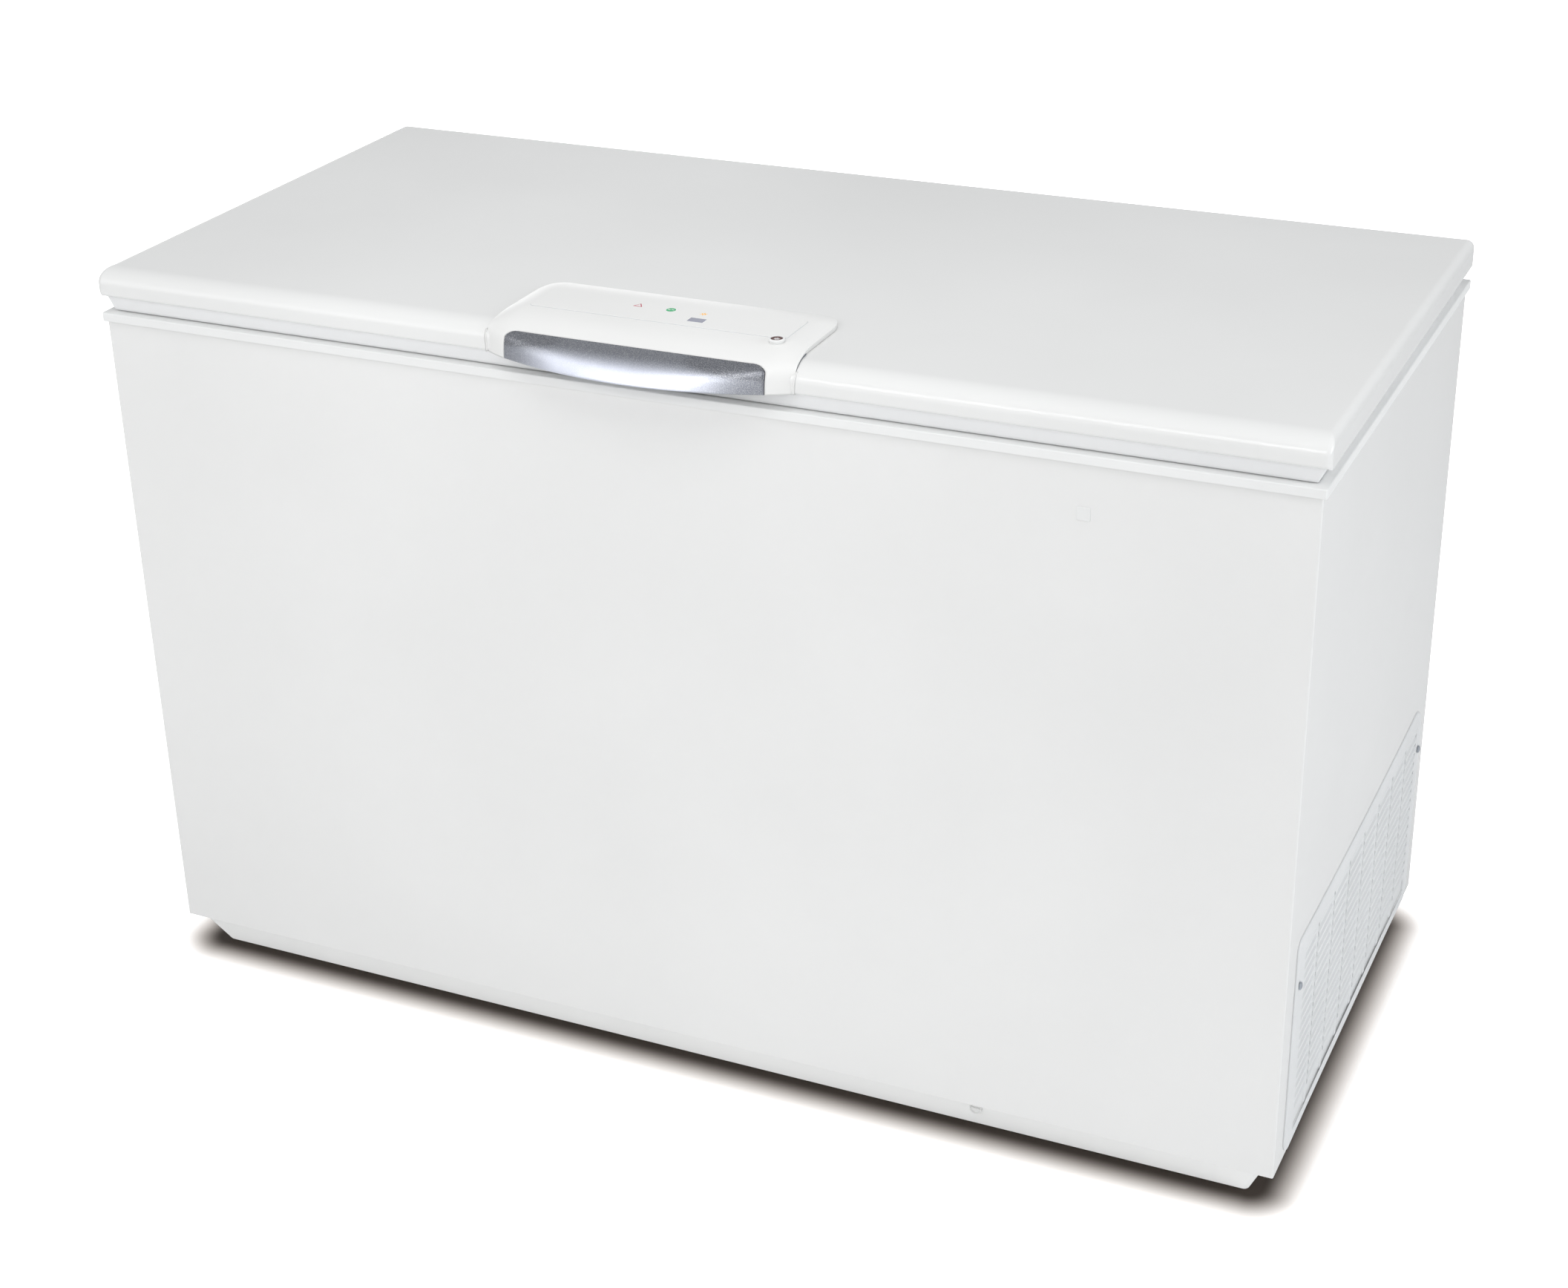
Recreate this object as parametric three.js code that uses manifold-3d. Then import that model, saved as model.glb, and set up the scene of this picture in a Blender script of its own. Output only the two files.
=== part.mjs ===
// Chest freezer of about 390 litres: a foamed steel cabinet with a compressor bay at its right
// end, a lid on two rear hinges, a control unit that is also the lid's grip, and two hanging
// baskets. Millimetres, +Z up. The front of the freezer faces -Y and its right side faces +X.

import * as THREE from "three";
import { mergeVertices } from "three/addons/utils/BufferGeometryUtils.js";
import Module from "manifold-3d";

const wasm = await Module();
wasm.setup();

// ---------------------------------------------------------------- driving dimensions

const GAP = 0.3; // between two pieces that touch
const FAR = 3000; // longer than anything here: for tools that cut right through
const LAP = 1; // reach of one solid into the next where the two are joined

// Cabinet
const CABINET_W = 1325;
const CABINET_D = 621;
const CABINET_H = 746.5;
const CABINET_BOTTOM = 45.6; // height of the cabinet's lower edge over the floor
const SHEET = 1;
const FOLD_R = 4; // front vertical folds of the wrap
const REAR_RETURN = 16;

// Plinth under the cabinet
const PLINTH_ENTRY = 4.4; // how far the plinth reaches up into the wrap
const PLINTH_SHEET = 2;
const PLINTH_LIP = 12;
const PLINTH_INSET_SIDE = 11.5;
const PLINTH_INSET_FRONT = 4.5;
const PLINTH_TAPER_SIDE = 20.5;
const PLINTH_TAPER_FRONT = 26;

// Frame round the mouth
const FRAME_H = 9.9;
const FRAME_OVERHANG = 3.8;
const FRAME_CORNER_R = 5;

// Inner tub
const END_WALL = 62.5; // wrap, foam and tub together
const LONG_WALL = 62;
const FLOOR_WALL = 58;
const STEP_WALL = 53; // between the compressor bay and the tub
const TUB_WALL = 1.2;
const TUB_CORNER_R = 26;
const TUB_DRAW = 0.6; // how much narrower the tub is under the level of its step
const LEDGE_W = 12; // shelf that the baskets slide on
const LEDGE_DEPTH = 24.1; // of the shelf under the cabinet's top
const RIM_W = 20;

// Compressor bay
const BAY_W = 229.5;
const BAY_H = 266;
const WINDOW_MARGIN = { left: 49, right: 22.5, low: 28, top: 24 };
const WINDOW_CORNER_R = 10;

// Side cover over the bay
const COVER_H = 256;
const COVER_INSET = { front: 34, rear: 31, low: 3.4 };
const COVER_CORNER_R = 14;
const COVER_T = 2;
const COVER_SEAT = 15.5; // width of the cover's rim that rests on the panel
const COVER_SPIGOT = 4; // depth of the part that enters the panel
const COVER_MARGIN = { front: 28.5, rear: 23.2, top: 21, bottom: 16 };
const COVER_COLUMNS = 8;
const COVER_RIB = 9;
const LOUVRE_PITCH = 12;
const LOUVRE_SLOT = 6.5;
const FOOT_SLOT_H = 18;
const COVER_SCREW = { front: 12.5, rear: 9.5, down: 55, headR: 4.2, headH: 2.3, r: 1.9, l: 14 };

// Square cover in the front panel
const BLANK = { fromRight: 222.5, down: 50.3, size: 14, proud: 0.6, stem: 9 };

// Drain
const DRAIN_FROM_STEP = 42;
const DRAIN_FROM_FRONT = 34.5;
const DRAIN_BORE_R = 11;
const DRAIN_TUBE_WALL = 1.8;
const DRAIN_DROP = 16; // of the outlet's axis under the plinth's top
const SPOUT_R = 7;
const SPOUT_WALL = 2;
const SPOUT_PROUD = 3;
const SPOUT_OVERLAP = 30; // of the spout inside the pipe
const PLUG_HEAD_R = 16;
const PLUG_HEAD_H = 4;
const PLUG_STEM = 16;

// Tubes of the cooling circuit
const EVAPORATOR_R = 3.5;
const EVAPORATOR_PITCH = 56;
const CONDENSER_R = 2.5;
const CONDENSER_PITCH = 60;
const CONDENSER_FROM_SIDE = 92.5;
const CHANNEL = 9; // depth of the foam's recess for a tube layer
const TUBE_MARGIN = 12; // of that recess past the tubes
const BEND_R = 24;

// Compressor
const COMPRESSOR = { fromBay: 115, fromRear: 144, r: 76, seam: 4, h: 176, dome: 46 };
const COMPRESSOR_SIDES = 24;
const MOUNT_PLATE = { x: 190, y: 172, t: 3, ear: 12 };
const GROMMET = { r: 9, waist: 6.5, h: 20, cap: 5 };
const SHELF_T = 2;
const TERMINAL_BOX = { x: 64, y: 34, z: 66, up: 34, r: 6 };
const DRIER = { r: 9, neck: 2.6, body: 92, cone: 12, stub: 14, fromWall: 26, fromFront: 289 };
const POWER_MODULE = { t: 45.7, w: 120, h: 130, fromFront: 79, up: 70, r: 5 };
const SUCTION = { r: 4, y: -20, up: 60, turnY: -60, rise: 80 };
const DISCHARGE = { r: 3, y: 24, up: 44, turnY: 60, rise: 76 };
const INLET = { fromWall: 25, up: 46, r: 9, flange: 13, flangeT: 2.5, length: 26, hole: 4.2 };

// Lid
const LID_H = 36; // from the lip of its front to its top
const LID_CLEARANCE = 10.7; // between the mouth frame and that lip
const LID_SIDE_OVERHANG = 5.5;
const LID_FRONT_OVERHANG = 4;
const LID_REAR_INSET = 1.3;
const LID_SIDE_RISE = 6; // of the ends' lower edge over the lip
const LID_NOSE_R = 22; // upper quarter of the rounded front
const LID_NOSE_LOW_R = 14; // lower quarter
const LID_EDGE_R = 8;
const LID_CORNER_R = 10;
const LID_SKIN = 1.2;
const LINING_EDGE = 14; // the lining lies this far inside the lid's outline
const LINING_BAND = 1.7; // between the mouth frame and the lining
const LINING_TAPER = 8.5;
const LINING_T = 2.5;
const PLUG_DEPTH = 11.3; // of the lining's plug below the mouth frame's top
const PLUG_CLEARANCE = 13;
const PLUG_DRAFT = 4;
const SEAL_W = 14;
const SEAL_INSET = 19;
const SEAL_BED = 4.5; // depth of the seal's channel in the lining
const SEAL_DART_W = 5;
const SEAL_DART_H = 3;
const LAMP = { w: 128, d: 54, h: 9, base: 2, y: -120, r: 9, lensInset: 5, draft: 7 };

// Control unit and grip. Distances back or out are from the lid's front, heights from its top.
const UNIT_X = -20;
const UNIT_RISE = 10.7;
const UNIT_WALL_RISE = 5.5;
const UNIT_BACK = 134.5;
const FIELD_BACK = 100.5;
const FOLD_BACK = 43.5;
const FIELD_HALF = 142.6;
const UNIT_HALF_REAR = 161;
const UNIT_HALF_FRONT = 168;
const UNIT_CORNER_R = 22;
const UNIT_WALL = 2.4;
const UNIT_REACH = 60; // depth under the lid's top of the unit's outlines, past all they shape
const GRIP_HALF = 143;
const GRIP_TOP_OUT = 6;
const GRIP_END_OUT = 12.1;
const GRIP_BOW_OUT = 36.9;
const GRIP_DROP = 28.3;
const GRIP_CORNER_R = 13;
const LEG_OUT = 1.3;
const BASE_T = 2;
const BOARD = { x0: -125, x1: 148, low: 22.5, high: 98.5, t: 1.6 };
const SIGN = { back: 79, pitch: 36.3, size: 10, proud: 0.2 };
const DISPLAY = { x0: 28.8, x1: 46.2, low: 54.9, high: 65.7, proud: 0.1 };
const BUTTON = { x: 135.6, back: 35.5, bezelR: 8.2, bezelRise: 13.1, capR: 5.8, capRise: 12.6, capH: 4 };
const BUTTON_WIRE = 0.3;
const UNIT_SCREW = { x: 132, back: 109.5, headR: 4, headH: 2.2, r: 2.2, l: 18 };

// Hinges
const HINGE_FROM_END = 232.5;
const HINGE_W = 84;
const PIVOT_BACK = 9.8; // of the pin behind the lid
const PIVOT_DROP = 1; // of the pin under the lid's lip
const KNUCKLE_R = 4.5;
const PIN_R = 2.3;
const HINGE_WIRE = 0.7;
const LEAF_T = 2.5;
const LEAF_H = 96;
const LEAF_STEP = 8;
const LEAF_KNUCKLE = 19;
const LID_LEAF_LOW = 26; // under the lid's top
const LID_LEAF_HIGH = 6;

// Baskets
const BASKET_W = 235;
const BASKET_DEEP = 200;
const BASKET_WALL = 3;
const BASKET_RIM = 6;
const BASKET_END_GAP = 10;
const BASKET_SIDE_GAP = 8;
const BASKET_RIM_GAP = 3;

// ---------------------------------------------------------------- worked-out places

const HALF_W = CABINET_W / 2;
const HALF_D = CABINET_D / 2;
const CABINET_TOP = CABINET_BOTTOM + CABINET_H;
const PLINTH_TOP = CABINET_BOTTOM + PLINTH_ENTRY;
const FRAME_BOTTOM = CABINET_TOP + GAP;
const FRAME_TOP = FRAME_BOTTOM + FRAME_H;

const REAR_FACE = HALF_D - SHEET - GAP; // outer face of the rear panel
const FOAM_HALF_W = HALF_W - SHEET - GAP;
const FOAM_FRONT = -HALF_D + SHEET + GAP;
const FOAM_REAR = REAR_FACE - SHEET - GAP;
const FOAM_BOTTOM = PLINTH_TOP + GAP + SHEET + GAP;

const BAY_X = HALF_W - BAY_W;
const BAY_TOP = PLINTH_TOP + BAY_H;
const STEP_X = BAY_X - STEP_WALL;
const STEP_TOP = BAY_TOP + STEP_WALL;
const TUB_FLOOR = PLINTH_TOP + FLOOR_WALL;
const TUB_HALF_W = HALF_W - END_WALL;
const TUB_HALF_D = HALF_D - LONG_WALL;
const LEDGE_Z = CABINET_TOP - LEDGE_DEPTH;
const MOUTH_HALF_W = TUB_HALF_W + LEDGE_W;
const MOUTH_HALF_D = TUB_HALF_D + LEDGE_W;

const COVER = {
  y0: -HALF_D + COVER_INSET.front,
  y1: HALF_D - COVER_INSET.rear,
  z0: CABINET_BOTTOM + COVER_INSET.low,
  z1: CABINET_BOTTOM + COVER_INSET.low + COVER_H,
};
const COVER_SCREW_Z = COVER.z1 - COVER_SCREW.down;
const coverScrewY = {
  front: COVER.y0 + COVER_SCREW.front,
  rear: COVER.y1 - COVER_SCREW.rear,
};
const INLET_X = BAY_X + INLET.fromWall;
const INLET_Z = PLINTH_TOP + INLET.up;
const BLANK_X = HALF_W - BLANK.fromRight;
const BLANK_Z = CABINET_TOP - BLANK.down;

const DRAIN_X = STEP_X - DRAIN_FROM_STEP;
const DRAIN_Y = -TUB_HALF_D + DRAIN_FROM_FRONT;
const DRAIN_Z = PLINTH_TOP - DRAIN_DROP;

const EVAPORATOR_LOW = STEP_TOP + 2 * TUBE_MARGIN;
const EVAPORATOR_SPAN = LEDGE_Z - TUBE_MARGIN - EVAPORATOR_LOW;
const EVAPORATOR_TURNS = Math.floor(EVAPORATOR_SPAN / EVAPORATOR_PITCH);
const CONDENSER_LOW = BAY_TOP + BEND_R;
const CONDENSER_RUNS = Math.floor((LEDGE_Z - CONDENSER_LOW) / CONDENSER_PITCH);
const CONDENSER_HIGH = CONDENSER_LOW + (CONDENSER_RUNS - 1) * CONDENSER_PITCH;
const CONDENSER_HALF = HALF_W - CONDENSER_FROM_SIDE;

const SHELF_TOP = PLINTH_TOP + GAP + SHELF_T;
const COMPRESSOR_X = BAY_X + COMPRESSOR.fromBay;
const COMPRESSOR_Y = REAR_FACE - COMPRESSOR.fromRear;
const MOUNT_LOW = SHELF_TOP + GAP + GROMMET.h;
const MOUNT_TOP = MOUNT_LOW + MOUNT_PLATE.t;
const COMPRESSOR_SEAT = MOUNT_TOP + GAP;

const LID_HALF_W = HALF_W + LID_SIDE_OVERHANG;
const LID_FRONT = -HALF_D - LID_FRONT_OVERHANG;
const LID_REAR = HALF_D - LID_REAR_INSET;
const LID_LIP_Z = FRAME_TOP + LID_CLEARANCE;
const LID_TOP = LID_LIP_Z + LID_H;
const LID_SIDE_Z = LID_LIP_Z + LID_SIDE_RISE;
const LINING_BOTTOM = FRAME_TOP + LINING_BAND;
const LINING_TOP = LID_LIP_Z + 2;
const LINING_PLUG_Z = FRAME_TOP - PLUG_DEPTH;

const UNIT_TOP = LID_TOP + UNIT_RISE;
const UNIT_RIM = LID_TOP + UNIT_WALL_RISE;
const UNIT_REAR = LID_FRONT + UNIT_BACK;
const GRIP_TOP_Y = LID_FRONT - GRIP_TOP_OUT;
const GRIP_END_Y = LID_FRONT - GRIP_END_OUT;
const GRIP_BOW_Y = LID_FRONT - GRIP_BOW_OUT;
const GRIP_BOTTOM = LID_TOP - GRIP_DROP;
const LEG_Y = LID_FRONT - LEG_OUT;
const UNIT_SEAT = LID_TOP + GAP + BASE_T; // top of the unit's base
const BOARD_TOP = UNIT_SEAT + GAP + BOARD.t;
const ON_BOARD = BOARD_TOP + GAP;
const UNIT_SCREW_Y = LID_FRONT + UNIT_SCREW.back;
const unitScrewX = [UNIT_X - UNIT_SCREW.x, UNIT_X + UNIT_SCREW.x];
const SIGN_Y = LID_FRONT + SIGN.back;
const BUTTON_X = UNIT_X + BUTTON.x;
const BUTTON_Y = LID_FRONT + BUTTON.back;

const HINGE_X = HALF_W - HINGE_FROM_END;
const PIVOT_Y = LID_REAR + PIVOT_BACK;
const PIVOT_Z = LID_LIP_Z - PIVOT_DROP;
const CENTRE_Y = (PIVOT_Y + KNUCKLE_R + GRIP_BOW_Y) / 2;

// ---------------------------------------------------------------- finishes

const finish = (color, roughness, metalness = 0) =>
  new THREE.MeshStandardMaterial({ color, roughness, metalness });

const WHITE_PAINT = finish("#eceeed", 0.34);
const WHITE_PLASTIC = finish("#f1f1ef", 0.42);
const LINING_WHITE = finish("#eef0f0", 0.5);
const STUCCO = finish("#c9cdd0", 0.36, 0.9);
const ZINC = finish("#b9bdc0", 0.4, 0.9);
const STEEL = finish("#c4c6c8", 0.3, 0.95);
const FOAM = finish("#e6d9a4", 0.95);
const COPPER = finish("#b5764c", 0.32, 0.95);
const BLACK_PAINT = finish("#17181a", 0.42);
const BLACK_PLASTIC = finish("#202225", 0.55);
const RUBBER = finish("#2a2a2b", 0.85);
const SEAL_RUBBER = finish("#dcdedd", 0.8);
const SILVER = finish("#a9adba", 0.36, 0.75);
const BOARD_GREEN = finish("#2b6b45", 0.6);
const CLEAR = finish("#e8edf0", 0.2);
const DISPLAY_GREY = finish("#9497a8", 0.25);
const LAMP_RED = finish("#8e2b4a", 0.3);
const LAMP_GREEN = finish("#12a368", 0.3);
const LAMP_YELLOW = finish("#e3b32c", 0.3);
const BUTTON_DARK = finish("#43231d", 0.35);
const BASKET_WHITE = finish("#f0f1f0", 0.45);

// ---------------------------------------------------------------- solids

// A closed three.js geometry as a solid that can be cut and joined.
function solidOf(geometry) {
  const bare = geometry.clone();
  bare.deleteAttribute("normal");
  bare.deleteAttribute("uv");
  const merged = mergeVertices(bare, 1e-4);
  const vertProperties = merged.attributes.position.array;
  const triVerts = new Uint32Array(merged.index.array);
  return new wasm.Manifold(new wasm.Mesh({ numProp: 3, vertProperties, triVerts }));
}

const join = (first, ...rest) => rest.reduce((sum, next) => sum.add(next), first);
const cut = (first, ...rest) => rest.reduce((left, tool) => left.subtract(tool), first);
const common = (first, ...rest) => rest.reduce((both, next) => both.intersect(next), first);

function box(x0, x1, y0, y1, z0, z1) {
  const geometry = new THREE.BoxGeometry(x1 - x0, y1 - y0, z1 - z0);
  geometry.translate((x0 + x1) / 2, (y0 + y1) / 2, (z0 + z1) / 2);
  return solidOf(geometry);
}

// Outline of straight runs through points.
const outline = (points) => new THREE.Shape(points.map(([u, v]) => new THREE.Vector2(u, v)));

// Rectangle from (u0, v0) to (u1, v1) with round corners.
function roundRect(u0, v0, u1, v1, r) {
  const shape = new THREE.Shape();
  shape.absarc(u1 - r, v1 - r, r, 0, Math.PI / 2);
  shape.absarc(u0 + r, v1 - r, r, Math.PI / 2, Math.PI);
  shape.absarc(u0 + r, v0 + r, r, Math.PI, Math.PI * 1.5);
  shape.absarc(u1 - r, v0 + r, r, Math.PI * 1.5, Math.PI * 2);
  return shape;
}

// A plate of the outline's shape, before it is turned into place.
function plate(shape, depth, curveSegments) {
  return new THREE.ExtrudeGeometry(shape, { depth, curveSegments, bevelEnabled: false });
}

// Prisms along the three axes. An outline for X holds (y, z), for Y (x, z) and for Z (x, y).
function prismZ(shape, z0, z1, segments = 5) {
  return solidOf(plate(shape, z1 - z0, segments).translate(0, 0, z0));
}

function prismX(shape, x0, x1, segments = 5) {
  const turn = new THREE.Matrix4().set(0, 0, 1, x0, 1, 0, 0, 0, 0, 1, 0, 0, 0, 0, 0, 1);
  return solidOf(plate(shape, x1 - x0, segments).applyMatrix4(turn));
}

function prismY(shape, y0, y1, segments = 5) {
  const turn = new THREE.Matrix4().set(1, 0, 0, 0, 0, 0, -1, y1, 0, 1, 0, 0, 0, 0, 0, 1);
  return solidOf(plate(shape, y1 - y0, segments).applyMatrix4(turn));
}

const roundBlock = (x, y, z0, z1, r, segments) =>
  prismZ(roundRect(-x, -y, x, y, r), z0, z1, segments);

// Solid of revolution about +Z through (x, y); the profile holds (radius, z) from axis to axis.
function turned(profile, x, y, segments = 20) {
  const points = profile.map(([r, z]) => new THREE.Vector2(r, z));
  const geometry = new THREE.LatheGeometry(points, segments);
  return solidOf(geometry.rotateX(Math.PI / 2).translate(x, y, 0));
}

const rod = (x, y, z0, z1, r, segments = 16) =>
  turned([[0, z0], [r, z0], [r, z1], [0, z1]], x, y, segments);

function rodX(x0, x1, y, z, r, segments = 16) {
  const geometry = new THREE.CylinderGeometry(r, r, x1 - x0, segments);
  return solidOf(geometry.rotateZ(Math.PI / 2).translate((x0 + x1) / 2, y, z));
}

function rodY(x, y0, y1, z, r, segments = 16) {
  const geometry = new THREE.CylinderGeometry(r, r, y1 - y0, segments);
  return solidOf(geometry.translate(x, (y0 + y1) / 2, z));
}

// Block whose bottom and top rectangles differ: each is [x0, x1, y0, y1].
function frustum(bottom, top, z0, z1) {
  const geometry = new THREE.BoxGeometry(1, 1, 1);
  const at = geometry.attributes.position;
  for (let i = 0; i < at.count; i += 1) {
    const [x0, x1, y0, y1] = at.getZ(i) > 0 ? top : bottom;
    const x = at.getX(i) > 0 ? x1 : x0;
    const y = at.getY(i) > 0 ? y1 : y0;
    at.setXYZ(i, x, y, at.getZ(i) > 0 ? z1 : z0);
  }
  return solidOf(geometry);
}

const grown = ([x0, x1, y0, y1], by) => [x0 - by, x1 + by, y0 - by, y1 + by];

// A closed outline moved inwards: every side shifts along its normal, and neighbours meet again.
function inset(points, by) {
  const side = points.map((p, i) => {
    const q = points[(i + 1) % points.length];
    const along = [q[0] - p[0], q[1] - p[1]];
    const length = Math.hypot(along[0], along[1]);
    const normal = [-along[1] / length, along[0] / length];
    return { at: [p[0] + normal[0] * by, p[1] + normal[1] * by], along };
  });
  return points.map((_, i) => {
    const a = side[(i + points.length - 1) % points.length];
    const b = side[i];
    const cross = a.along[0] * b.along[1] - a.along[1] * b.along[0];
    const toB = [b.at[0] - a.at[0], b.at[1] - a.at[1]];
    const t = (toB[0] * b.along[1] - toB[1] * b.along[0]) / cross;
    return [a.at[0] + a.along[0] * t, a.at[1] + a.along[1] * t];
  });
}

// Points of a quadratic curve, without its first point.
function bend(from, control, to, steps) {
  const curve = new THREE.QuadraticBezierCurve(
    new THREE.Vector2(...from),
    new THREE.Vector2(...control),
    new THREE.Vector2(...to),
  );
  return curve.getPoints(steps).slice(1).map((p) => [p.x, p.y]);
}

// Path through points that stays on them, with a ring of the tube at each one.
class RunPath extends THREE.Curve {
  constructor(points) {
    super();
    this.points = points.map((p) => new THREE.Vector3(...p));
  }

  getPoint(t) {
    const at = Math.min(t, 1) * (this.points.length - 1);
    const low = Math.min(Math.floor(at), this.points.length - 2);
    return this.points[low].clone().lerp(this.points[low + 1], at - low);
  }

  getPointAt(t) {
    return this.getPoint(t);
  }

  getTangentAt(t) {
    const at = Math.round(t * (this.points.length - 1));
    const before = this.points[Math.max(at - 1, 0)];
    const after = this.points[Math.min(at + 1, this.points.length - 1)];
    return after.clone().sub(before).normalize();
  }
}

// Rounds each inner corner of a route with a short curve.
function rounded(route, r = BEND_R, steps = 3) {
  const points = [route[0]];
  for (let i = 1; i < route.length - 1; i += 1) {
    const corner = new THREE.Vector3(...route[i]);
    const before = new THREE.Vector3(...route[i - 1]);
    const after = new THREE.Vector3(...route[i + 1]);
    const reach = Math.min(r, before.distanceTo(corner) / 2.1, after.distanceTo(corner) / 2.1);
    const start = corner.clone().add(before.sub(corner).setLength(reach));
    const end = corner.clone().add(after.sub(corner).setLength(reach));
    const curve = new THREE.QuadraticBezierCurve3(start, corner, end);
    points.push(...curve.getPoints(steps).map((p) => p.toArray()));
  }
  points.push(route[route.length - 1]);
  return points;
}

function tube(points, r, halfSides) {
  const section = new THREE.Shape();
  section.absarc(0, 0, r, 0, Math.PI * 2);
  const options = {
    steps: points.length - 1,
    curveSegments: halfSides,
    extrudePath: new RunPath(points),
  };
  return solidOf(new THREE.ExtrudeGeometry(section, options));
}

// Helical spring about an axis through centre, rising along X or Z.
function coil(centre, alongX, radius, wire, length, turns, perTurn = 9) {
  const points = [];
  const count = turns * perTurn;
  for (let i = 0; i <= count; i += 1) {
    const angle = (i / perTurn) * Math.PI * 2;
    const rise = (i / count - 0.5) * (length - 2 * wire);
    const u = radius * Math.cos(angle);
    const v = radius * Math.sin(angle);
    const offset = alongX ? [rise, u, v] : [u, v, rise];
    points.push(centre.map((c, axis) => c + offset[axis]));
  }
  return tube(points, wire, 2);
}

// ---------------------------------------------------------------- assembly

const freezer = new THREE.Group();
freezer.position.y = -CENTRE_Y;

function add(group, name, solid, material) {
  const { vertProperties, triVerts } = solid.getMesh();
  const geometry = new THREE.BufferGeometry();
  geometry.setAttribute("position", new THREE.BufferAttribute(vertProperties, 3));
  geometry.setIndex(new THREE.BufferAttribute(triVerts, 1));
  const flat = geometry.toNonIndexed();
  flat.computeVertexNormals();
  const piece = new THREE.Mesh(flat, material);
  piece.name = name;
  group.add(piece);
}

function section(parent = freezer) {
  const group = new THREE.Group();
  parent.add(group);
  return group;
}

// ---------------------------------------------------------------- plinth

const plinthTop = [
  -HALF_W + PLINTH_INSET_SIDE,
  HALF_W - PLINTH_INSET_SIDE,
  -HALF_D + PLINTH_INSET_FRONT,
  HALF_D - PLINTH_INSET_FRONT,
];
const plinthFoot = [
  plinthTop[0] + PLINTH_TAPER_SIDE,
  plinthTop[1] - PLINTH_TAPER_SIDE,
  plinthTop[2] + PLINTH_TAPER_FRONT,
  plinthTop[3] - PLINTH_TAPER_FRONT,
];

// Y of the sloping front of the plinth at height z.
const plinthFrontY = (z) => plinthFoot[2] - (PLINTH_TAPER_FRONT * z) / PLINTH_TOP;

function buildPlinth(group) {
  const skirt = frustum(plinthFoot, plinthTop, 0, PLINTH_TOP);
  const inside = frustum(
    grown(plinthFoot, -PLINTH_SHEET),
    grown(plinthTop, -PLINTH_SHEET),
    PLINTH_SHEET,
    PLINTH_TOP - PLINTH_SHEET,
  );
  const throat = frustum(
    grown(plinthFoot, -PLINTH_LIP),
    grown(plinthTop, -PLINTH_LIP),
    -1,
    PLINTH_TOP + LAP,
  );
  const spoutHole = rodY(DRAIN_X, -FAR, plinthFoot[2] + PLINTH_SHEET + LAP, DRAIN_Z, SPOUT_R + GAP);
  add(
    group,
    "plinth_frame",
    cut(skirt, inside, throat, spoutHole),
    WHITE_PAINT,
  );
}

// ---------------------------------------------------------------- cabinet shell

// Outer edge of the louvred cover as (y, z).
const coverOutline = (by) =>
  roundRect(COVER.y0 + by, COVER.z0 + by, COVER.y1 - by, COVER.z1 - by, COVER_CORNER_R);

const coverScrewHoles = () =>
  Object.values(coverScrewY).map((y) =>
    rodX(HALF_W - 20, HALF_W + 20, y, COVER_SCREW_Z, COVER_SCREW.r + GAP, 10),
  );

// Plan of the wrap: front and both sides in one folded sheet, with a return at each rear edge.
function wrapPlan() {
  const outerArc = (x, from, to, r) => {
    const arc = new THREE.Path();
    arc.absarc(x, -HALF_D + FOLD_R, r, from, to, false);
    return arc.getPoints(4).map((p) => [p.x, p.y]);
  };
  const cx = HALF_W - FOLD_R;
  const innerR = FOLD_R - SHEET;
  const left = outerArc(-cx, Math.PI, Math.PI * 1.5, FOLD_R);
  const right = outerArc(cx, Math.PI * 1.5, Math.PI * 2, FOLD_R);
  const leftIn = outerArc(-cx, Math.PI, Math.PI * 1.5, innerR).reverse();
  const rightIn = outerArc(cx, Math.PI * 1.5, Math.PI * 2, innerR).reverse();
  const rear = HALF_D;
  return outline([
    [-HALF_W + REAR_RETURN, rear],
    [-HALF_W, rear],
    ...left,
    ...right,
    [HALF_W, rear],
    [HALF_W - REAR_RETURN, rear],
    [HALF_W - REAR_RETURN, rear - SHEET],
    [HALF_W - SHEET, rear - SHEET],
    ...rightIn,
    ...leftIn,
    [-HALF_W + SHEET, rear - SHEET],
    [-HALF_W + REAR_RETURN, rear - SHEET],
  ]);
}

// Space inside the folded wrap, between its front and the rear panel.
const wrapInside = () =>
  prismZ(roundRect(-FOAM_HALF_W, FOAM_FRONT, FOAM_HALF_W, FOAM_REAR, FOLD_R - SHEET - GAP), 0, FAR, 3);

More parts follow.
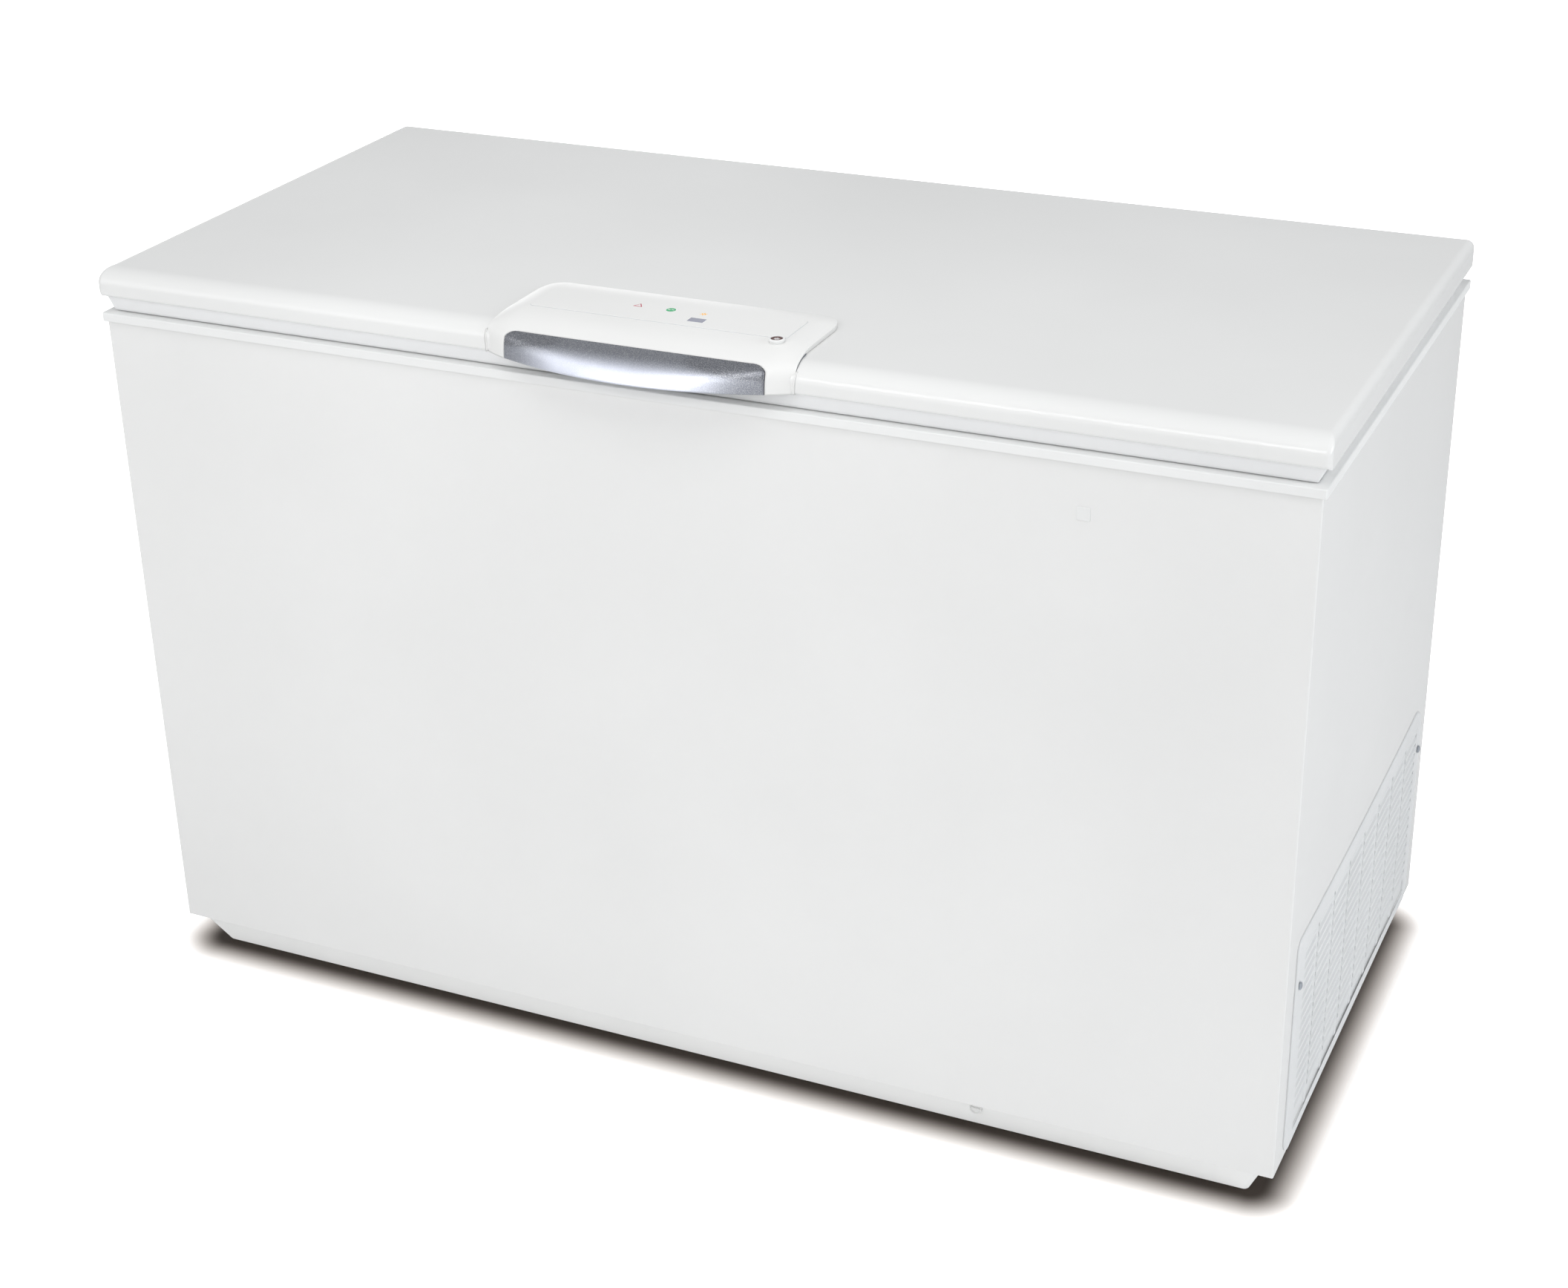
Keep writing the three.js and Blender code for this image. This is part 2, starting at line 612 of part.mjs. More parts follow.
function buildShell(group) {
  const window = prismX(coverOutline(COVER_SEAT), HALF_W - 20, HALF_W + 20);
  const screws = coverScrewHoles();
  const half = BLANK.stem / 2 + GAP;
  const blankHole = box(BLANK_X - half, BLANK_X + half, -FAR, FOAM_FRONT, BLANK_Z - half, BLANK_Z + half);
  add(
    group,
    "outer_wrap",
    cut(prismZ(wrapPlan(), CABINET_BOTTOM, CABINET_TOP), window, ...screws, blankHole),
    WHITE_PAINT,
  );

  const panel = box(
    -FOAM_HALF_W,
    FOAM_HALF_W,
    REAR_FACE - SHEET,
    REAR_FACE,
    CABINET_BOTTOM,
    CABINET_TOP,
  );
  const bayWindow = prismY(
    roundRect(
      BAY_X + WINDOW_MARGIN.left,
      PLINTH_TOP + WINDOW_MARGIN.low,
      HALF_W - WINDOW_MARGIN.right,
      BAY_TOP - WINDOW_MARGIN.top,
      WINDOW_CORNER_R,
    ),
    REAR_FACE - 20,
    REAR_FACE + 20,
    3,
  );
  const inletHole = rodY(INLET_X, REAR_FACE - 20, REAR_FACE + 20, INLET_Z, INLET.r + GAP);
  add(group, "rear_panel", cut(panel, bayWindow, inletHole), ZINC);

  const drainHole = rod(DRAIN_X, DRAIN_Y, 0, FAR, DRAIN_BORE_R + DRAIN_TUBE_WALL + GAP);
  const deck = box(
    -FOAM_HALF_W,
    BAY_X - SHEET - GAP,
    FOAM_FRONT,
    FOAM_REAR,
    PLINTH_TOP + GAP,
    PLINTH_TOP + GAP + SHEET,
  );
  add(group, "bottom_panel", cut(common(deck, wrapInside()), drainHole), ZINC);

  const reach = FOAM_HALF_W;
  const foot = PLINTH_TOP + GAP;
  const partition = outline([
    [BAY_X - SHEET, foot],
    [BAY_X, foot],
    [BAY_X, BAY_TOP],
    [reach, BAY_TOP],
    [reach, BAY_TOP + SHEET],
    [BAY_X - SHEET, BAY_TOP + SHEET],
  ]);
  const wall = common(prismY(partition, FOAM_FRONT, FOAM_REAR), wrapInside());
  add(group, "bay_partition", wall, ZINC);

  const shelf = box(BAY_X + GAP, FOAM_HALF_W, FOAM_FRONT, FOAM_REAR, foot, foot + SHELF_T);
  add(group, "compressor_shelf", common(shelf, wrapInside()), ZINC);

  const edgeX = HALF_W + FRAME_OVERHANG;
  const edgeY = HALF_D + FRAME_OVERHANG;
  const ring = cut(
    roundBlock(edgeX, edgeY, FRAME_BOTTOM, FRAME_TOP, FRAME_CORNER_R, 3),
    roundBlock(MOUTH_HALF_W, MOUTH_HALF_D, 0, FAR, TUB_CORNER_R, 5),
  );
  add(group, "mouth_frame", ring, WHITE_PLASTIC);
}

// ---------------------------------------------------------------- tub and foam

// The tub's hollow, or its outside where by is the wall's thickness.
function tubBody(by, top) {
  const x = TUB_HALF_W + by;
  const y = TUB_HALF_D + by;
  const r = TUB_CORNER_R + by;
  const upper = roundBlock(x, y, STEP_TOP - by, LEDGE_Z + LAP, r, 5);
  const drawn = roundRect(-x + TUB_DRAW, -y + TUB_DRAW, STEP_X + by, y - TUB_DRAW, r);
  const lower = prismZ(drawn, TUB_FLOOR - by, STEP_TOP + LAP, 5);
  const mouth = roundBlock(MOUTH_HALF_W + by, MOUTH_HALF_D + by, LEDGE_Z - by, top, r, 5);
  return join(upper, lower, mouth);
}

function buildTub(group) {
  const rim = roundBlock(
    MOUTH_HALF_W + RIM_W,
    MOUTH_HALF_D + RIM_W,
    CABINET_TOP - TUB_WALL,
    CABINET_TOP,
    TUB_CORNER_R + RIM_W,
    5,
  );
  const drainHole = rod(DRAIN_X, DRAIN_Y, 0, STEP_TOP, DRAIN_BORE_R);
  const tub = cut(join(tubBody(TUB_WALL, CABINET_TOP), rim), tubBody(0, FAR), drainHole);
  add(group, "inner_tub", tub, STUCCO);

  const block = box(-FOAM_HALF_W, FOAM_HALF_W, FOAM_FRONT, FOAM_REAR, FOAM_BOTTOM, CABINET_TOP);
  const rimSpace = roundBlock(
    MOUTH_HALF_W + RIM_W + GAP,
    MOUTH_HALF_D + RIM_W + GAP,
    CABINET_TOP - TUB_WALL - GAP,
    FAR,
    TUB_CORNER_R + RIM_W,
    5,
  );
  const bay = box(BAY_X - SHEET - GAP, FAR, -FAR, FAR, 0, BAY_TOP + SHEET + GAP);
  const tubeLayer = roundBlock(
    TUB_HALF_W + CHANNEL,
    TUB_HALF_D + CHANNEL,
    EVAPORATOR_LOW - TUBE_MARGIN,
    EVAPORATOR_LOW + EVAPORATOR_TURNS * EVAPORATOR_PITCH,
    TUB_CORNER_R - 6,
    5,
  );
  const frontLayer = box(
    -CONDENSER_HALF - TUBE_MARGIN,
    CONDENSER_HALF + TUBE_MARGIN,
    -FAR,
    FOAM_FRONT + CHANNEL,
    CONDENSER_LOW - TUBE_MARGIN,
    CONDENSER_HIGH + TUBE_MARGIN,
  );
  const drainWay = rod(DRAIN_X, DRAIN_Y, 0, FAR, DRAIN_BORE_R + DRAIN_TUBE_WALL + GAP);
  const foam = cut(
    common(block, wrapInside()),
    tubBody(TUB_WALL + GAP, CABINET_TOP),
    rimSpace,
    bay,
    tubeLayer,
    frontLayer,
    drainWay,
  );
  add(group, "cabinet_foam", foam, FOAM);
}

// ---------------------------------------------------------------- cooling circuit

// Tube wound round the tub as a rising rectangle.
function evaporatorRoute() {
  const away = TUB_WALL + EVAPORATOR_R + GAP;
  const x = TUB_HALF_W + away;
  const y = TUB_HALF_D + away;
  const corners = [[-x, -y], [x, -y], [x, y], [-x, y]];
  const height = (i) => EVAPORATOR_LOW + (i / 4) * EVAPORATOR_PITCH;
  const last = EVAPORATOR_TURNS * 4;
  const route = [[0, -y, height(0.5)]];
  for (let i = 1; i < last; i += 1) {
    const [cx, cy] = corners[i % 4];
    route.push([cx, cy, height(i)]);
  }
  route.push([-x, 0, height(last - 0.5)]);
  return route;
}

// Tube laid to and fro on the inner face of the front panel.
function condenserRoute() {
  const y = FOAM_FRONT + CONDENSER_R;
  const route = [];
  for (let run = 0; run < CONDENSER_RUNS; run += 1) {
    const z = CONDENSER_LOW + run * CONDENSER_PITCH;
    const from = run % 2 ? CONDENSER_HALF : -CONDENSER_HALF;
    route.push([from, y, z], [-from, y, z]);
  }
  return route;
}

function buildCircuit(group) {
  const clearCorner = TUB_CORNER_R + 2;
  add(group, "evaporator_tube", tube(rounded(evaporatorRoute(), clearCorner), EVAPORATOR_R, 3), STEEL);
  add(group, "condenser_tube", tube(rounded(condenserRoute()), CONDENSER_R, 3), COPPER);

  buildCompressor(group);
  buildBayFittings(group);
}

function buildCompressor(group) {
  const { r, seam, h, dome } = COMPRESSOR;
  const x = COMPRESSOR_X;
  const y = COMPRESSOR_Y;
  const seat = COMPRESSOR_SEAT;
  const seamZ = seat + h * 0.52;
  const shell = turned(
    [
      [0, seat],
      [r * 0.72, seat + 3],
      [r * 0.93, seat + 16],
      [r, seat + 30],
      [r, seamZ - seam],
      [r + seam, seamZ - seam],
      [r + seam, seamZ + seam],
      [r, seamZ + seam],
      [r, seat + h - dome],
      [r * 0.9, seat + h - 20],
      [r * 0.6, seat + h - 5],
      [0, seat + h],
    ],
    x,
    y,
    COMPRESSOR_SIDES,
  );
  add(group, "compressor_shell", shell, BLACK_PAINT);

  const earX = MOUNT_PLATE.x / 2 - MOUNT_PLATE.ear;
  const earY = MOUNT_PLATE.y / 2 - MOUNT_PLATE.ear;
  const ears = [[-1, -1], [1, -1], [1, 1], [-1, 1]].map(([sx, sy]) => [x + sx * earX, y + sy * earY]);
  const halfX = MOUNT_PLATE.x / 2;
  const halfY = MOUNT_PLATE.y / 2;
  const mount = cut(
    prismZ(roundRect(x - halfX, y - halfY, x + halfX, y + halfY, MOUNT_PLATE.ear), MOUNT_LOW, MOUNT_TOP, 3),
    ...ears.map(([ex, ey]) => rod(ex, ey, 0, FAR, GROMMET.waist + GAP, 12)),
  );
  add(group, "compressor_mount", mount, ZINC);

  const foot = SHELF_TOP + GAP;
  ears.forEach(([ex, ey], i) => {
    const grommet = turned(
      [
        [0, foot],
        [GROMMET.r, foot],
        [GROMMET.r, MOUNT_LOW - GAP],
        [GROMMET.waist, MOUNT_LOW - GAP],
        [GROMMET.waist, MOUNT_TOP + GAP],
        [GROMMET.r, MOUNT_TOP + GAP],
        [GROMMET.r, MOUNT_TOP + GROMMET.cap],
        [0, MOUNT_TOP + GROMMET.cap],
      ],
      ex,
      ey,
      12,
    );
    add(group, `compressor_grommet_${i + 1}`, grommet, RUBBER);
  });

  const boxFace = y - r - seam - GAP;
  const boxLow = seat + TERMINAL_BOX.up;
  const boxOutline = roundRect(
    boxFace - TERMINAL_BOX.y,
    boxLow,
    boxFace,
    boxLow + TERMINAL_BOX.z,
    TERMINAL_BOX.r,
  );
  const halfBox = TERMINAL_BOX.x / 2;
  add(group, "terminal_box", prismX(boxOutline, x - halfBox, x + halfBox, 2), BLACK_PLASTIC);

  add(group, "suction_pipe", compressorPipe(SUCTION), COPPER);
  add(group, "discharge_pipe", compressorPipe(DISCHARGE), COPPER);
}

// Pipe from the left flank of the compressor up and over to the bay's inner wall.
function compressorPipe(pipe) {
  const near = Math.abs(pipe.y) - pipe.r;
  const facet = Math.cos(Math.PI / COMPRESSOR_SIDES); // flats lie inside the round they stand for
  const flank = COMPRESSOR_X - Math.sqrt(COMPRESSOR.r ** 2 - near ** 2) - GAP;
  const start = flank + COMPRESSOR.r * (1 - facet) * 0.5;
  const turnX = (BAY_X + COMPRESSOR_X - COMPRESSOR.r) / 2;
  const low = COMPRESSOR_SEAT + pipe.up;
  const route = [
    [start, COMPRESSOR_Y + pipe.y, low],
    [turnX, COMPRESSOR_Y + pipe.y, low],
    [turnX, COMPRESSOR_Y + pipe.turnY, low + pipe.rise],
    [BAY_X + GAP, COMPRESSOR_Y + pipe.turnY, low + pipe.rise],
  ];
  return tube(rounded(route, 14), pipe.r, 4);
}

function buildBayFittings(group) {
  const drierX = BAY_X + DRIER.fromWall;
  const drierY = FOAM_FRONT + DRIER.fromFront;
  const low = SHELF_TOP + 2 * GROMMET.h + DRIER.stub;
  const { r, neck, body, cone, stub } = DRIER;
  const drier = turned(
    [
      [0, low],
      [neck, low],
      [neck, low + stub],
      [r, low + stub + cone],
      [r, low + stub + cone + body],
      [neck, low + stub + 2 * cone + body],
      [neck, low + 2 * (stub + cone) + body],
      [0, low + 2 * (stub + cone) + body],
    ],
    drierX,
    drierY,
    12,
  );
  add(group, "filter_drier", drier, COPPER);
  const clipZ = low + stub + cone + body / 2;
  const clip = cut(
    box(BAY_X + GAP, drierX + r + 4, drierY - r - 1, drierY + r + 1, clipZ - r, clipZ + r),
    rod(drierX, drierY, 0, FAR, r + GAP, 12),
    box(drierX, FAR, drierY - r * 0.7, drierY + r * 0.7, 0, FAR),
  );
  add(group, "drier_clip", clip, ZINC);

  const { t, w, h, fromFront, up } = POWER_MODULE;
  const moduleY = FOAM_FRONT + fromFront;
  const moduleZ = SHELF_TOP + up;
  const module = roundRect(moduleY, moduleZ, moduleY + w, moduleZ + h, POWER_MODULE.r);
  add(group, "power_module", prismX(module, BAY_X + GAP, BAY_X + GAP + t, 2), BLACK_PLASTIC);
}

// ---------------------------------------------------------------- mains inlet

function buildInlet(group) {
  const inner = REAR_FACE - SHEET - GAP;
  const outer = REAR_FACE + GAP;
  const bush = join(
    rodY(INLET_X, inner - INLET.length, outer + INLET.flangeT, INLET_Z, INLET.r),
    rodY(INLET_X, outer, outer + INLET.flangeT, INLET_Z, INLET.flange),
  );
  add(group, "mains_inlet", cut(bush, rodY(INLET_X, 0, FAR, INLET_Z, INLET.hole, 12)), BLACK_PLASTIC);
}

// ---------------------------------------------------------------- side cover

// Slots of the cover's face: columns of low louvres over one row of tall slots.
function coverSlots(face) {
  const y0 = COVER.y0 + COVER_MARGIN.front;
  const y1 = COVER.y1 - COVER_MARGIN.rear;
  const top = COVER.z1 - COVER_MARGIN.top;
  const low = COVER.z0 + COVER_MARGIN.bottom;
  const pitch = (y1 - y0 + COVER_RIB) / COVER_COLUMNS;
  const rows = Math.floor((top - low - FOOT_SLOT_H) / LOUVRE_PITCH);
  const slots = [];
  for (let column = 0; column < COVER_COLUMNS; column += 1) {
    const from = y0 + column * pitch;
    const to = from + pitch - COVER_RIB;
    slots.push(box(face - 20, face + 20, from, to, low, low + FOOT_SLOT_H));
    for (let row = 0; row < rows; row += 1) {
      const z = top - row * LOUVRE_PITCH;
      slots.push(box(face - 20, face + 20, from, to, z - LOUVRE_SLOT, z));
    }
  }
  return slots;
}

function buildSideCover(group) {
  const seat = HALF_W + GAP;
  const face = prismX(coverOutline(0), seat, seat + COVER_T);
  const inner = COVER_SEAT + GAP;
  const spigotOut = prismX(coverOutline(inner), HALF_W - COVER_SPIGOT, seat + 0.1);
  const spigotIn = prismX(coverOutline(inner + COVER_T), HALF_W - FAR, HALF_W + FAR);
  const body = cut(face, ...coverSlots(seat), ...coverScrewHoles());
  add(group, "side_cover", join(body, cut(spigotOut, spigotIn)), WHITE_PLASTIC);

  const { r, l, headR, headH } = COVER_SCREW;
  const profile = [[0, -l], [r, -l], [r, 0], [headR, 0], [headR * 0.84, headH * 0.8], [0, headH]];
  Object.entries(coverScrewY).forEach(([end, y]) => {
    const screw = turned(profile, 0, 0, 12).rotate([0, 90, 0]);
    const placed = screw.translate([seat + COVER_T + GAP, y, COVER_SCREW_Z]);
    add(group, `side_cover_screw_${end}`, placed, ZINC);
  });

  const front = -HALF_D - GAP;
  const half = BLANK.size / 2;
  const stem = BLANK.stem / 2;
  const blank = join(
    box(BLANK_X - half, BLANK_X + half, front - BLANK.proud, front, BLANK_Z - half, BLANK_Z + half),
    box(BLANK_X - stem, BLANK_X + stem, front - 0.1, FOAM_FRONT - GAP, BLANK_Z - stem, BLANK_Z + stem),
  );
  add(group, "front_blanking_cover", blank, WHITE_PLASTIC);
}

// ---------------------------------------------------------------- drain

function buildDrain(group) {
  const outerR = DRAIN_BORE_R + DRAIN_TUBE_WALL;
  const runR = SPOUT_R + GAP;
  const top = TUB_FLOOR - TUB_WALL - GAP;
  const endY = plinthFoot[2] + PLINTH_SHEET + GAP;
  const low = DRAIN_Z - runR - DRAIN_TUBE_WALL;
  const body = join(
    rod(DRAIN_X, DRAIN_Y, low, top, outerR),
    rodY(DRAIN_X, endY, DRAIN_Y, DRAIN_Z, runR + DRAIN_TUBE_WALL),
  );
  const bore = join(
    rod(DRAIN_X, DRAIN_Y, low + DRAIN_TUBE_WALL, top + LAP, DRAIN_BORE_R),
    rodY(DRAIN_X, endY - LAP, DRAIN_Y, DRAIN_Z, runR),
  );
  add(group, "drain_pipe", cut(body, bore), BLACK_PLASTIC);

  const front = plinthFrontY(DRAIN_Z) - SPOUT_PROUD;
  const port = box(
    DRAIN_X - SPOUT_WALL,
    DRAIN_X + SPOUT_WALL,
    front + 2 * SPOUT_PROUD,
    front + 4 * SPOUT_PROUD,
    0,
    DRAIN_Z,
  );
  const spout = cut(
    rodY(DRAIN_X, front, endY + SPOUT_OVERLAP, DRAIN_Z, SPOUT_R),
    rodY(DRAIN_X, front + SPOUT_WALL, FAR, DRAIN_Z, SPOUT_R - SPOUT_WALL),
    port,
  );
  add(group, "drain_spout", spout, WHITE_PLASTIC);

  const seat = TUB_FLOOR + GAP;
  const plug = turned(
    [
      [0, seat - PLUG_STEM],
      [DRAIN_BORE_R - 1.6, seat - PLUG_STEM],
      [DRAIN_BORE_R - GAP, seat],
      [PLUG_HEAD_R, seat],
      [PLUG_HEAD_R - 1.5, seat + PLUG_HEAD_H],
      [0, seat + PLUG_HEAD_H],
    ],
    DRAIN_X,
    DRAIN_Y,
  );
  add(group, "drain_plug", plug, RUBBER);
}

// ---------------------------------------------------------------- lid

// Outside of the lid moved inwards by a distance, or outwards if it is negative. The front is
// two quarter rounds, a large one over a small one; the bottom stays open down to low.
function lidEnvelope(by, low) {
  const top = LID_TOP - by;
  const noseZ = LID_TOP - LID_NOSE_R;
  const upper = LID_NOSE_R - by;
  const lower = LID_NOSE_LOW_R - by;
  const profile = new THREE.Shape();
  profile.moveTo(LID_REAR - by, low);
  profile.lineTo(LID_REAR - by, top);
  profile.absarc(LID_FRONT + LID_NOSE_R, noseZ, upper, Math.PI / 2, Math.PI);
  if (low < LID_LIP_Z) {
    profile.lineTo(LID_FRONT + by, low);
  } else {
    profile.absarc(LID_FRONT + LID_NOSE_LOW_R, noseZ, lower, Math.PI, Math.PI * 1.5);
  }
  const halfX = LID_HALF_W - by;
  const span = prismX(profile, -halfX, halfX, 7);
  const edge = Math.max(LID_EDGE_R - by, 0.5);
  const across = prismY(roundRect(-halfX, low - FAR, halfX, top, edge), -FAR, FAR, 3);
  const corner = Math.max(LID_CORNER_R - by, 0.5);
  const plan = prismZ(roundRect(-halfX, LID_FRONT + by, halfX, LID_REAR - by, corner), 0, FAR, 3);
  return common(span, across, plan);
}

// Rectangle of the lining at the lid's lip and at its bottom.
const liningTop = [
  -LID_HALF_W + LINING_EDGE - LINING_TAPER + LID_SKIN,
  LID_HALF_W - LINING_EDGE + LINING_TAPER - LID_SKIN,
  LID_FRONT + LID_NOSE_LOW_R + 3.5,
  LID_REAR - 9,
];
const liningLow = [
  -LID_HALF_W + LINING_EDGE,
  LID_HALF_W - LINING_EDGE,
  liningTop[2] + LINING_TAPER,
  liningTop[3] - LINING_TAPER,
];
const liningPlug = [
  -MOUTH_HALF_W + PLUG_CLEARANCE,
  MOUTH_HALF_W - PLUG_CLEARANCE,
  -MOUTH_HALF_D + PLUG_CLEARANCE,
  MOUTH_HALF_D - PLUG_CLEARANCE,
];

// Ring between two rectangles that follow the lining's edge at a distance inside it.
function sealRing(inner, width, z0, z1) {
  const [x0, x1, y0, y1] = grown(liningLow, -inner);
  const outer = prismZ(roundRect(x0, y0, x1, y1, 12), z0, z1, 3);
  const hole = prismZ(roundRect(x0 + width, y0 + width, x1 - width, y1 - width, 6), -FAR, FAR, 3);
  return cut(outer, hole);
}

function buildLid(group) {
  const skirtCut = box(-FAR, FAR, LID_FRONT + LID_NOSE_LOW_R + 2, FAR, 0, LID_SIDE_Z);
  const screwHoles = unitScrewX.map((x) =>
    rod(x, UNIT_SCREW_Y, LID_TOP - 30, FAR, UNIT_SCREW.r + GAP, 12),
  );
  const hollow = lidEnvelope(LID_SKIN, LID_LIP_Z - 20);
  const lip = box(-FAR, FAR, -FAR, LID_FRONT + LID_NOSE_LOW_R, 0, LID_LIP_Z + LID_SKIN);
  const tray = cut(lidEnvelope(0, LID_LIP_Z), cut(hollow, lip), skirtCut, ...screwHoles);
  add(group, "lid_shell", tray, WHITE_PAINT);

  const foamLow = LINING_TOP + GAP;
  const filled = lidEnvelope(LID_SKIN + GAP, LID_LIP_Z - 10);
  const sideKeep = box(-FAR, FAR, -FAR, FAR, foamLow, FAR);
  const plugFill = frustum(
    grown(liningPlug, -LINING_T - GAP - PLUG_DRAFT),
    grown(liningPlug, -LINING_T - GAP),
    LINING_PLUG_Z + LINING_T + GAP,
    foamLow + LAP,
  );
  const foam = cut(join(common(filled, sideKeep), plugFill), ...screwHoles);
  add(group, "lid_foam", foam, FOAM);

  const edge = frustum(liningLow, liningTop, LINING_BOTTOM, LINING_TOP);
  const plug = frustum(grown(liningPlug, -PLUG_DRAFT), liningPlug, LINING_PLUG_Z, LINING_BOTTOM + LAP);
  const plugHollow = frustum(
    grown(liningPlug, -LINING_T - PLUG_DRAFT),
    grown(liningPlug, -LINING_T),
    LINING_PLUG_Z + LINING_T,
    LINING_TOP + LAP,
  );
  const bedTop = LINING_BOTTOM + SEAL_BED;
  const dartInset = SEAL_INSET + (SEAL_W - SEAL_DART_W) / 2;
  const bed = sealRing(SEAL_INSET - GAP, SEAL_W + 2 * GAP, LINING_BOTTOM - LAP, bedTop);
  const slot = sealRing(
    dartInset - GAP,
    SEAL_DART_W + 2 * GAP,
    bedTop - LAP,
    bedTop + SEAL_DART_H + GAP,
  );
  add(group, "lid_lining", cut(join(edge, plug), plugHollow, bed, slot), LINING_WHITE);

  const pad = sealRing(SEAL_INSET, SEAL_W, FRAME_TOP + GAP, bedTop - GAP);
  const dart = sealRing(dartInset, SEAL_DART_W, bedTop - LAP, bedTop + SEAL_DART_H);
  add(group, "lid_seal", join(pad, dart), SEAL_RUBBER);

  const baseTop = LINING_PLUG_Z - GAP;
  const baseLow = baseTop - LAMP.base;
  const [x, y] = [LAMP.w / 2, LAMP.d / 2];
  const base = roundRect(-x, LAMP.y - y, x, LAMP.y + y, LAMP.r);
  add(group, "lamp_base", prismZ(base, baseLow, baseTop, 3), WHITE_PLASTIC);
  const lensMouth = grown([-x, x, LAMP.y - y, LAMP.y + y], -LAMP.lensInset);
  const lens = frustum(grown(lensMouth, -LAMP.draft), lensMouth, baseLow - GAP - LAMP.h, baseLow - GAP);
  add(group, "lamp_lens", lens, CLEAR);
}

// ---------------------------------------------------------------- control unit

// Section of the unit across X, anticlockwise as (y, z): low rear wall, flat field, falling
// front and the curved face of the grip.
function unitProfile() {
  const floor = LID_TOP - UNIT_REACH;
  const fieldRear = [LID_FRONT + FIELD_BACK, UNIT_TOP];
  const fold = [LID_FRONT + FOLD_BACK, UNIT_TOP];
  const gripTop = [GRIP_TOP_Y, LID_TOP];
  const gripFoot = [GRIP_BOW_Y, GRIP_BOTTOM];
  return [
    [UNIT_REAR, floor],
    [UNIT_REAR, UNIT_RIM],
    ...bend([UNIT_REAR, UNIT_RIM], [UNIT_REAR - 9, UNIT_TOP], fieldRear, 4),
    fold,
    ...bend(fold, [GRIP_TOP_Y + 20, UNIT_TOP - 3.4], gripTop, 4),
    ...bend(gripTop, [GRIP_BOW_Y + 6, LID_TOP - 9.5], gripFoot, 5),
    [GRIP_BOW_Y, floor],
  ];
}

// Plan of the unit, anticlockwise as (x, y) about its own centre.
function unitPlan() {
  const sag = GRIP_END_Y - GRIP_BOW_Y;
  const radius = (GRIP_HALF ** 2 + sag ** 2) / (2 * sag);
  const reach = Math.asin(GRIP_HALF / radius);
  const bow = [];
  const steps = 12;
  for (let i = 0; i <= steps; i += 1) {
    const angle = reach * ((2 * i) / steps - 1);
    bow.push([radius * Math.sin(angle), GRIP_BOW_Y + radius * (1 - Math.cos(angle))]);
  }
  const corner = UNIT_CORNER_R;
  const rearLine = UNIT_REAR;
  return [
    ...bow,
    [UNIT_HALF_FRONT - 1, LEG_Y],
    [UNIT_HALF_FRONT, LEG_Y + 14],
    [UNIT_HALF_REAR + 1, rearLine - corner],
    ...bend(
      [UNIT_HALF_REAR + 1, rearLine - corner],
      [UNIT_HALF_REAR, rearLine],
      [UNIT_HALF_REAR - corner, rearLine],
      4,
    ),
    [-UNIT_HALF_REAR + corner, rearLine],
    ...bend(
      [-UNIT_HALF_REAR + corner, rearLine],
      [-UNIT_HALF_REAR, rearLine],
      [-UNIT_HALF_REAR - 1, rearLine - corner],
      4,
    ),
    [-UNIT_HALF_FRONT, LEG_Y + 14],
    [-UNIT_HALF_FRONT + 1, LEG_Y],
  ];
}

// Section of the unit across Y, as (x, z): upright sides that round into the flat field.
function unitSides() {
  const floor = LID_TOP - UNIT_REACH;
  const half = UNIT_HALF_FRONT;
  const right = bend([half, UNIT_RIM], [half - 6, UNIT_TOP], [FIELD_HALF, UNIT_TOP], 4);
  const left = right.map(([x, z]) => [-x, z]).reverse();
  return [[-half, floor], [half, floor], [half, UNIT_RIM], ...right, ...left, [-half, UNIT_RIM]];
}

function unitEnvelope(by, low) {
  const profile = inset(unitProfile(), by);
  const plan = inset(unitPlan(), by);
  const sides = inset(unitSides(), by);
  return common(
    prismX(outline(profile), -FAR, FAR),
    prismZ(outline(plan), low, FAR),
    prismY(outline(sides), -FAR, FAR),
  ).translate([UNIT_X, 0, 0]);
}

// Opening for the grip in the unit's front, as (x, z).
function gripOpening(by) {
  const half = GRIP_HALF - by;
  const r = GRIP_CORNER_R;
  const top = LID_TOP - by;
  const shape = new THREE.Shape();
  shape.moveTo(UNIT_X - half, GRIP_BOTTOM - 20);
  shape.lineTo(UNIT_X + half, GRIP_BOTTOM - 20);
  shape.absarc(UNIT_X + half - r, top - r, r, 0, Math.PI / 2);
  shape.absarc(UNIT_X - half + r, top - r, r, Math.PI / 2, Math.PI);
  return prismY(shape, -FAR, GRIP_TOP_Y + 16, 4);
}

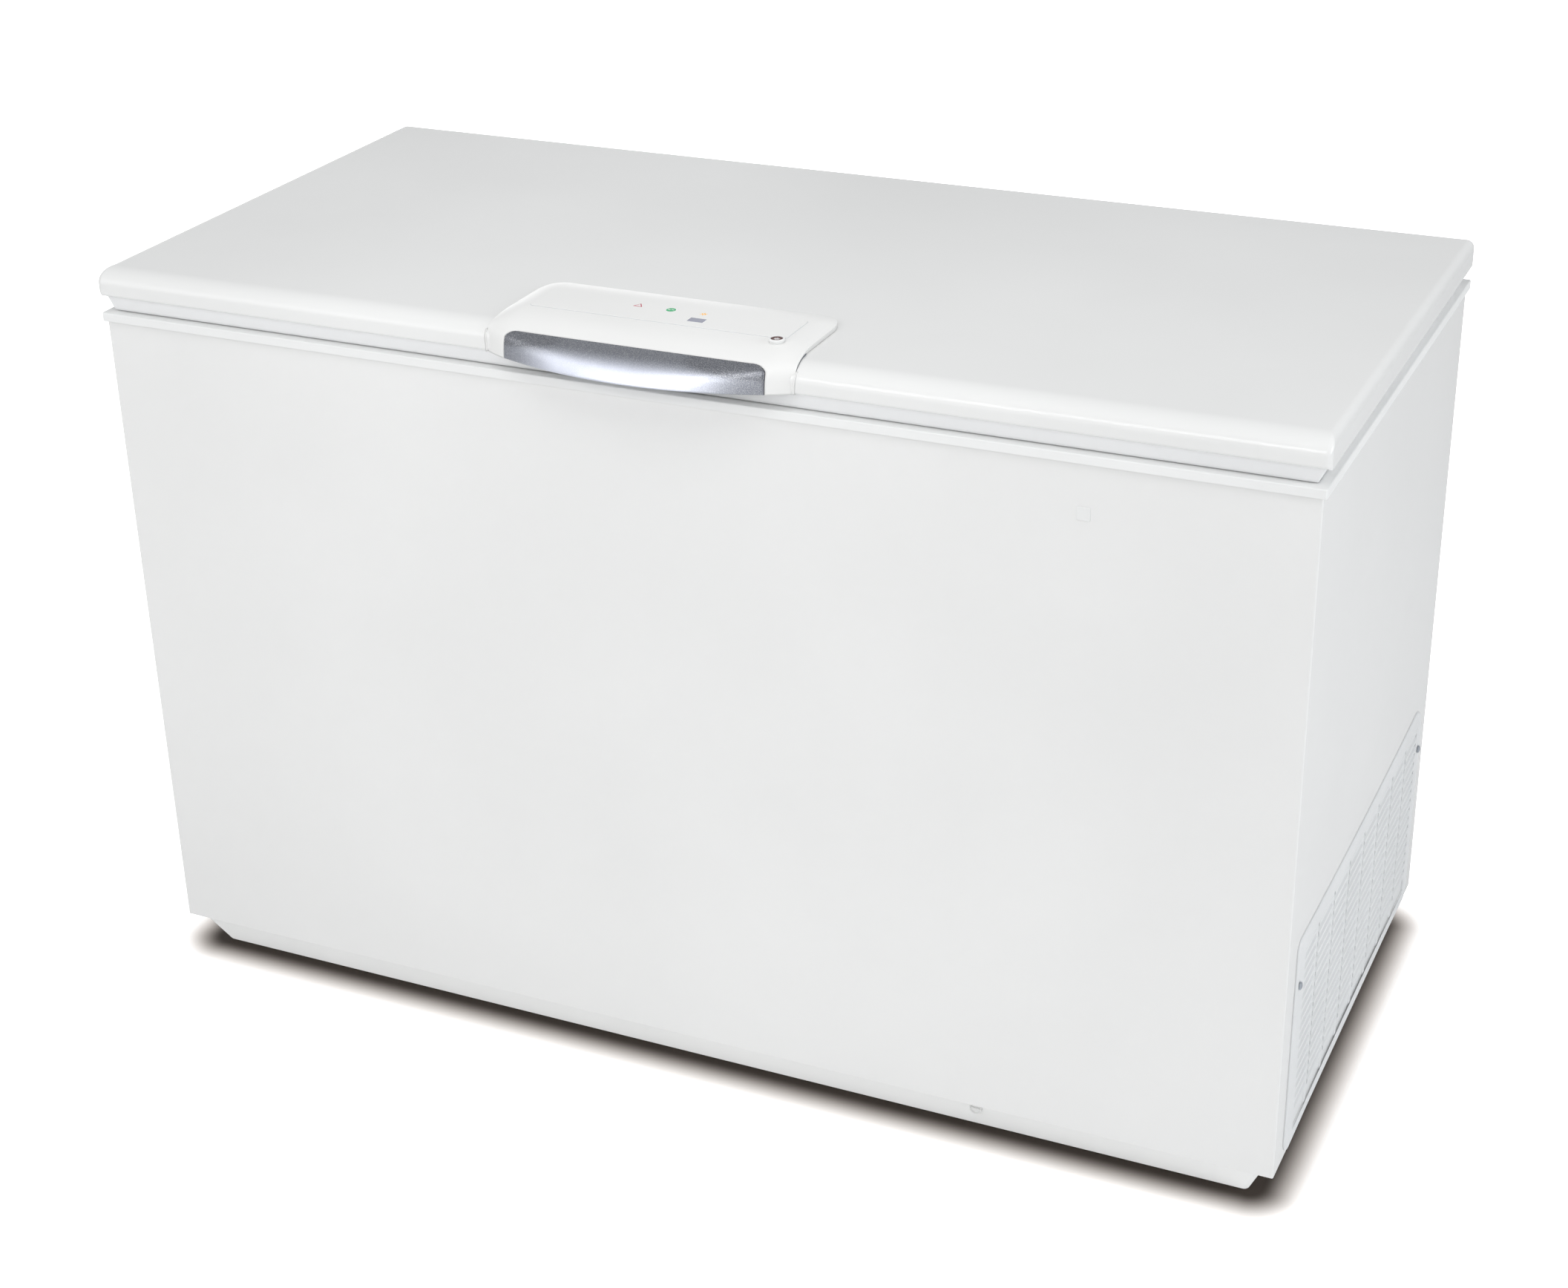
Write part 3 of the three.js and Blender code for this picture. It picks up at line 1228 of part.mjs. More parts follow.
function buildUnit(group) {
  const seatOnLid = lidEnvelope(-GAP, LID_LIP_Z);
  const hollow = unitEnvelope(UNIT_WALL, GRIP_BOTTOM - 5);
  const walls = cut(unitEnvelope(0, GRIP_BOTTOM), hollow, seatOnLid);

  const { bezelR, capR, capH } = BUTTON;
  const signs = signSolids(GAP);
  const screen = displaySolid(GAP);
  const bezelHole = rod(BUTTON_X, BUTTON_Y, ON_BOARD - 5, FAR, bezelR + GAP);
  add(
    group,
    "unit_housing",
    cut(walls, gripOpening(0), ...Object.values(signs), screen, bezelHole),
    WHITE_PLASTIC,
  );
  add(group, "grip_insert", common(walls, gripOpening(GAP)), SILVER);

  const skin = cut(lidEnvelope(-GAP - BASE_T, LID_LIP_Z - 4), lidEnvelope(-GAP, LID_LIP_Z - 5));
  const inside = unitEnvelope(UNIT_WALL + GAP, GRIP_BOTTOM);
  const holes = unitScrewX.map((sx) => rod(sx, UNIT_SCREW_Y, 0, FAR, UNIT_SCREW.r + GAP, 12));
  add(group, "unit_base", cut(common(skin, inside), ...holes), WHITE_PLASTIC);

  const seat = UNIT_SEAT + GAP;
  const { r, l, headR, headH } = UNIT_SCREW;
  const screw = [
    [0, seat - l],
    [r, seat - l],
    [r, seat],
    [headR, seat],
    [headR * 0.82, seat + headH],
    [0, seat + headH],
  ];
  ["left", "right"].forEach((end, i) => {
    add(group, `unit_screw_${end}`, turned(screw, unitScrewX[i], UNIT_SCREW_Y, 12), ZINC);
  });

  const board = box(
    UNIT_X + BOARD.x0,
    UNIT_X + BOARD.x1,
    LID_FRONT + BOARD.low,
    LID_FRONT + BOARD.high,
    UNIT_SEAT + GAP,
    BOARD_TOP,
  );
  add(group, "control_board", board, BOARD_GREEN);

  const lenses = signSolids(0);
  add(group, "alarm_lamp", lenses.alarm, LAMP_RED);
  add(group, "mains_lamp", lenses.mains, LAMP_GREEN);
  add(group, "fast_freeze_lamp", lenses.fastFreeze, LAMP_YELLOW);
  add(group, "display_module", displaySolid(0), DISPLAY_GREY);

  const bezel = cut(
    rod(BUTTON_X, BUTTON_Y, ON_BOARD, LID_TOP + BUTTON.bezelRise, bezelR),
    rod(BUTTON_X, BUTTON_Y, 0, FAR, capR + GAP),
  );
  add(group, "button_bezel", bezel, WHITE_PLASTIC);
  const capTop = LID_TOP + BUTTON.capRise;
  const capLow = capTop - capH;
  add(group, "button_cap", rod(BUTTON_X, BUTTON_Y, capLow, capTop, capR), BUTTON_DARK);
  const springL = capLow - GAP - ON_BOARD;
  const springZ = ON_BOARD + springL / 2;
  const spring = coil([BUTTON_X, BUTTON_Y, springZ], false, capR - 2, BUTTON_WIRE, springL, 3);
  add(group, "button_spring", spring, STEEL);
}

// Lamp lenses in the field: a triangle, a disc and a six-pointed star, each standing on the board.
function signSolids(by) {
  const top = by ? FAR : UNIT_TOP + SIGN.proud;
  const radius = SIGN.size / 2 + by;
  const prism = (count, wave, cx) => {
    const points = [];
    for (let i = 0; i < count; i += 1) {
      const angle = Math.PI / 2 + (i / count) * Math.PI * 2;
      const r = radius * (wave && i % 2 ? 0.62 : 1);
      points.push([cx + r * Math.cos(angle), SIGN_Y + r * Math.sin(angle)]);
    }
    return prismZ(outline(points), ON_BOARD, top);
  };
  return {
    alarm: prism(3, false, UNIT_X - SIGN.pitch),
    mains: rod(UNIT_X, SIGN_Y, ON_BOARD, top, radius),
    fastFreeze: prism(12, true, UNIT_X + SIGN.pitch),
  };
}

function displaySolid(by) {
  const top = by ? FAR : UNIT_TOP + DISPLAY.proud;
  return box(
    UNIT_X + DISPLAY.x0 - by,
    UNIT_X + DISPLAY.x1 + by,
    LID_FRONT + DISPLAY.low - by,
    LID_FRONT + DISPLAY.high + by,
    ON_BOARD,
    top,
  );
}

// ---------------------------------------------------------------- hinges

// Fixed leaf as (y, z): flat on the rear panel, then stepped out past the mouth frame.
function fixedLeafProfile() {
  const seat = REAR_FACE + GAP;
  const pass = HALF_D + FRAME_OVERHANG + GAP;
  const step = FRAME_BOTTOM - LEAF_STEP;
  const low = PIVOT_Z - LEAF_H;
  return outline([
    [seat, low],
    [seat + LEAF_T, low],
    [seat + LEAF_T, step - LEAF_STEP],
    [pass + LEAF_T, step],
    [pass + LEAF_T, PIVOT_Z],
    [pass, PIVOT_Z],
    [pass, step + 1],
    [seat, step - LEAF_STEP + 1],
  ]);
}

// Lid leaf as (y, z): flat on the lid's rear, then down to the knuckle.
function lidLeafProfile() {
  const seat = LID_REAR + GAP;
  const low = LID_TOP - LID_LEAF_LOW;
  return outline([
    [seat, low],
    [PIVOT_Y - 2, PIVOT_Z],
    [PIVOT_Y + 2, PIVOT_Z + 2],
    [seat + LEAF_T, low + 3],
    [seat + LEAF_T, LID_TOP - LID_LEAF_HIGH],
    [seat, LID_TOP - LID_LEAF_HIGH],
  ]);
}

function buildHinge(cabinetGroup, lidGroup, side, x) {
  const half = HINGE_W / 2;
  const inner = half - LEAF_KNUCKLE;
  const bore = rodX(x - FAR, x + FAR, PIVOT_Y, PIVOT_Z, PIN_R + GAP);
  const middleSpace = box(
    x - inner - GAP,
    x + inner + GAP,
    0,
    FAR,
    PIVOT_Z - KNUCKLE_R - 1.5,
    FAR,
  );
  const knuckles = [[-half, -inner - GAP], [inner + GAP, half]].map(([a, b]) =>
    rodX(x + a, x + b, PIVOT_Y, PIVOT_Z, KNUCKLE_R),
  );
  const leaf = cut(prismX(fixedLeafProfile(), x - half, x + half), middleSpace);
  add(cabinetGroup, `hinge_leaf_${side}`, cut(join(leaf, ...knuckles), bore), ZINC);

  const lidKnuckle = rodX(x - inner, x, PIVOT_Y, PIVOT_Z, KNUCKLE_R);
  const arm = prismX(lidLeafProfile(), x - inner, x);
  const pad = box(
    x - half,
    x + half,
    LID_REAR + GAP,
    LID_REAR + GAP + LEAF_T,
    LID_TOP - LID_LEAF_LOW,
    LID_TOP - LID_LEAF_HIGH,
  );
  add(lidGroup, `lid_leaf_${side}`, cut(join(lidKnuckle, arm, pad), bore), ZINC);

  add(
    cabinetGroup,
    `hinge_pin_${side}`,
    rodX(x - half, x + half, PIVOT_Y, PIVOT_Z, PIN_R),
    STEEL,
  );
  const springL = inner - 2 * GAP;
  const meanR = PIN_R + GAP + HINGE_WIRE;
  const centre = [x + GAP + springL / 2, PIVOT_Y, PIVOT_Z];
  const spring = coil(centre, true, meanR, HINGE_WIRE, springL, 6);
  add(cabinetGroup, `hinge_spring_${side}`, spring, STEEL);
}

// ---------------------------------------------------------------- baskets

// Hanging basket at rest against one end of the tub: upright walls and a rim on the two ledges.
function buildBasket(group, name, x0) {
  const x1 = x0 + BASKET_W;
  const y = TUB_HALF_D - BASKET_SIDE_GAP;
  const rimY = MOUTH_HALF_D - BASKET_RIM_GAP;
  const seat = LEDGE_Z + GAP;
  const top = seat + BASKET_RIM;
  const low = seat - BASKET_DEEP;
  const wall = BASKET_WALL;
  const outer = box(x0, x1, -y, y, low, top);
  const hollow = box(x0 + wall, x1 - wall, -y + wall, y - wall, low + wall, top + LAP);
  const rim = box(x0, x1, -rimY, rimY, seat, top);
  add(group, name, cut(join(outer, rim), hollow), BASKET_WHITE);
}

// ---------------------------------------------------------------- the whole freezer

const cabinet = section();
buildPlinth(cabinet);
buildShell(cabinet);
buildTub(cabinet);
buildCircuit(section(cabinet));
buildInlet(cabinet);
buildSideCover(section(cabinet));
buildDrain(section(cabinet));

const lid = section();
buildLid(lid);
buildUnit(section(lid));

const hinges = section(cabinet);
buildHinge(hinges, lid, "left", -HINGE_X);
buildHinge(hinges, lid, "right", HINGE_X);

const baskets = section();
buildBasket(baskets, "basket_left", -TUB_HALF_W + BASKET_END_GAP);
buildBasket(baskets, "basket_right", TUB_HALF_W - BASKET_END_GAP - BASKET_W);

export default freezer;
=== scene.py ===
"""Finished surfaces of a white chest freezer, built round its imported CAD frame.

Metres, +Z up. The front of the freezer faces -Y and its compressor bay is at the +X end.
"""

import logging
import math
from dataclasses import dataclass, field
from enum import Enum
from typing import Any, Mapping, Sequence, Union

import bmesh
import bpy
import numpy as np
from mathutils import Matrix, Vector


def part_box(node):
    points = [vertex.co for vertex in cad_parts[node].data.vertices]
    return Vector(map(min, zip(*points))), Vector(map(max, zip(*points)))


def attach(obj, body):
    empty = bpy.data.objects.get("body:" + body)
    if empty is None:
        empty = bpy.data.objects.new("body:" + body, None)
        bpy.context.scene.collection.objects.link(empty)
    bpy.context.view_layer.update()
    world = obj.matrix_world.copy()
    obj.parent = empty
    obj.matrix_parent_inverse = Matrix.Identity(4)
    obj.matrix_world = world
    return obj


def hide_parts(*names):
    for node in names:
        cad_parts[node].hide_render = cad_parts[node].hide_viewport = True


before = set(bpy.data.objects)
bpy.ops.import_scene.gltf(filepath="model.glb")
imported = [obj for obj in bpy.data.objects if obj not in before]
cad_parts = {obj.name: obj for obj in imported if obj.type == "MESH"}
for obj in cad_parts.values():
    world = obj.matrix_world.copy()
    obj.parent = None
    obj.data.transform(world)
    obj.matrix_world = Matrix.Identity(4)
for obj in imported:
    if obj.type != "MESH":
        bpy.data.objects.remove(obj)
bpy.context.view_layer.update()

log = logging.getLogger("freezer")

Array = np.ndarray
Colour = tuple[float, float, float]
Point = tuple[float, float, float]

CLEARANCE = 0.0003  # gap between two pieces that touch


class Axis(Enum):
    """Direction in which a plan is carried; its members give the places of the plan's two axes."""

    X = (1, 2, 0)
    Y = (0, 2, 1)
    Z = (0, 1, 2)


class Body(Enum):
    """Bodies of the CAD frame."""

    CABINET = "cabinet"
    LID = "lid"
    BUTTON = "fast_freeze_button"
    LEFT_BASKET = "left_basket"
    RIGHT_BASKET = "right_basket"
    PLUG = "floor_plug"
    KNOB = "drain_knob"


# ---------------------------------------------------------------- surfaces


@dataclass
class Shell:
    """Points and faces of a surface, all as arrays.

    Attributes:
        points: (n, 3) places.
        faces: blocks of faces, each (m, k) for m faces of k corners.
        finish: for each block, the number of the finish that it takes.
    """

    points: Array
    faces: list[Array]
    finish: list[int] = field(default_factory=list)

    def __post_init__(self) -> None:
        """Gives each block of faces the first finish where none is named."""
        self.points = np.asarray(self.points, float).reshape(-1, 3)
        self.finish = self.finish or [0] * len(self.faces)

    def __add__(self, other: "Shell") -> "Shell":
        """Both surfaces in one: the second one's corners are counted on from the first's.

        Args:
            other: the second surface.

        Returns:
            One surface with the faces of both.
        """
        shifted = [block + len(self.points) for block in other.faces]
        points = np.concatenate([self.points, other.points])
        return Shell(points, self.faces + shifted, self.finish + other.finish)

    def fans(self) -> tuple[Array, Array]:
        """Splits the faces into fans of triangles.

        Returns:
            Area vectors (half the cross product of two sides) and centres of the triangles.
        """
        corners = []
        for block in self.faces:
            for i in range(1, block.shape[1] - 1):
                corners.append(self.points[block[:, [0, i, i + 1]]])
        p, q, r = np.moveaxis(np.concatenate(corners), 1, 0)
        return np.cross(q - p, r - p) / 2, (p + q + r) / 3

    def flipped(self) -> "Shell":
        """The same surface with its faces the other way round."""
        return Shell(self.points, [block[:, ::-1] for block in self.faces], self.finish)

    def outward(self) -> "Shell":
        """Closed surface with its faces out: its volume, sum of centre . area / 3, is positive.

        Returns:
            This surface, or this one flipped.
        """
        areas, centres = self.fans()
        centres = centres - self.points.mean(0)
        return self if (areas * centres).sum() > 0 else self.flipped()

    def away_from(self, point: Point) -> "Shell":
        """Open surface, its faces turned from a point by the sum of area . (centre - point)."""
        areas, centres = self.fans()
        return self if (areas * (centres - np.array(point))).sum() > 0 else self.flipped()

    def moved(self, offset: Sequence[float]) -> "Shell":
        """The surface carried by an offset."""
        return Shell(self.points + np.array(offset), self.faces, self.finish)

    def copies(self, offsets: Array) -> "Shell":
        """One copy of the surface at each offset of an (n, 3) array, all in one surface.

        Args:
            offsets: where the copies go.

        Returns:
            One surface.
        """
        offsets = np.asarray(offsets, float).reshape(-1, 3)
        count = len(self.points)
        step = np.arange(len(offsets))[:, None, None] * count
        faces = [(block[None] + step).reshape(-1, block.shape[1]) for block in self.faces]
        return Shell(offsets[:, None] + self.points[None], faces, self.finish)

    def turned(self, degrees: float, centre: Point, axis: Axis) -> "Shell":
        """Turned about an axis through a point: (a, b) goes to (a cos - b sin, a sin + b cos).

        Args:
            degrees: turn from the plan's first axis to its second.
            centre: place that stays.
            axis: the axis.

        Returns:
            The turned surface.
        """
        a, b, _ = axis.value
        c, s = math.cos(math.radians(degrees)), math.sin(math.radians(degrees))
        points = self.points - np.array(centre)
        out = points.copy()
        out[:, a] = c * points[:, a] - s * points[:, b]
        out[:, b] = s * points[:, a] + c * points[:, b]
        return Shell(out + np.array(centre), self.faces, self.finish)

    def wearing(self, number: int) -> "Shell":
        """The surface with one numbered finish all over."""
        return Shell(self.points, self.faces, [number] * len(self.faces))


def joined(shells: Sequence[Shell]) -> Shell:
    """Several surfaces as one, in order.

    Args:
        shells: the surfaces.

    Returns:
        One surface, with their faces and finish numbers in order.
    """
    whole = shells[0]
    for shell in shells[1:]:
        whole = whole + shell
    return whole


def grid(points: Array, around: bool = False, along: bool = False, caps: bool = False) -> Shell:
    """Surface of a (rows, columns, 3) grid: one four-sided face between each four neighbours.

    Args:
        points: places of the grid.
        around: the last column is joined to the first.
        along: the last row is joined to the first.
        caps: the first and last rows are each closed by one face.

    Returns:
        The surface.
    """
    rows, columns = points.shape[:2]
    index = np.arange(rows * columns).reshape(rows, columns)
    wrapped = np.concatenate([index, index[:, :1]], 1) if around else index
    wrapped = np.concatenate([wrapped, wrapped[:1]], 0) if along else wrapped
    corners = [wrapped[:-1, :-1], wrapped[:-1, 1:], wrapped[1:, 1:], wrapped[1:, :-1]]
    faces = [np.stack(corners, -1).reshape(-1, 4)]
    if caps:
        faces += [index[0][None, ::-1], index[-1][None]]
    return Shell(points, faces)


def on_axis(plan: Array, height: Array, axis: Axis) -> Array:
    """Puts plan points (..., 2) and their heights into space, in the places that the axis names.

    Args:
        plan: places in the plan.
        height: distance of each along the axis.
        axis: the axis.

    Returns:
        (..., 3) places.
    """
    a, b, c = axis.value
    out = np.empty(plan.shape[:-1] + (3,))
    out[..., a] = plan[..., 0]
    out[..., b] = plan[..., 1]
    out[..., c] = np.broadcast_to(height, plan.shape[:-1])
    return out


def ring(x0: Any, x1: Any, y0: Any, y1: Any, r: Any, steps: int = 6) -> Array:
    """Rounded rectangle: four quarter arcs of radius r whose centres lie r inside the corners.

    Args:
        x0, x1, y0, y1: its sides; arrays give one rectangle for each of their values.
        r: corner radius, a number or an array over the rectangles.
        steps: spans of each quarter arc.

    Returns:
        (..., 4 * (steps + 1), 2) places, anticlockwise from the corner (x1, y0).
    """
    x0, x1, y0, y1, r = (
        np.asarray(v, float)[..., None] for v in np.broadcast_arrays(x0, x1, y0, y1, r)
    )
    turn = corner_turns(steps)
    right = np.repeat([True, True, False, False], steps + 1)
    rear = np.repeat([False, True, True, False], steps + 1)
    x = np.where(right, x1 - r, x0 + r) + r * np.cos(turn)
    y = np.where(rear, y1 - r, y0 + r) + r * np.sin(turn)
    return np.stack([x, y], -1)


def arc(centre: tuple[float, float], radii: Any, start: float, end: float, steps: int) -> Array:
    """Points centre + radii * (cos, sin) at even angles from start to end, in degrees."""
    turn = np.radians(np.linspace(start, end, steps + 1))
    return np.array(centre) + np.array(radii) * np.stack([np.cos(turn), np.sin(turn)], -1)


def middle(low: Any, high: Any) -> Point:
    """Middle of a box."""
    return (low.x + high.x) / 2, (low.y + high.y) / 2, (low.z + high.z) / 2


def upright(low: Any, high: Any) -> Point:
    """Foot of the upright axis through the middle of a box, at height 0."""
    x, y, _ = middle(low, high)
    return x, y, 0


def quadratic(t: Array, start: Array, control: Array, end: Array) -> Array:
    """Quadratic curve (1-t)^2 start + 2t(1-t) control + t^2 end."""
    return (1 - t) ** 2 * start + 2 * t * (1 - t) * control + t**2 * end


def corner_turns(steps: int) -> Array:
    """Directions of the points of a rounded rectangle, anticlockwise from -90 degrees."""
    quarter = np.linspace(0, math.pi / 2, steps + 1)
    return np.concatenate([quarter + (i - 1) * math.pi / 2 for i in range(4)])


def circle(sides: int) -> Array:
    """(sides, 2) places (cos, sin) round a circle of radius 1."""
    turn = np.linspace(0, 2 * math.pi, sides, endpoint=False)
    return np.stack([np.cos(turn), np.sin(turn)], -1)


def smooth(t: Array) -> Array:
    """Share t, held to 0..1, eased at both ends by 3t^2 - 2t^3."""
    t = np.clip(t, 0, 1)
    return t * t * (3 - 2 * t)


def hoop(
    rect: Sequence[float], r: float, section: Array, steps: int = 6, closed: bool = True,
) -> Shell:
    """Carries a section round a rounded rectangle.

    Args:
        rect: x0, x1, y0, y1 of the rectangle.
        r: its corner radius.
        section: (n, 2) points of the section as (distance inside the rectangle, height).
        steps: spans of each corner.
        closed: the section's last point is joined to its first.

    Returns:
        The surface; each section point makes one rounded rectangle, drawn in by its distance.
    """
    d, z = np.asarray(section, float).T
    x0, x1, y0, y1 = rect
    plan = ring(x0 + d, x1 - d, y0 + d, y1 - d, np.maximum(r - d, 0.0008), steps)
    shell = grid(on_axis(plan, z[:, None], Axis.Z), around=True, along=closed, caps=not closed)
    return shell.outward()


def slab(
    low: Sequence[float],
    high: Sequence[float],
    axis: Axis = Axis.Z,
    corner: float = 0.001,
    edge: float = 0.0004,
    steps: int = 5,
) -> Shell:
    """Block between two opposite corners, rounded in plan and along the edges of both ends.

    The plan is a rounded rectangle across the axis. Towards each end it is drawn in by
    edge * (1 - cos t) while it rises by edge * sin t, with t from 90 degrees to 0.

    Args:
        low: lowest corner.
        high: highest corner.
        axis: direction that the plan is carried in.
        corner: radius of the plan's corners.
        edge: radius of the end's edges.
        steps: spans of each quarter arc.

    Returns:
        Closed surface.
    """
    a, b, c = axis.value
    turn = np.linspace(math.pi / 2, 0, steps)
    inset = edge * (1 - np.cos(turn))
    lift = edge * (1 - np.sin(turn))
    d = np.concatenate([inset, inset[::-1]])
    h = np.concatenate([low[c] + lift, (high[c] - lift)[::-1]])
    r = np.maximum(corner - d, edge * 0.5)
    plan = ring(low[a] + d, high[a] - d, low[b] + d, high[b] - d, r, steps)
    return grid(on_axis(plan, h[:, None], axis), around=True, caps=True).outward()


def prism(plan: Array, low: float, high: float, axis: Axis, edge: float = 0.0002) -> Shell:
    """Closed block of any plan, both end edges broken by drawing the plan towards its middle.

    Args:
        plan: (n, 2) outline.
        low: height of one end.
        high: height of the other.
        axis: direction that the plan is carried in.
        edge: how far both ends are drawn in, and over what height.

    Returns:
        Closed surface.
    """
    core = (plan.min(0) + plan.max(0)) / 2
    reach = np.abs(plan - core).max()
    drawn = core + (plan - core) * (1 - edge / reach)
    plans = np.stack([drawn, plan, plan, drawn])
    heights = np.array([low, low + edge, high - edge, high])[:, None]
    return grid(on_axis(plans, heights, axis), around=True, caps=True).outward()


def revolved(profile: Sequence, centre: Point, axis: Axis = Axis.Z, sides: int = 48) -> Shell:
    """Turns a profile of (radius, height) about an axis: places centre + (r cos, r sin, h).

    Args:
        profile: (radius, height) pairs.
        centre: place from which heights are counted.
        axis: the axis.
        sides: faces round it.

    Returns:
        The surface.
    """
    r, h = np.asarray(profile, float).T
    plan = r[:, None, None] * circle(sides)
    points = on_axis(plan, h[:, None], axis) + np.array(centre)
    return grid(points, around=True, along=r[0] > 1e-6 and r[-1] > 1e-6).outward()


def tube(
    path: Array, radius: Any, sides: int = 10, closed: bool = False, up: Point = (0, 0, 1),
) -> Shell:
    """Round rod along a path: a circle across it at each point, held level by one fixed direction.

    Each circle's axes are side = tangent x up and rise = side x tangent, both of unit length.

    Args:
        path: (n, 3) points.
        radius: a number or one for each point.
        sides: points of each circle.
        closed: the path's last point runs into its first.
        up: a direction that the path never takes.

    Returns:
        Closed surface.
    """
    path = np.asarray(path, float)
    if closed:
        tangent = np.roll(path, -1, 0) - np.roll(path, 1, 0)
    else:
        tangent = np.gradient(path, axis=0)
    tangent /= np.linalg.norm(tangent, axis=1, keepdims=True)
    side = np.cross(tangent, np.array(up, float))
    side /= np.linalg.norm(side, axis=1, keepdims=True)
    rise = np.cross(side, tangent)
    turn = np.linspace(0, 2 * math.pi, sides, endpoint=False)[None, :, None]
    radius = np.broadcast_to(np.asarray(radius, float), len(path))[:, None, None]
    points = path[:, None] + radius * (np.cos(turn) * side[:, None] + np.sin(turn) * rise[:, None])
    return grid(points, around=True, along=closed, caps=not closed).outward()


def bent(corners: Sequence[Point], radius: float, steps: int = 6) -> Array:
    """Path through corners, each rounded by a quadratic curve from radius before it to after.

    Args:
        corners: the path's ends and the corners between them.
        radius: distance from a corner at which its curve starts and ends.
        steps: spans of a curve.

    Returns:
        (n, 3) places along the path.
    """
    points = np.asarray(corners, float)
    before, after = points[:-2] - points[1:-1], points[2:] - points[1:-1]
    before /= np.linalg.norm(before, axis=1, keepdims=True)
    after /= np.linalg.norm(after, axis=1, keepdims=True)
    tips = points[1:-1]
    t = np.linspace(0, 1, steps + 1)[None, :, None]
    start = (tips + radius * before)[:, None]
    end = (tips + radius * after)[:, None]
    rounds = quadratic(t, start, tips[:, None], end)
    return np.concatenate([points[:1], rounds.reshape(-1, 3), points[-1:]])


# ---------------------------------------------------------------- pieces


@dataclass(frozen=True)
class Piece:
    """How a finished piece joins the frame.

    Attributes:
        name: its object's name.
        body: body that it rides on.
        slot: material slot of the record that it takes its finish from.
        replaces: CAD nodes that it stands for.
        crease: edges that turn by more degrees than this stay sharp.
        wall: thickness given to an open surface, on the side that its faces turn away from.
    """

    name: str
    # slot: material slot of the record; not used.
    body: Body
    slot: str
    replaces: tuple[str, ...] = ()
    crease: float = 38.0
    wall: float = 0.0

    def build(self, shell: Shell, *finishes: bpy.types.Material) -> bpy.types.Object:
        """Makes the mesh, dresses it and joins it to its body.

        Args:
            shell: its surface.
            finishes: materials, in the order that the surface's finishes are numbered.

        Returns:
            The new object.
        """
        mesh = bpy.data.meshes.new(self.name)
        loops = np.concatenate([block.ravel() for block in shell.faces])
        sizes = np.concatenate([np.full(len(b), b.shape[1]) for b in shell.faces])
        dress = np.concatenate([np.full(len(b), f) for b, f in zip(shell.faces, shell.finish)])
        mesh.vertices.add(len(shell.points))
        mesh.vertices.foreach_set("co", shell.points.astype(np.float32).ravel())
        mesh.loops.add(len(loops))
        mesh.loops.foreach_set("vertex_index", loops.astype(np.int32))
        mesh.polygons.add(len(sizes))
        mesh.polygons.foreach_set("loop_start", (np.cumsum(sizes) - sizes).astype(np.int32))
        mesh.polygons.foreach_set("material_index", dress.astype(np.int32))
        mesh.update(calc_edges=True)
        mesh.validate()
        work = bmesh.new()
        work.from_mesh(mesh)
        bmesh.ops.remove_doubles(work, verts=work.verts, dist=2e-6)
        bmesh.ops.dissolve_degenerate(work, edges=work.edges, dist=1e-6)
        work.to_mesh(mesh)
        work.free()
        mesh.shade_smooth()
        mesh.set_sharp_from_angle(angle=math.radians(self.crease))
        for finish in finishes:
            mesh.materials.append(finish)
        piece = bpy.data.objects.new(self.name, mesh)
        bpy.context.scene.collection.objects.link(piece)
        if self.wall:
            thick = piece.modifiers.new("wall", "SOLIDIFY")
            thick.thickness = self.wall
            thick.offset = -1
            thick.use_even_offset = True
        level = piece.modifiers.new("level", "WEIGHTED_NORMAL")
        level.mode = "FACE_AREA"
        level.weight = 80
        level.keep_sharp = True
        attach(piece, self.body.value)
        if self.replaces:
            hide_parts(*self.replaces)
        log.info("%s: %d faces", self.name, len(mesh.polygons))
        return piece


def keep(finish: bpy.types.Material, *nodes: str) -> None:
    """Dresses CAD nodes that stay as they are.

    Args:
        finish: their material.
        nodes: their names.
    """
    for name in nodes:
        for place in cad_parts[name].material_slots:
            place.material = finish
        log.info("%s: kept", name)


# ---------------------------------------------------------------- shader maths


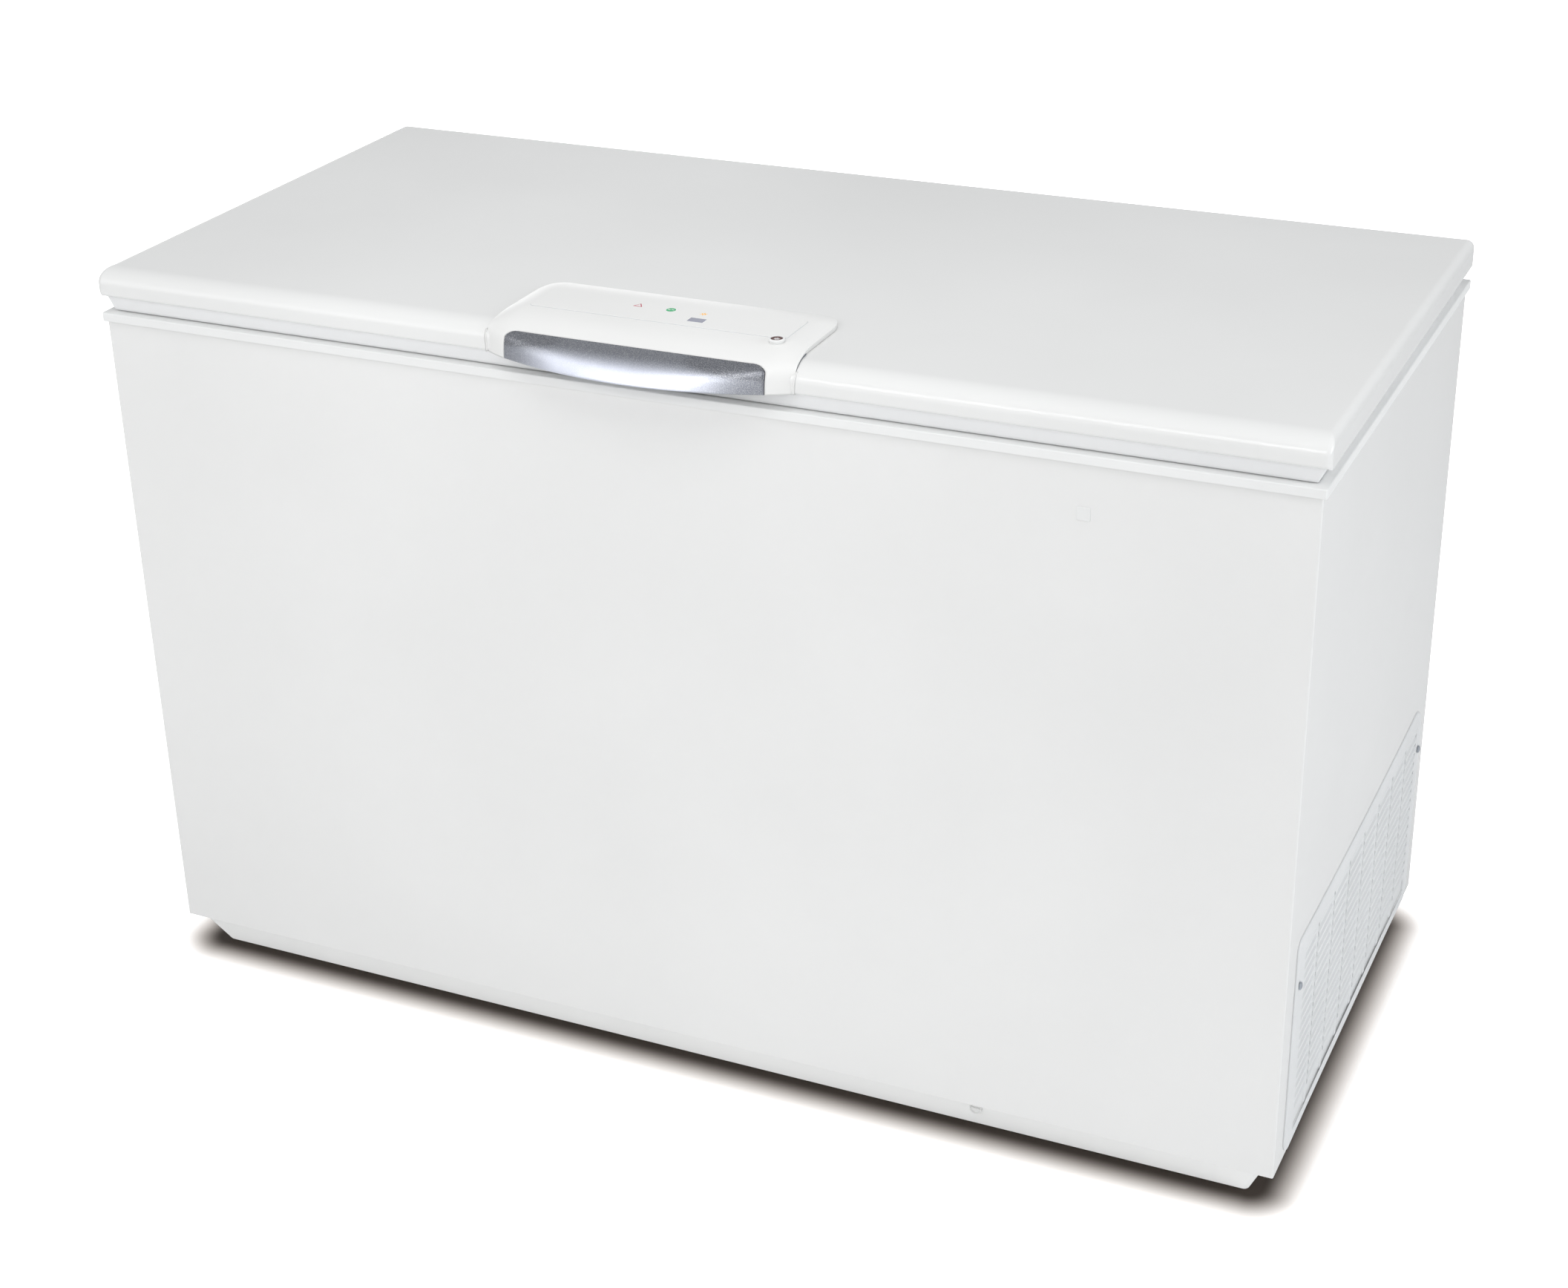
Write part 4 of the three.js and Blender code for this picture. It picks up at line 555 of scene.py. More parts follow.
class Wire:
    """One value in a node tree; sums and products on it add Math nodes."""

    def __init__(self, net: "Net", socket: bpy.types.NodeSocket) -> None:
        """Wraps an output socket of a net."""
        self.net = net
        self.socket = socket

    def _math(self, operation: str, *values: "Value") -> "Wire":
        """Adds one Math node.

        Args:
            operation: its operation.
            values: what goes into its sockets.

        Returns:
            Its output.
        """
        settings = {"operation": operation}
        return self.net.node("ShaderNodeMath", settings, dict(enumerate(values)))

    def __add__(self, other: "Value") -> "Wire":
        """self + other."""
        return self._math("ADD", self, other)

    def __radd__(self, other: float) -> "Wire":
        """other + self."""
        return self._math("ADD", other, self)

    def __sub__(self, other: "Value") -> "Wire":
        """self - other."""
        return self._math("SUBTRACT", self, other)

    def __rsub__(self, other: float) -> "Wire":
        """other - self."""
        return self._math("SUBTRACT", other, self)

    def __mul__(self, other: "Value") -> "Wire":
        """self * other."""
        return self._math("MULTIPLY", self, other)

    def __rmul__(self, other: float) -> "Wire":
        """other * self."""
        return self._math("MULTIPLY", other, self)

    def __truediv__(self, other: "Value") -> "Wire":
        """self / other."""
        return self._math("DIVIDE", self, other)

    def __pow__(self, other: "Value") -> "Wire":
        """self to the power of other."""
        return self._math("POWER", self, other)

    def __abs__(self) -> "Wire":
        """Size of self."""
        return self._math("ABSOLUTE", self)

    def nearest(self) -> "Wire":
        """Whole number nearest to self."""
        return self._math("ROUND", self)

    def least(self, other: "Value") -> "Wire":
        """Smaller of self and other."""
        return self._math("MINIMUM", self, other)

    def most(self, other: "Value") -> "Wire":
        """Larger of self and other."""
        return self._math("MAXIMUM", self, other)

    def step(self, low: float, high: float) -> "Wire":
        """Eased share of the way from low to high.

        Args:
            low: value that gives 0.
            high: value that gives 1.

        Returns:
            The share.
        """
        settings = {"interpolation_type": "SMOOTHSTEP"}
        places = {"Value": self, "From Min": low, "From Max": high}
        return self.net.node("ShaderNodeMapRange", settings, places)


Value = Union[Wire, float]


class Net:
    """Node tree of one finish, round a Principled shader."""

    def __init__(self, name: str) -> None:
        """Starts an empty tree with the shader and its output.

        Args:
            name: the material's name.
        """
        self.material = bpy.data.materials.new(name)
        self.material.use_nodes = True
        self.tree = self.material.node_tree
        self.tree.nodes.clear()
        self.shader = self.tree.nodes.new("ShaderNodeBsdfPrincipled")
        self.output = self.tree.nodes.new("ShaderNodeOutputMaterial")
        self.tree.links.new(self.shader.outputs[0], self.output.inputs[0])
        self._place: Wire | None = None

    @property
    def place(self) -> Wire:
        """Object coordinates, in metres.

        Returns:
            The vector.
        """
        if self._place is None:
            self._place = self.node("ShaderNodeTexCoord", {}, {}, "Object")
        return self._place

    def node(
        self,
        kind: str,
        settings: Mapping[str, Any] | None = None,
        sockets: Mapping[Any, Any] | None = None,
        output: Any = 0,
    ) -> Wire:
        """Adds a node.

        Args:
            kind: its type.
            settings: its properties; "stops" gives a colour ramp's (place, colour) pairs.
            sockets: values or wires for its inputs, by name or number.
            output: the output wanted, by name or number.

        Returns:
            That output.
        """
        node = self.tree.nodes.new(kind)
        for key, value in (settings or {}).items():
            if key == "stops":
                for i, (place, colour) in enumerate(value):
                    elements = node.color_ramp.elements
                    stop = elements[i] if i < 2 else elements.new(place)
                    stop.position = place
                    stop.color = (*colour, 1.0)
            else:
                setattr(node, key, value)
        for key, value in (sockets or {}).items():
            if isinstance(value, Wire):
                self.tree.links.new(value.socket, node.inputs[key])
            elif isinstance(value, tuple) and node.inputs[key].type == "RGBA":
                node.inputs[key].default_value = (*value, 1.0)
            else:
                node.inputs[key].default_value = value
        return Wire(self, node.outputs[output])

    def stretched(self, scale: Point, turn: Point = (0, 0, 0)) -> Wire:
        """Object coordinates scaled, and turned by degrees, by a Mapping node.

        Args:
            scale: factors along X, Y and Z.
            turn: degrees about them.

        Returns:
            The vector.
        """
        angles = tuple(math.radians(a) for a in turn)
        sockets = {"Vector": self.place, "Scale": scale, "Rotation": angles}
        return self.node("ShaderNodeMapping", {}, sockets)

    def noise(
        self, scale: float, detail: float = 2, at: Wire | None = None, warp: float = 0,
    ) -> Wire:
        """Soft noise of that many features a metre, about 0.5.

        Args:
            scale: features a metre.
            detail: octaves.
            at: coordinates, or the object's own.
            warp: how far the noise bends itself.

        Returns:
            Its value.
        """
        sockets = {"Vector": at or self.place, "Scale": scale, "Detail": detail, "Distortion": warp}
        return self.node("ShaderNodeTexNoise", {}, sockets, 0)

    def cells(
        self, scale: float, feature: str = "F1", at: Wire | None = None, output: str = "Distance",
    ) -> Wire:
        """Cells of that many a metre: the distance from their centres, or a colour for each."""
        sockets = {"Vector": at or self.place, "Scale": scale}
        return self.node("ShaderNodeTexVoronoi", {"feature": feature}, sockets, output)

    def parts(self, vector: Wire) -> tuple[Wire, Wire, Wire]:
        """X, Y and Z of a vector.

        Args:
            vector: the vector.

        Returns:
            Its three parts.
        """
        first = self.node("ShaderNodeSeparateXYZ", {}, {0: vector}, 0)
        outputs = first.socket.node.outputs
        return first, Wire(self, outputs[1]), Wire(self, outputs[2])

    def mix(self, share: Value, first: Any, second: Any, blend: str = "MIX") -> Wire:
        """Colour between two colours, by a share."""
        settings = {"data_type": "RGBA", "blend_type": blend}
        return self.node("ShaderNodeMix", settings, {0: share, 6: first, 7: second}, 2)

    def bump(self, height: Value, depth: float, below: Wire | None = None) -> Wire:
        """Normal of a relief.

        Args:
            height: relief, 0 to 1.
            depth: what 1 stands for, in metres.
            below: a normal that this relief lies on.

        Returns:
            The normal.
        """
        sockets = {"Height": height, "Distance": depth, "Strength": 1.0}
        if below:
            sockets["Normal"] = below
        return self.node("ShaderNodeBump", {}, sockets)

    def finish(self, **sockets: Any) -> bpy.types.Material:
        """Sets the shader's own sockets, whose names are written with _ for a space.

        Args:
            sockets: their values, or the links into them.

        Returns:
            The material.
        """
        for key, value in sockets.items():
            socket = self.shader.inputs[key.replace("_", " ")]
            if isinstance(value, Wire):
                self.tree.links.new(value.socket, socket)
            elif isinstance(value, tuple):
                socket.default_value = (*value, 1.0)
            else:
                socket.default_value = value
        return self.material


# ---------------------------------------------------------------- finishes


@dataclass(frozen=True)
class PaintedSteel:
    """Stove enamel on sheet steel: orange peel, slow waves of the sheet, faint tone changes."""

    name: str
    colour: Colour
    roughness: float = 0.34
    peel: float = 0.000012
    wave: float = 0.0006

    def material(self) -> bpy.types.Material:
        """Builds the finish.

        Returns:
            The material.
        """
        net = Net(self.name)
        slow = net.noise(2.2, 3)
        fine = net.noise(70, 3)
        darker = tuple(c * 0.965 for c in self.colour)
        lighter = tuple(min(c * 1.02, 0.95) for c in self.colour)
        tone = net.mix(slow.step(0.25, 0.75), darker, lighter)
        grime = net.noise(9, 5, warp=0.4).step(0.62, 0.8) * 0.035
        tone = net.mix(grime, tone, tuple(c * 0.78 for c in self.colour))
        sheet = net.bump(net.noise(1.6, 1), self.wave)
        skin = net.bump(net.noise(520, 2), self.peel, sheet)
        gloss = self.roughness + (fine - 0.5) * 0.07
        return net.finish(
            Base_Color=tone,
            Roughness=gloss,
            Specular_IOR_Level=0.3,
            Normal=skin,
            Coat_Weight=0.75,
            Coat_Roughness=0.05,
        )


@dataclass(frozen=True)
class Moulding:
    """Moulded plastic with an eroded grain, drawn in faint flow marks along its length.

    Attributes:
        name: of the material.
        colour: of the plastic.
        roughness: mean roughness.
        grain: features of the grain, a metre.
        depth: of the grain, in metres.
        contrast: share by which the tone wanders.
        dust_and_painted_shade: place of a face on X behind which the grooves are painted darker
            with depth, as painted shade, or 0.
    """

    name: str
    colour: Colour
    roughness: float = 0.42
    grain: float = 1400
    depth: float = 0.00001
    contrast: float = 0.04
    dust_and_painted_shade: float = 0.0

    def material(self) -> bpy.types.Material:
        """Builds the finish.

        Returns:
            The material.
        """
        net = Net(self.name)
        flow = net.noise(6, 3, net.stretched((0.5, 1, 1)), warp=0.6)
        tone = net.mix(
            flow.step(0.3, 0.7),
            tuple(c * (1 - self.contrast) for c in self.colour),
            self.colour,
        )
        # Painted shade: behind the face the colour darkens to 0.66 of itself with depth into the
        # grooves.
        if self.dust_and_painted_shade:
            x = net.parts(net.place)[0]
            tone = net.mix(
                x.step(self.dust_and_painted_shade - 0.0085, self.dust_and_painted_shade - 0.0025),
                tuple(c * 0.66 for c in self.colour), tone,
            )
        pits = net.cells(self.grain)
        gloss = self.roughness + (net.noise(240, 2) - 0.5) * 0.1
        skin = net.bump(pits, self.depth, net.bump(net.noise(30, 2), 0.00003))
        return net.finish(Base_Color=tone, Roughness=gloss, Normal=skin)


@dataclass(frozen=True)
class Sparkle:
    """Metallic paint on plastic: flakes of uneven brightness under a clear coat, with a painted
    dark reflection along the top and towards both ends.
    """

    name: str
    colour: Colour
    bright: Colour

    def material(self) -> bpy.types.Material:
        """Builds the finish.

        Returns:
            The material.
        """
        net = Net(self.name)
        flakes = net.cells(2800, output="Color")
        red, green, _ = net.parts(flakes)
        speck = red.step(0.55, 1.0)
        clouds = net.noise(45, 3)
        base = net.mix(clouds.step(0.3, 0.7), tuple(c * 0.93 for c in self.colour), self.colour)
        x, _, z = net.parts(net.place)
        # Painted reflection: towards the top edge and both ends the colour falls to 0.22 of itself,
        # as a dark room mirrored in the grip.
        shade = z.step(0.832, 0.846) * 0.92 + abs(x + 0.03).step(0.06, 0.135) * 0.8
        base = net.mix(shade.least(1.0), base, tuple(c * 0.22 for c in self.colour))
        tone = net.mix(speck * 0.42, base, self.bright)
        gloss = 0.31 + green * 0.12
        skin = net.bump(red, 0.00001, net.bump(net.noise(900, 1), 0.000008))
        return net.finish(
            Base_Color=tone,
            Metallic=0.72 + speck * 0.2,
            Roughness=gloss,
            Normal=skin,
            Coat_Weight=0.35,
            Coat_Roughness=0.12,
        )


@dataclass(frozen=True)
class Galvanised:
    """Zinc on steel: flat crystals of uneven tone, turned lines of the roll and a dull bloom."""

    name: str
    colour: Colour = (0.66, 0.68, 0.69)
    crystal: float = 170
    contrast: float = 0.12

    def material(self) -> bpy.types.Material:
        """Builds the finish.

        Returns:
            The material.
        """
        net = Net(self.name)
        bent_place = net.mix(
            0.03, net.place,
            net.node("ShaderNodeTexNoise", {}, {"Vector": net.place, "Scale": 9.0}, 1),
        )
        red, green, blue = net.parts(net.cells(self.crystal, at=bent_place, output="Color"))
        dull = tuple(c * (1 - self.contrast) for c in self.colour)
        pale = tuple(min(c * (1 + self.contrast), 1.0) for c in self.colour)
        tone = net.mix(red, dull, pale)
        bloom = net.noise(5, 5).step(0.5, 0.8)
        tone = net.mix(bloom * 0.25, tone, (0.62, 0.63, 0.64))
        gloss = 0.3 + green * 0.16 + bloom * 0.12
        lines = net.noise(260, 2, net.stretched((1, 1, 14)))
        skin = net.bump(blue, 0.000012, net.bump(lines, 0.000012))
        return net.finish(
            Base_Color=tone, Metallic=0.92 - bloom * 0.2, Roughness=gloss, Normal=skin,
        )


@dataclass(frozen=True)
class StuccoSheet:
    """Aluminium sheet embossed with the small worn bumps of cold-store linings."""

    name: str
    colour: Colour = (0.74, 0.76, 0.78)
    pattern: float = 150
    depth: float = 0.0004

    def material(self) -> bpy.types.Material:
        """Builds the finish.

        Returns:
            The material.
        """
        net = Net(self.name)
        hills = net.cells(self.pattern, "SMOOTH_F1", net.stretched((1, 1, 0.75), (0, 0, 20)))
        swirl = net.noise(self.pattern * 0.8, 1, warp=1.2)
        relief = hills.step(0.15, 0.75) * 0.6 + swirl.step(0.35, 0.65) * 0.4
        smear = net.noise(7, 4, net.stretched((1, 1, 0.35)))
        tone = net.mix(smear.step(0.3, 0.8), self.colour, tuple(c * 0.9 for c in self.colour))
        skin = net.bump(relief, self.depth, net.bump(net.noise(900, 2), 0.00001))
        gloss = 0.3 + smear * 0.12
        return net.finish(Base_Color=tone, Metallic=0.86, Roughness=gloss, Normal=skin)


@dataclass(frozen=True)
class DrawnMetal:
    """Drawn tube or wire: fine lines along it, a little tarnish.

    Attributes:
        name: of the material.
        colour: of the clean metal.
        tarnish: colour of the tarnish.
        amount: most of the surface that tarnish covers.
        roughness: mean roughness.
    """

    name: str
    colour: Colour
    tarnish: Colour
    amount: float = 0.35
    roughness: float = 0.28

    def material(self) -> bpy.types.Material:
        """Builds the finish.

        Returns:
            The material.
        """
        net = Net(self.name)
        stains = net.noise(28, 5, warp=0.5).step(0.45, 0.75)
        tone = net.mix(stains * self.amount, self.colour, self.tarnish)
        lines = net.noise(1300, 2, net.stretched((0.1, 1, 1)))
        gloss = self.roughness + stains * 0.15 + (lines - 0.5) * 0.1
        skin = net.bump(lines, 0.000008)
        return net.finish(
            Base_Color=tone, Metallic=0.95 - stains * 0.15, Roughness=gloss, Normal=skin,
        )


@dataclass(frozen=True)
class Rubber:
    """Soft rubber or vinyl: dull, with a fine pressed grain and dust in its hollows."""

    name: str
    colour: Colour
    roughness: float = 0.72

    def material(self) -> bpy.types.Material:
        """Builds the finish.

        Returns:
            The material.
        """
        net = Net(self.name)
        dust_and_painted_shade = net.noise(34, 5).step(0.45, 0.8)
        tone = net.mix(dust_and_painted_shade * 0.22, self.colour, tuple(c * 0.55 + 0.16 for c in self.colour))
        skin = net.bump(net.noise(1100, 3), 0.00002)
        gloss = self.roughness + dust_and_painted_shade * 0.1
        return net.finish(Base_Color=tone, Roughness=gloss, Normal=skin)


@dataclass(frozen=True)
class CastFoam:
    """Rigid foam as it sets: pores under a skin, with darker flow fronts."""

    name: str
    colour: Colour = (0.82, 0.71, 0.44)

    def material(self) -> bpy.types.Material:
        """Builds the finish.

        Returns:
            The material.
        """
        net = Net(self.name)
        pores = net.cells(420, "SMOOTH_F1")
        fronts = net.noise(5, 4, warp=1.5).step(0.4, 0.7)
        tone = net.mix(fronts, self.colour, tuple(c * 0.86 for c in self.colour))
        tone = net.mix(pores.step(0.1, 0.5) * 0.3, tone, tuple(c * 0.7 for c in self.colour))
        skin = net.bump(pores, 0.0004, net.bump(net.noise(60, 3), 0.0006))
        return net.finish(Base_Color=tone, Roughness=0.9 - pores * 0.1, Normal=skin)


@dataclass(frozen=True)
class Lens:
    """Coloured clear plastic of a small lamp: deeper colour at its rim, faint cells inside."""

    name: str
    colour: Colour
    glow: float = 0.12

    def material(self) -> bpy.types.Material:
        """Builds the finish.

        Returns:
            The material.
        """
        net = Net(self.name)
        inside = net.cells(900).step(0.1, 0.7)
        pale = tuple(min(c * 1.3 + 0.01, 1.0) for c in self.colour)
        tone = net.mix(inside, self.colour, pale)
        skin = net.bump(net.noise(500, 2), 0.00001)
        gloss = 0.14 + inside * 0.08
        return net.finish(
            Base_Color=tone,
            Roughness=gloss,
            Normal=skin,
            Coat_Weight=0.3,
            Emission_Color=tone,
            Emission_Strength=self.glow,
        )


@dataclass(frozen=True)
class Display:
    """Grey liquid-crystal window: two faint layers under glass."""

    name: str
    colour: Colour = (0.25, 0.26, 0.33)

    def material(self) -> bpy.types.Material:
        """Builds the finish.

        Returns:
            The material.
        """
        net = Net(self.name)
        drift = net.noise(60, 2).step(0.3, 0.7)
        rows = net.noise(2600, 1, net.stretched((1, 0.05, 1)))
        tone = net.mix(drift * 0.5 + rows * 0.2, self.colour, tuple(c * 1.3 for c in self.colour))
        gloss = 0.16 + rows * 0.08
        skin = net.bump(net.noise(300, 1), 0.000006)
        return net.finish(
            Base_Color=tone, Roughness=gloss, Normal=skin, Coat_Weight=0.8, Coat_Roughness=0.05,
        )


@dataclass(frozen=True)
class PrismCover:
    """Frosted lamp cover, pressed inside with a diamond net."""

    name: str
    colour: Colour = (0.86, 0.89, 0.9)

    def material(self) -> bpy.types.Material:
        """Builds the finish.

        Returns:
            The material.
        """
        net = Net(self.name)
        x, y, _ = net.parts(net.stretched((500, 500, 500), (0, 0, 45)))
        net_x = abs(x - x.nearest()) * 2
        net_y = abs(y - y.nearest()) * 2
        relief = net_x.most(net_y)
        tone = net.mix(relief * 0.35, self.colour, (0.7, 0.75, 0.78))
        skin = net.bump(relief, 0.0004)
        gloss = 0.2 + relief * 0.1
        return net.finish(
            Base_Color=tone, Roughness=gloss, Normal=skin, Transmission_Weight=0.55, IOR=1.49,
        )


@dataclass(frozen=True)
class CircuitBoard:
    """Green lacquer over copper tracks and pads."""

    name: str

    def material(self) -> bpy.types.Material:
        """Builds the finish.

        Returns:
            The material.
        """
        net = Net(self.name)
        _, y, _ = net.parts(net.stretched((260, 260, 260)))
        wander = net.noise(40, 1) * 6
        across = y + wander
        track = abs(across - across.nearest()).step(0.2, 0.26)
        pads = net.cells(130).step(0.24, 0.2)
        tone = net.mix(track, (0.02, 0.2, 0.08), (0.01, 0.12, 0.05))
        tone = net.mix(pads, tone, (0.6, 0.55, 0.42))
        skin = net.bump(track + pads, 0.00004)
        return net.finish(
            Base_Color=tone, Metallic=pads * 0.8, Roughness=0.42 - pads * 0.12, Normal=skin,
        )


class Finishes:
    """Every finish of the freezer, by the part of it that it covers."""

    def __init__(self) -> None:
        """Builds the materials once."""
        white = (0.79, 0.79, 0.783)
        self.enamel = PaintedSteel("white_enamel", white).material()
        # Painted light: the base's enamel is a lighter copy of the body's, for its faces that slope
        # down away from the lamps.
        self.base_enamel_painted_lighter = PaintedSteel("base_enamel_painted_lighter", (0.89, 0.89, 0.88)).material()
        self.lid_enamel = PaintedSteel(
            "white_enamel_lid", (0.78, 0.782, 0.775), 0.36, wave=0.0004,
        ).material()
        self.cover_plastic = Moulding(
            "cover_plastic", (0.785, 0.79, 0.785), 0.46, 1200, 0.000015,
        ).material()
        # The grille's grooves are painted darker with depth, as painted shade.
        self.grille_plastic = Moulding(
            "grille_plastic", (0.75, 0.76, 0.765), 0.46, 1200, 0.000015, dust_and_painted_shade=0.6643,
        ).material()
        self.white_plastic = Moulding(
            "white_plastic", (0.8, 0.8, 0.79), 0.4, 1500, 0.00001,
        ).material()
        self.frame_plastic = Moulding(
            "frame_plastic", (0.82, 0.825, 0.82), 0.44, 1300, 0.00001,
        ).material()
        self.lining = Moulding(
            "lining_sheet", (0.84, 0.845, 0.85), 0.38, 700, 0.00002, 0.03,
        ).material()
        self.coated_wire = Moulding(
            "coated_wire", (0.82, 0.83, 0.83), 0.36, 900, 0.00003,
        ).material()
        # The silver carries a painted dark reflection along its top and at its ends.
        self.silver = Sparkle("sparkle_silver", (0.74, 0.77, 0.88), (0.96, 0.98, 1.0)).material()
        self.zinc = Galvanised("galvanised_sheet").material()
        self.zinc_small = Galvanised("zinc_plate", (0.42, 0.45, 0.49), 500, 0.05).material()
        self.stucco = StuccoSheet("stucco_aluminium").material()
        self.foam = CastFoam("cast_foam").material()
        self.copper = DrawnMetal(
            "drawn_copper", (0.78, 0.4, 0.26), (0.22, 0.11, 0.08), 0.5,
        ).material()
        self.steel = DrawnMetal(
            "spring_steel", (0.6, 0.61, 0.63), (0.32, 0.3, 0.29), 0.25,
        ).material()
        self.aluminium = DrawnMetal(
            "drawn_aluminium", (0.75, 0.76, 0.78), (0.5, 0.5, 0.51), 0.3,
        ).material()
        self.black_enamel = PaintedSteel(
            "black_enamel", (0.018, 0.018, 0.02), 0.26, 0.00003, 0.0,
        ).material()
        self.black_plastic = Moulding(
            "black_plastic", (0.022, 0.022, 0.025), 0.5, 900, 0.00003, 0.2,
        ).material()
        self.black_rubber = Rubber("black_rubber", (0.022, 0.022, 0.022)).material()
        self.gasket = Rubber("gasket_vinyl", (0.62, 0.63, 0.64), 0.55).material()
        self.board = CircuitBoard("circuit_board").material()
        self.prism = PrismCover("lamp_cover").material()
        self.display = Display("display_window").material()
        self.red = Lens("lens_red", (0.34, 0.006, 0.035)).material()
        self.green = Lens("lens_green", (0.002, 0.3, 0.1)).material()
        self.yellow = Lens("lens_yellow", (0.75, 0.36, 0.005)).material()
        self.brown = Moulding(
            "button_brown", (0.085, 0.022, 0.018), 0.28, 1200, 0.000008, 0.2,
        ).material()
        self.mark = Moulding("printed_white", (0.82, 0.82, 0.82), 0.5, 1500, 0.000006).material()
        # Grey for the painted shade line round the control unit's raised field.
        self.seam = Moulding("painted_step_shade", (0.62, 0.63, 0.64), 0.6, 1500, 0.000006).material()
        # Dark for the painted shadow sheet between the control unit's cheeks and the lid.
        self.shade = Moulding(
            "painted_shadow_sheet", (0.12, 0.14, 0.17), 0.7, 800, 0.00003, 0.3,
        ).material()


# ---------------------------------------------------------------- shared fittings


def stack(rows: Any, steps: int = 6, caps: bool = False) -> Shell:
    """Rounded rectangles one after another, each joined to the next.

    Args:
        rows: (n, 6) sides x0, x1, y0, y1, corner radius and height of each.
        steps: spans of each corner.
        caps: the first and the last are closed.

    Returns:
        The surface.
    """
    x0, x1, y0, y1, radius, height = np.asarray(rows, float).T
    plan = ring(x0, x1, y0, y1, radius, steps)
    return grid(on_axis(plan, height[:, None], Axis.Z), around=True, caps=caps)


def screw_head(centre: Point, axis: Axis, radius: float, height: float, out: float = 1) -> Shell:
    """Pan head with a cross recess.

    On a grid of radius and angle the head stands height * sqrt(1 - (0.86 r)^2) high, less a
    recess where a point lies within an arm of the cross.

    Args:
        centre: middle of its seat.
        axis: its axis.
        radius: of the head.
        height: of the head.
        out: 1 where the head looks along the axis, -1 where it looks back.

    Returns:
        The surface.
    """
    r = np.linspace(0, 1, 15)[:, None]
    turn = np.linspace(0, 2 * math.pi, 64, endpoint=False)[None, :]
    a, b = r * np.cos(turn), r * np.sin(turn)
    roundness, arm, length, ease, cut = 0.86, 0.13, 0.52, 0.1, 0.6
    dome = height * np.sqrt(1 - (roundness * r) ** 2) * np.ones_like(turn)
    cross = np.maximum(
        smooth((arm * 1.5 - np.abs(a)) / arm * 1.4) * smooth((length - np.abs(b)) / ease),
        smooth((arm * 1.5 - np.abs(b)) / arm * 1.4) * smooth((length - np.abs(a)) / ease),
    )
    rise = dome - cross * height * cut
    plan = np.stack([a, b], -1) * radius
    foot = on_axis(plan[-1:], np.zeros((1, 1)), axis)
    points = np.concatenate([on_axis(plan, out * rise, axis), foot]) + np.array(centre)
    return grid(points, around=True).away_from(
        tuple(np.array(centre) - out * on_axis(np.zeros(2), 0.01, axis))
    )


@dataclass
class Assembly:
    """Sub-assembly of the freezer.

    Attributes:
        dress: finishes of its pieces.
    """

    dress: Finishes


# ---------------------------------------------------------------- cabinet


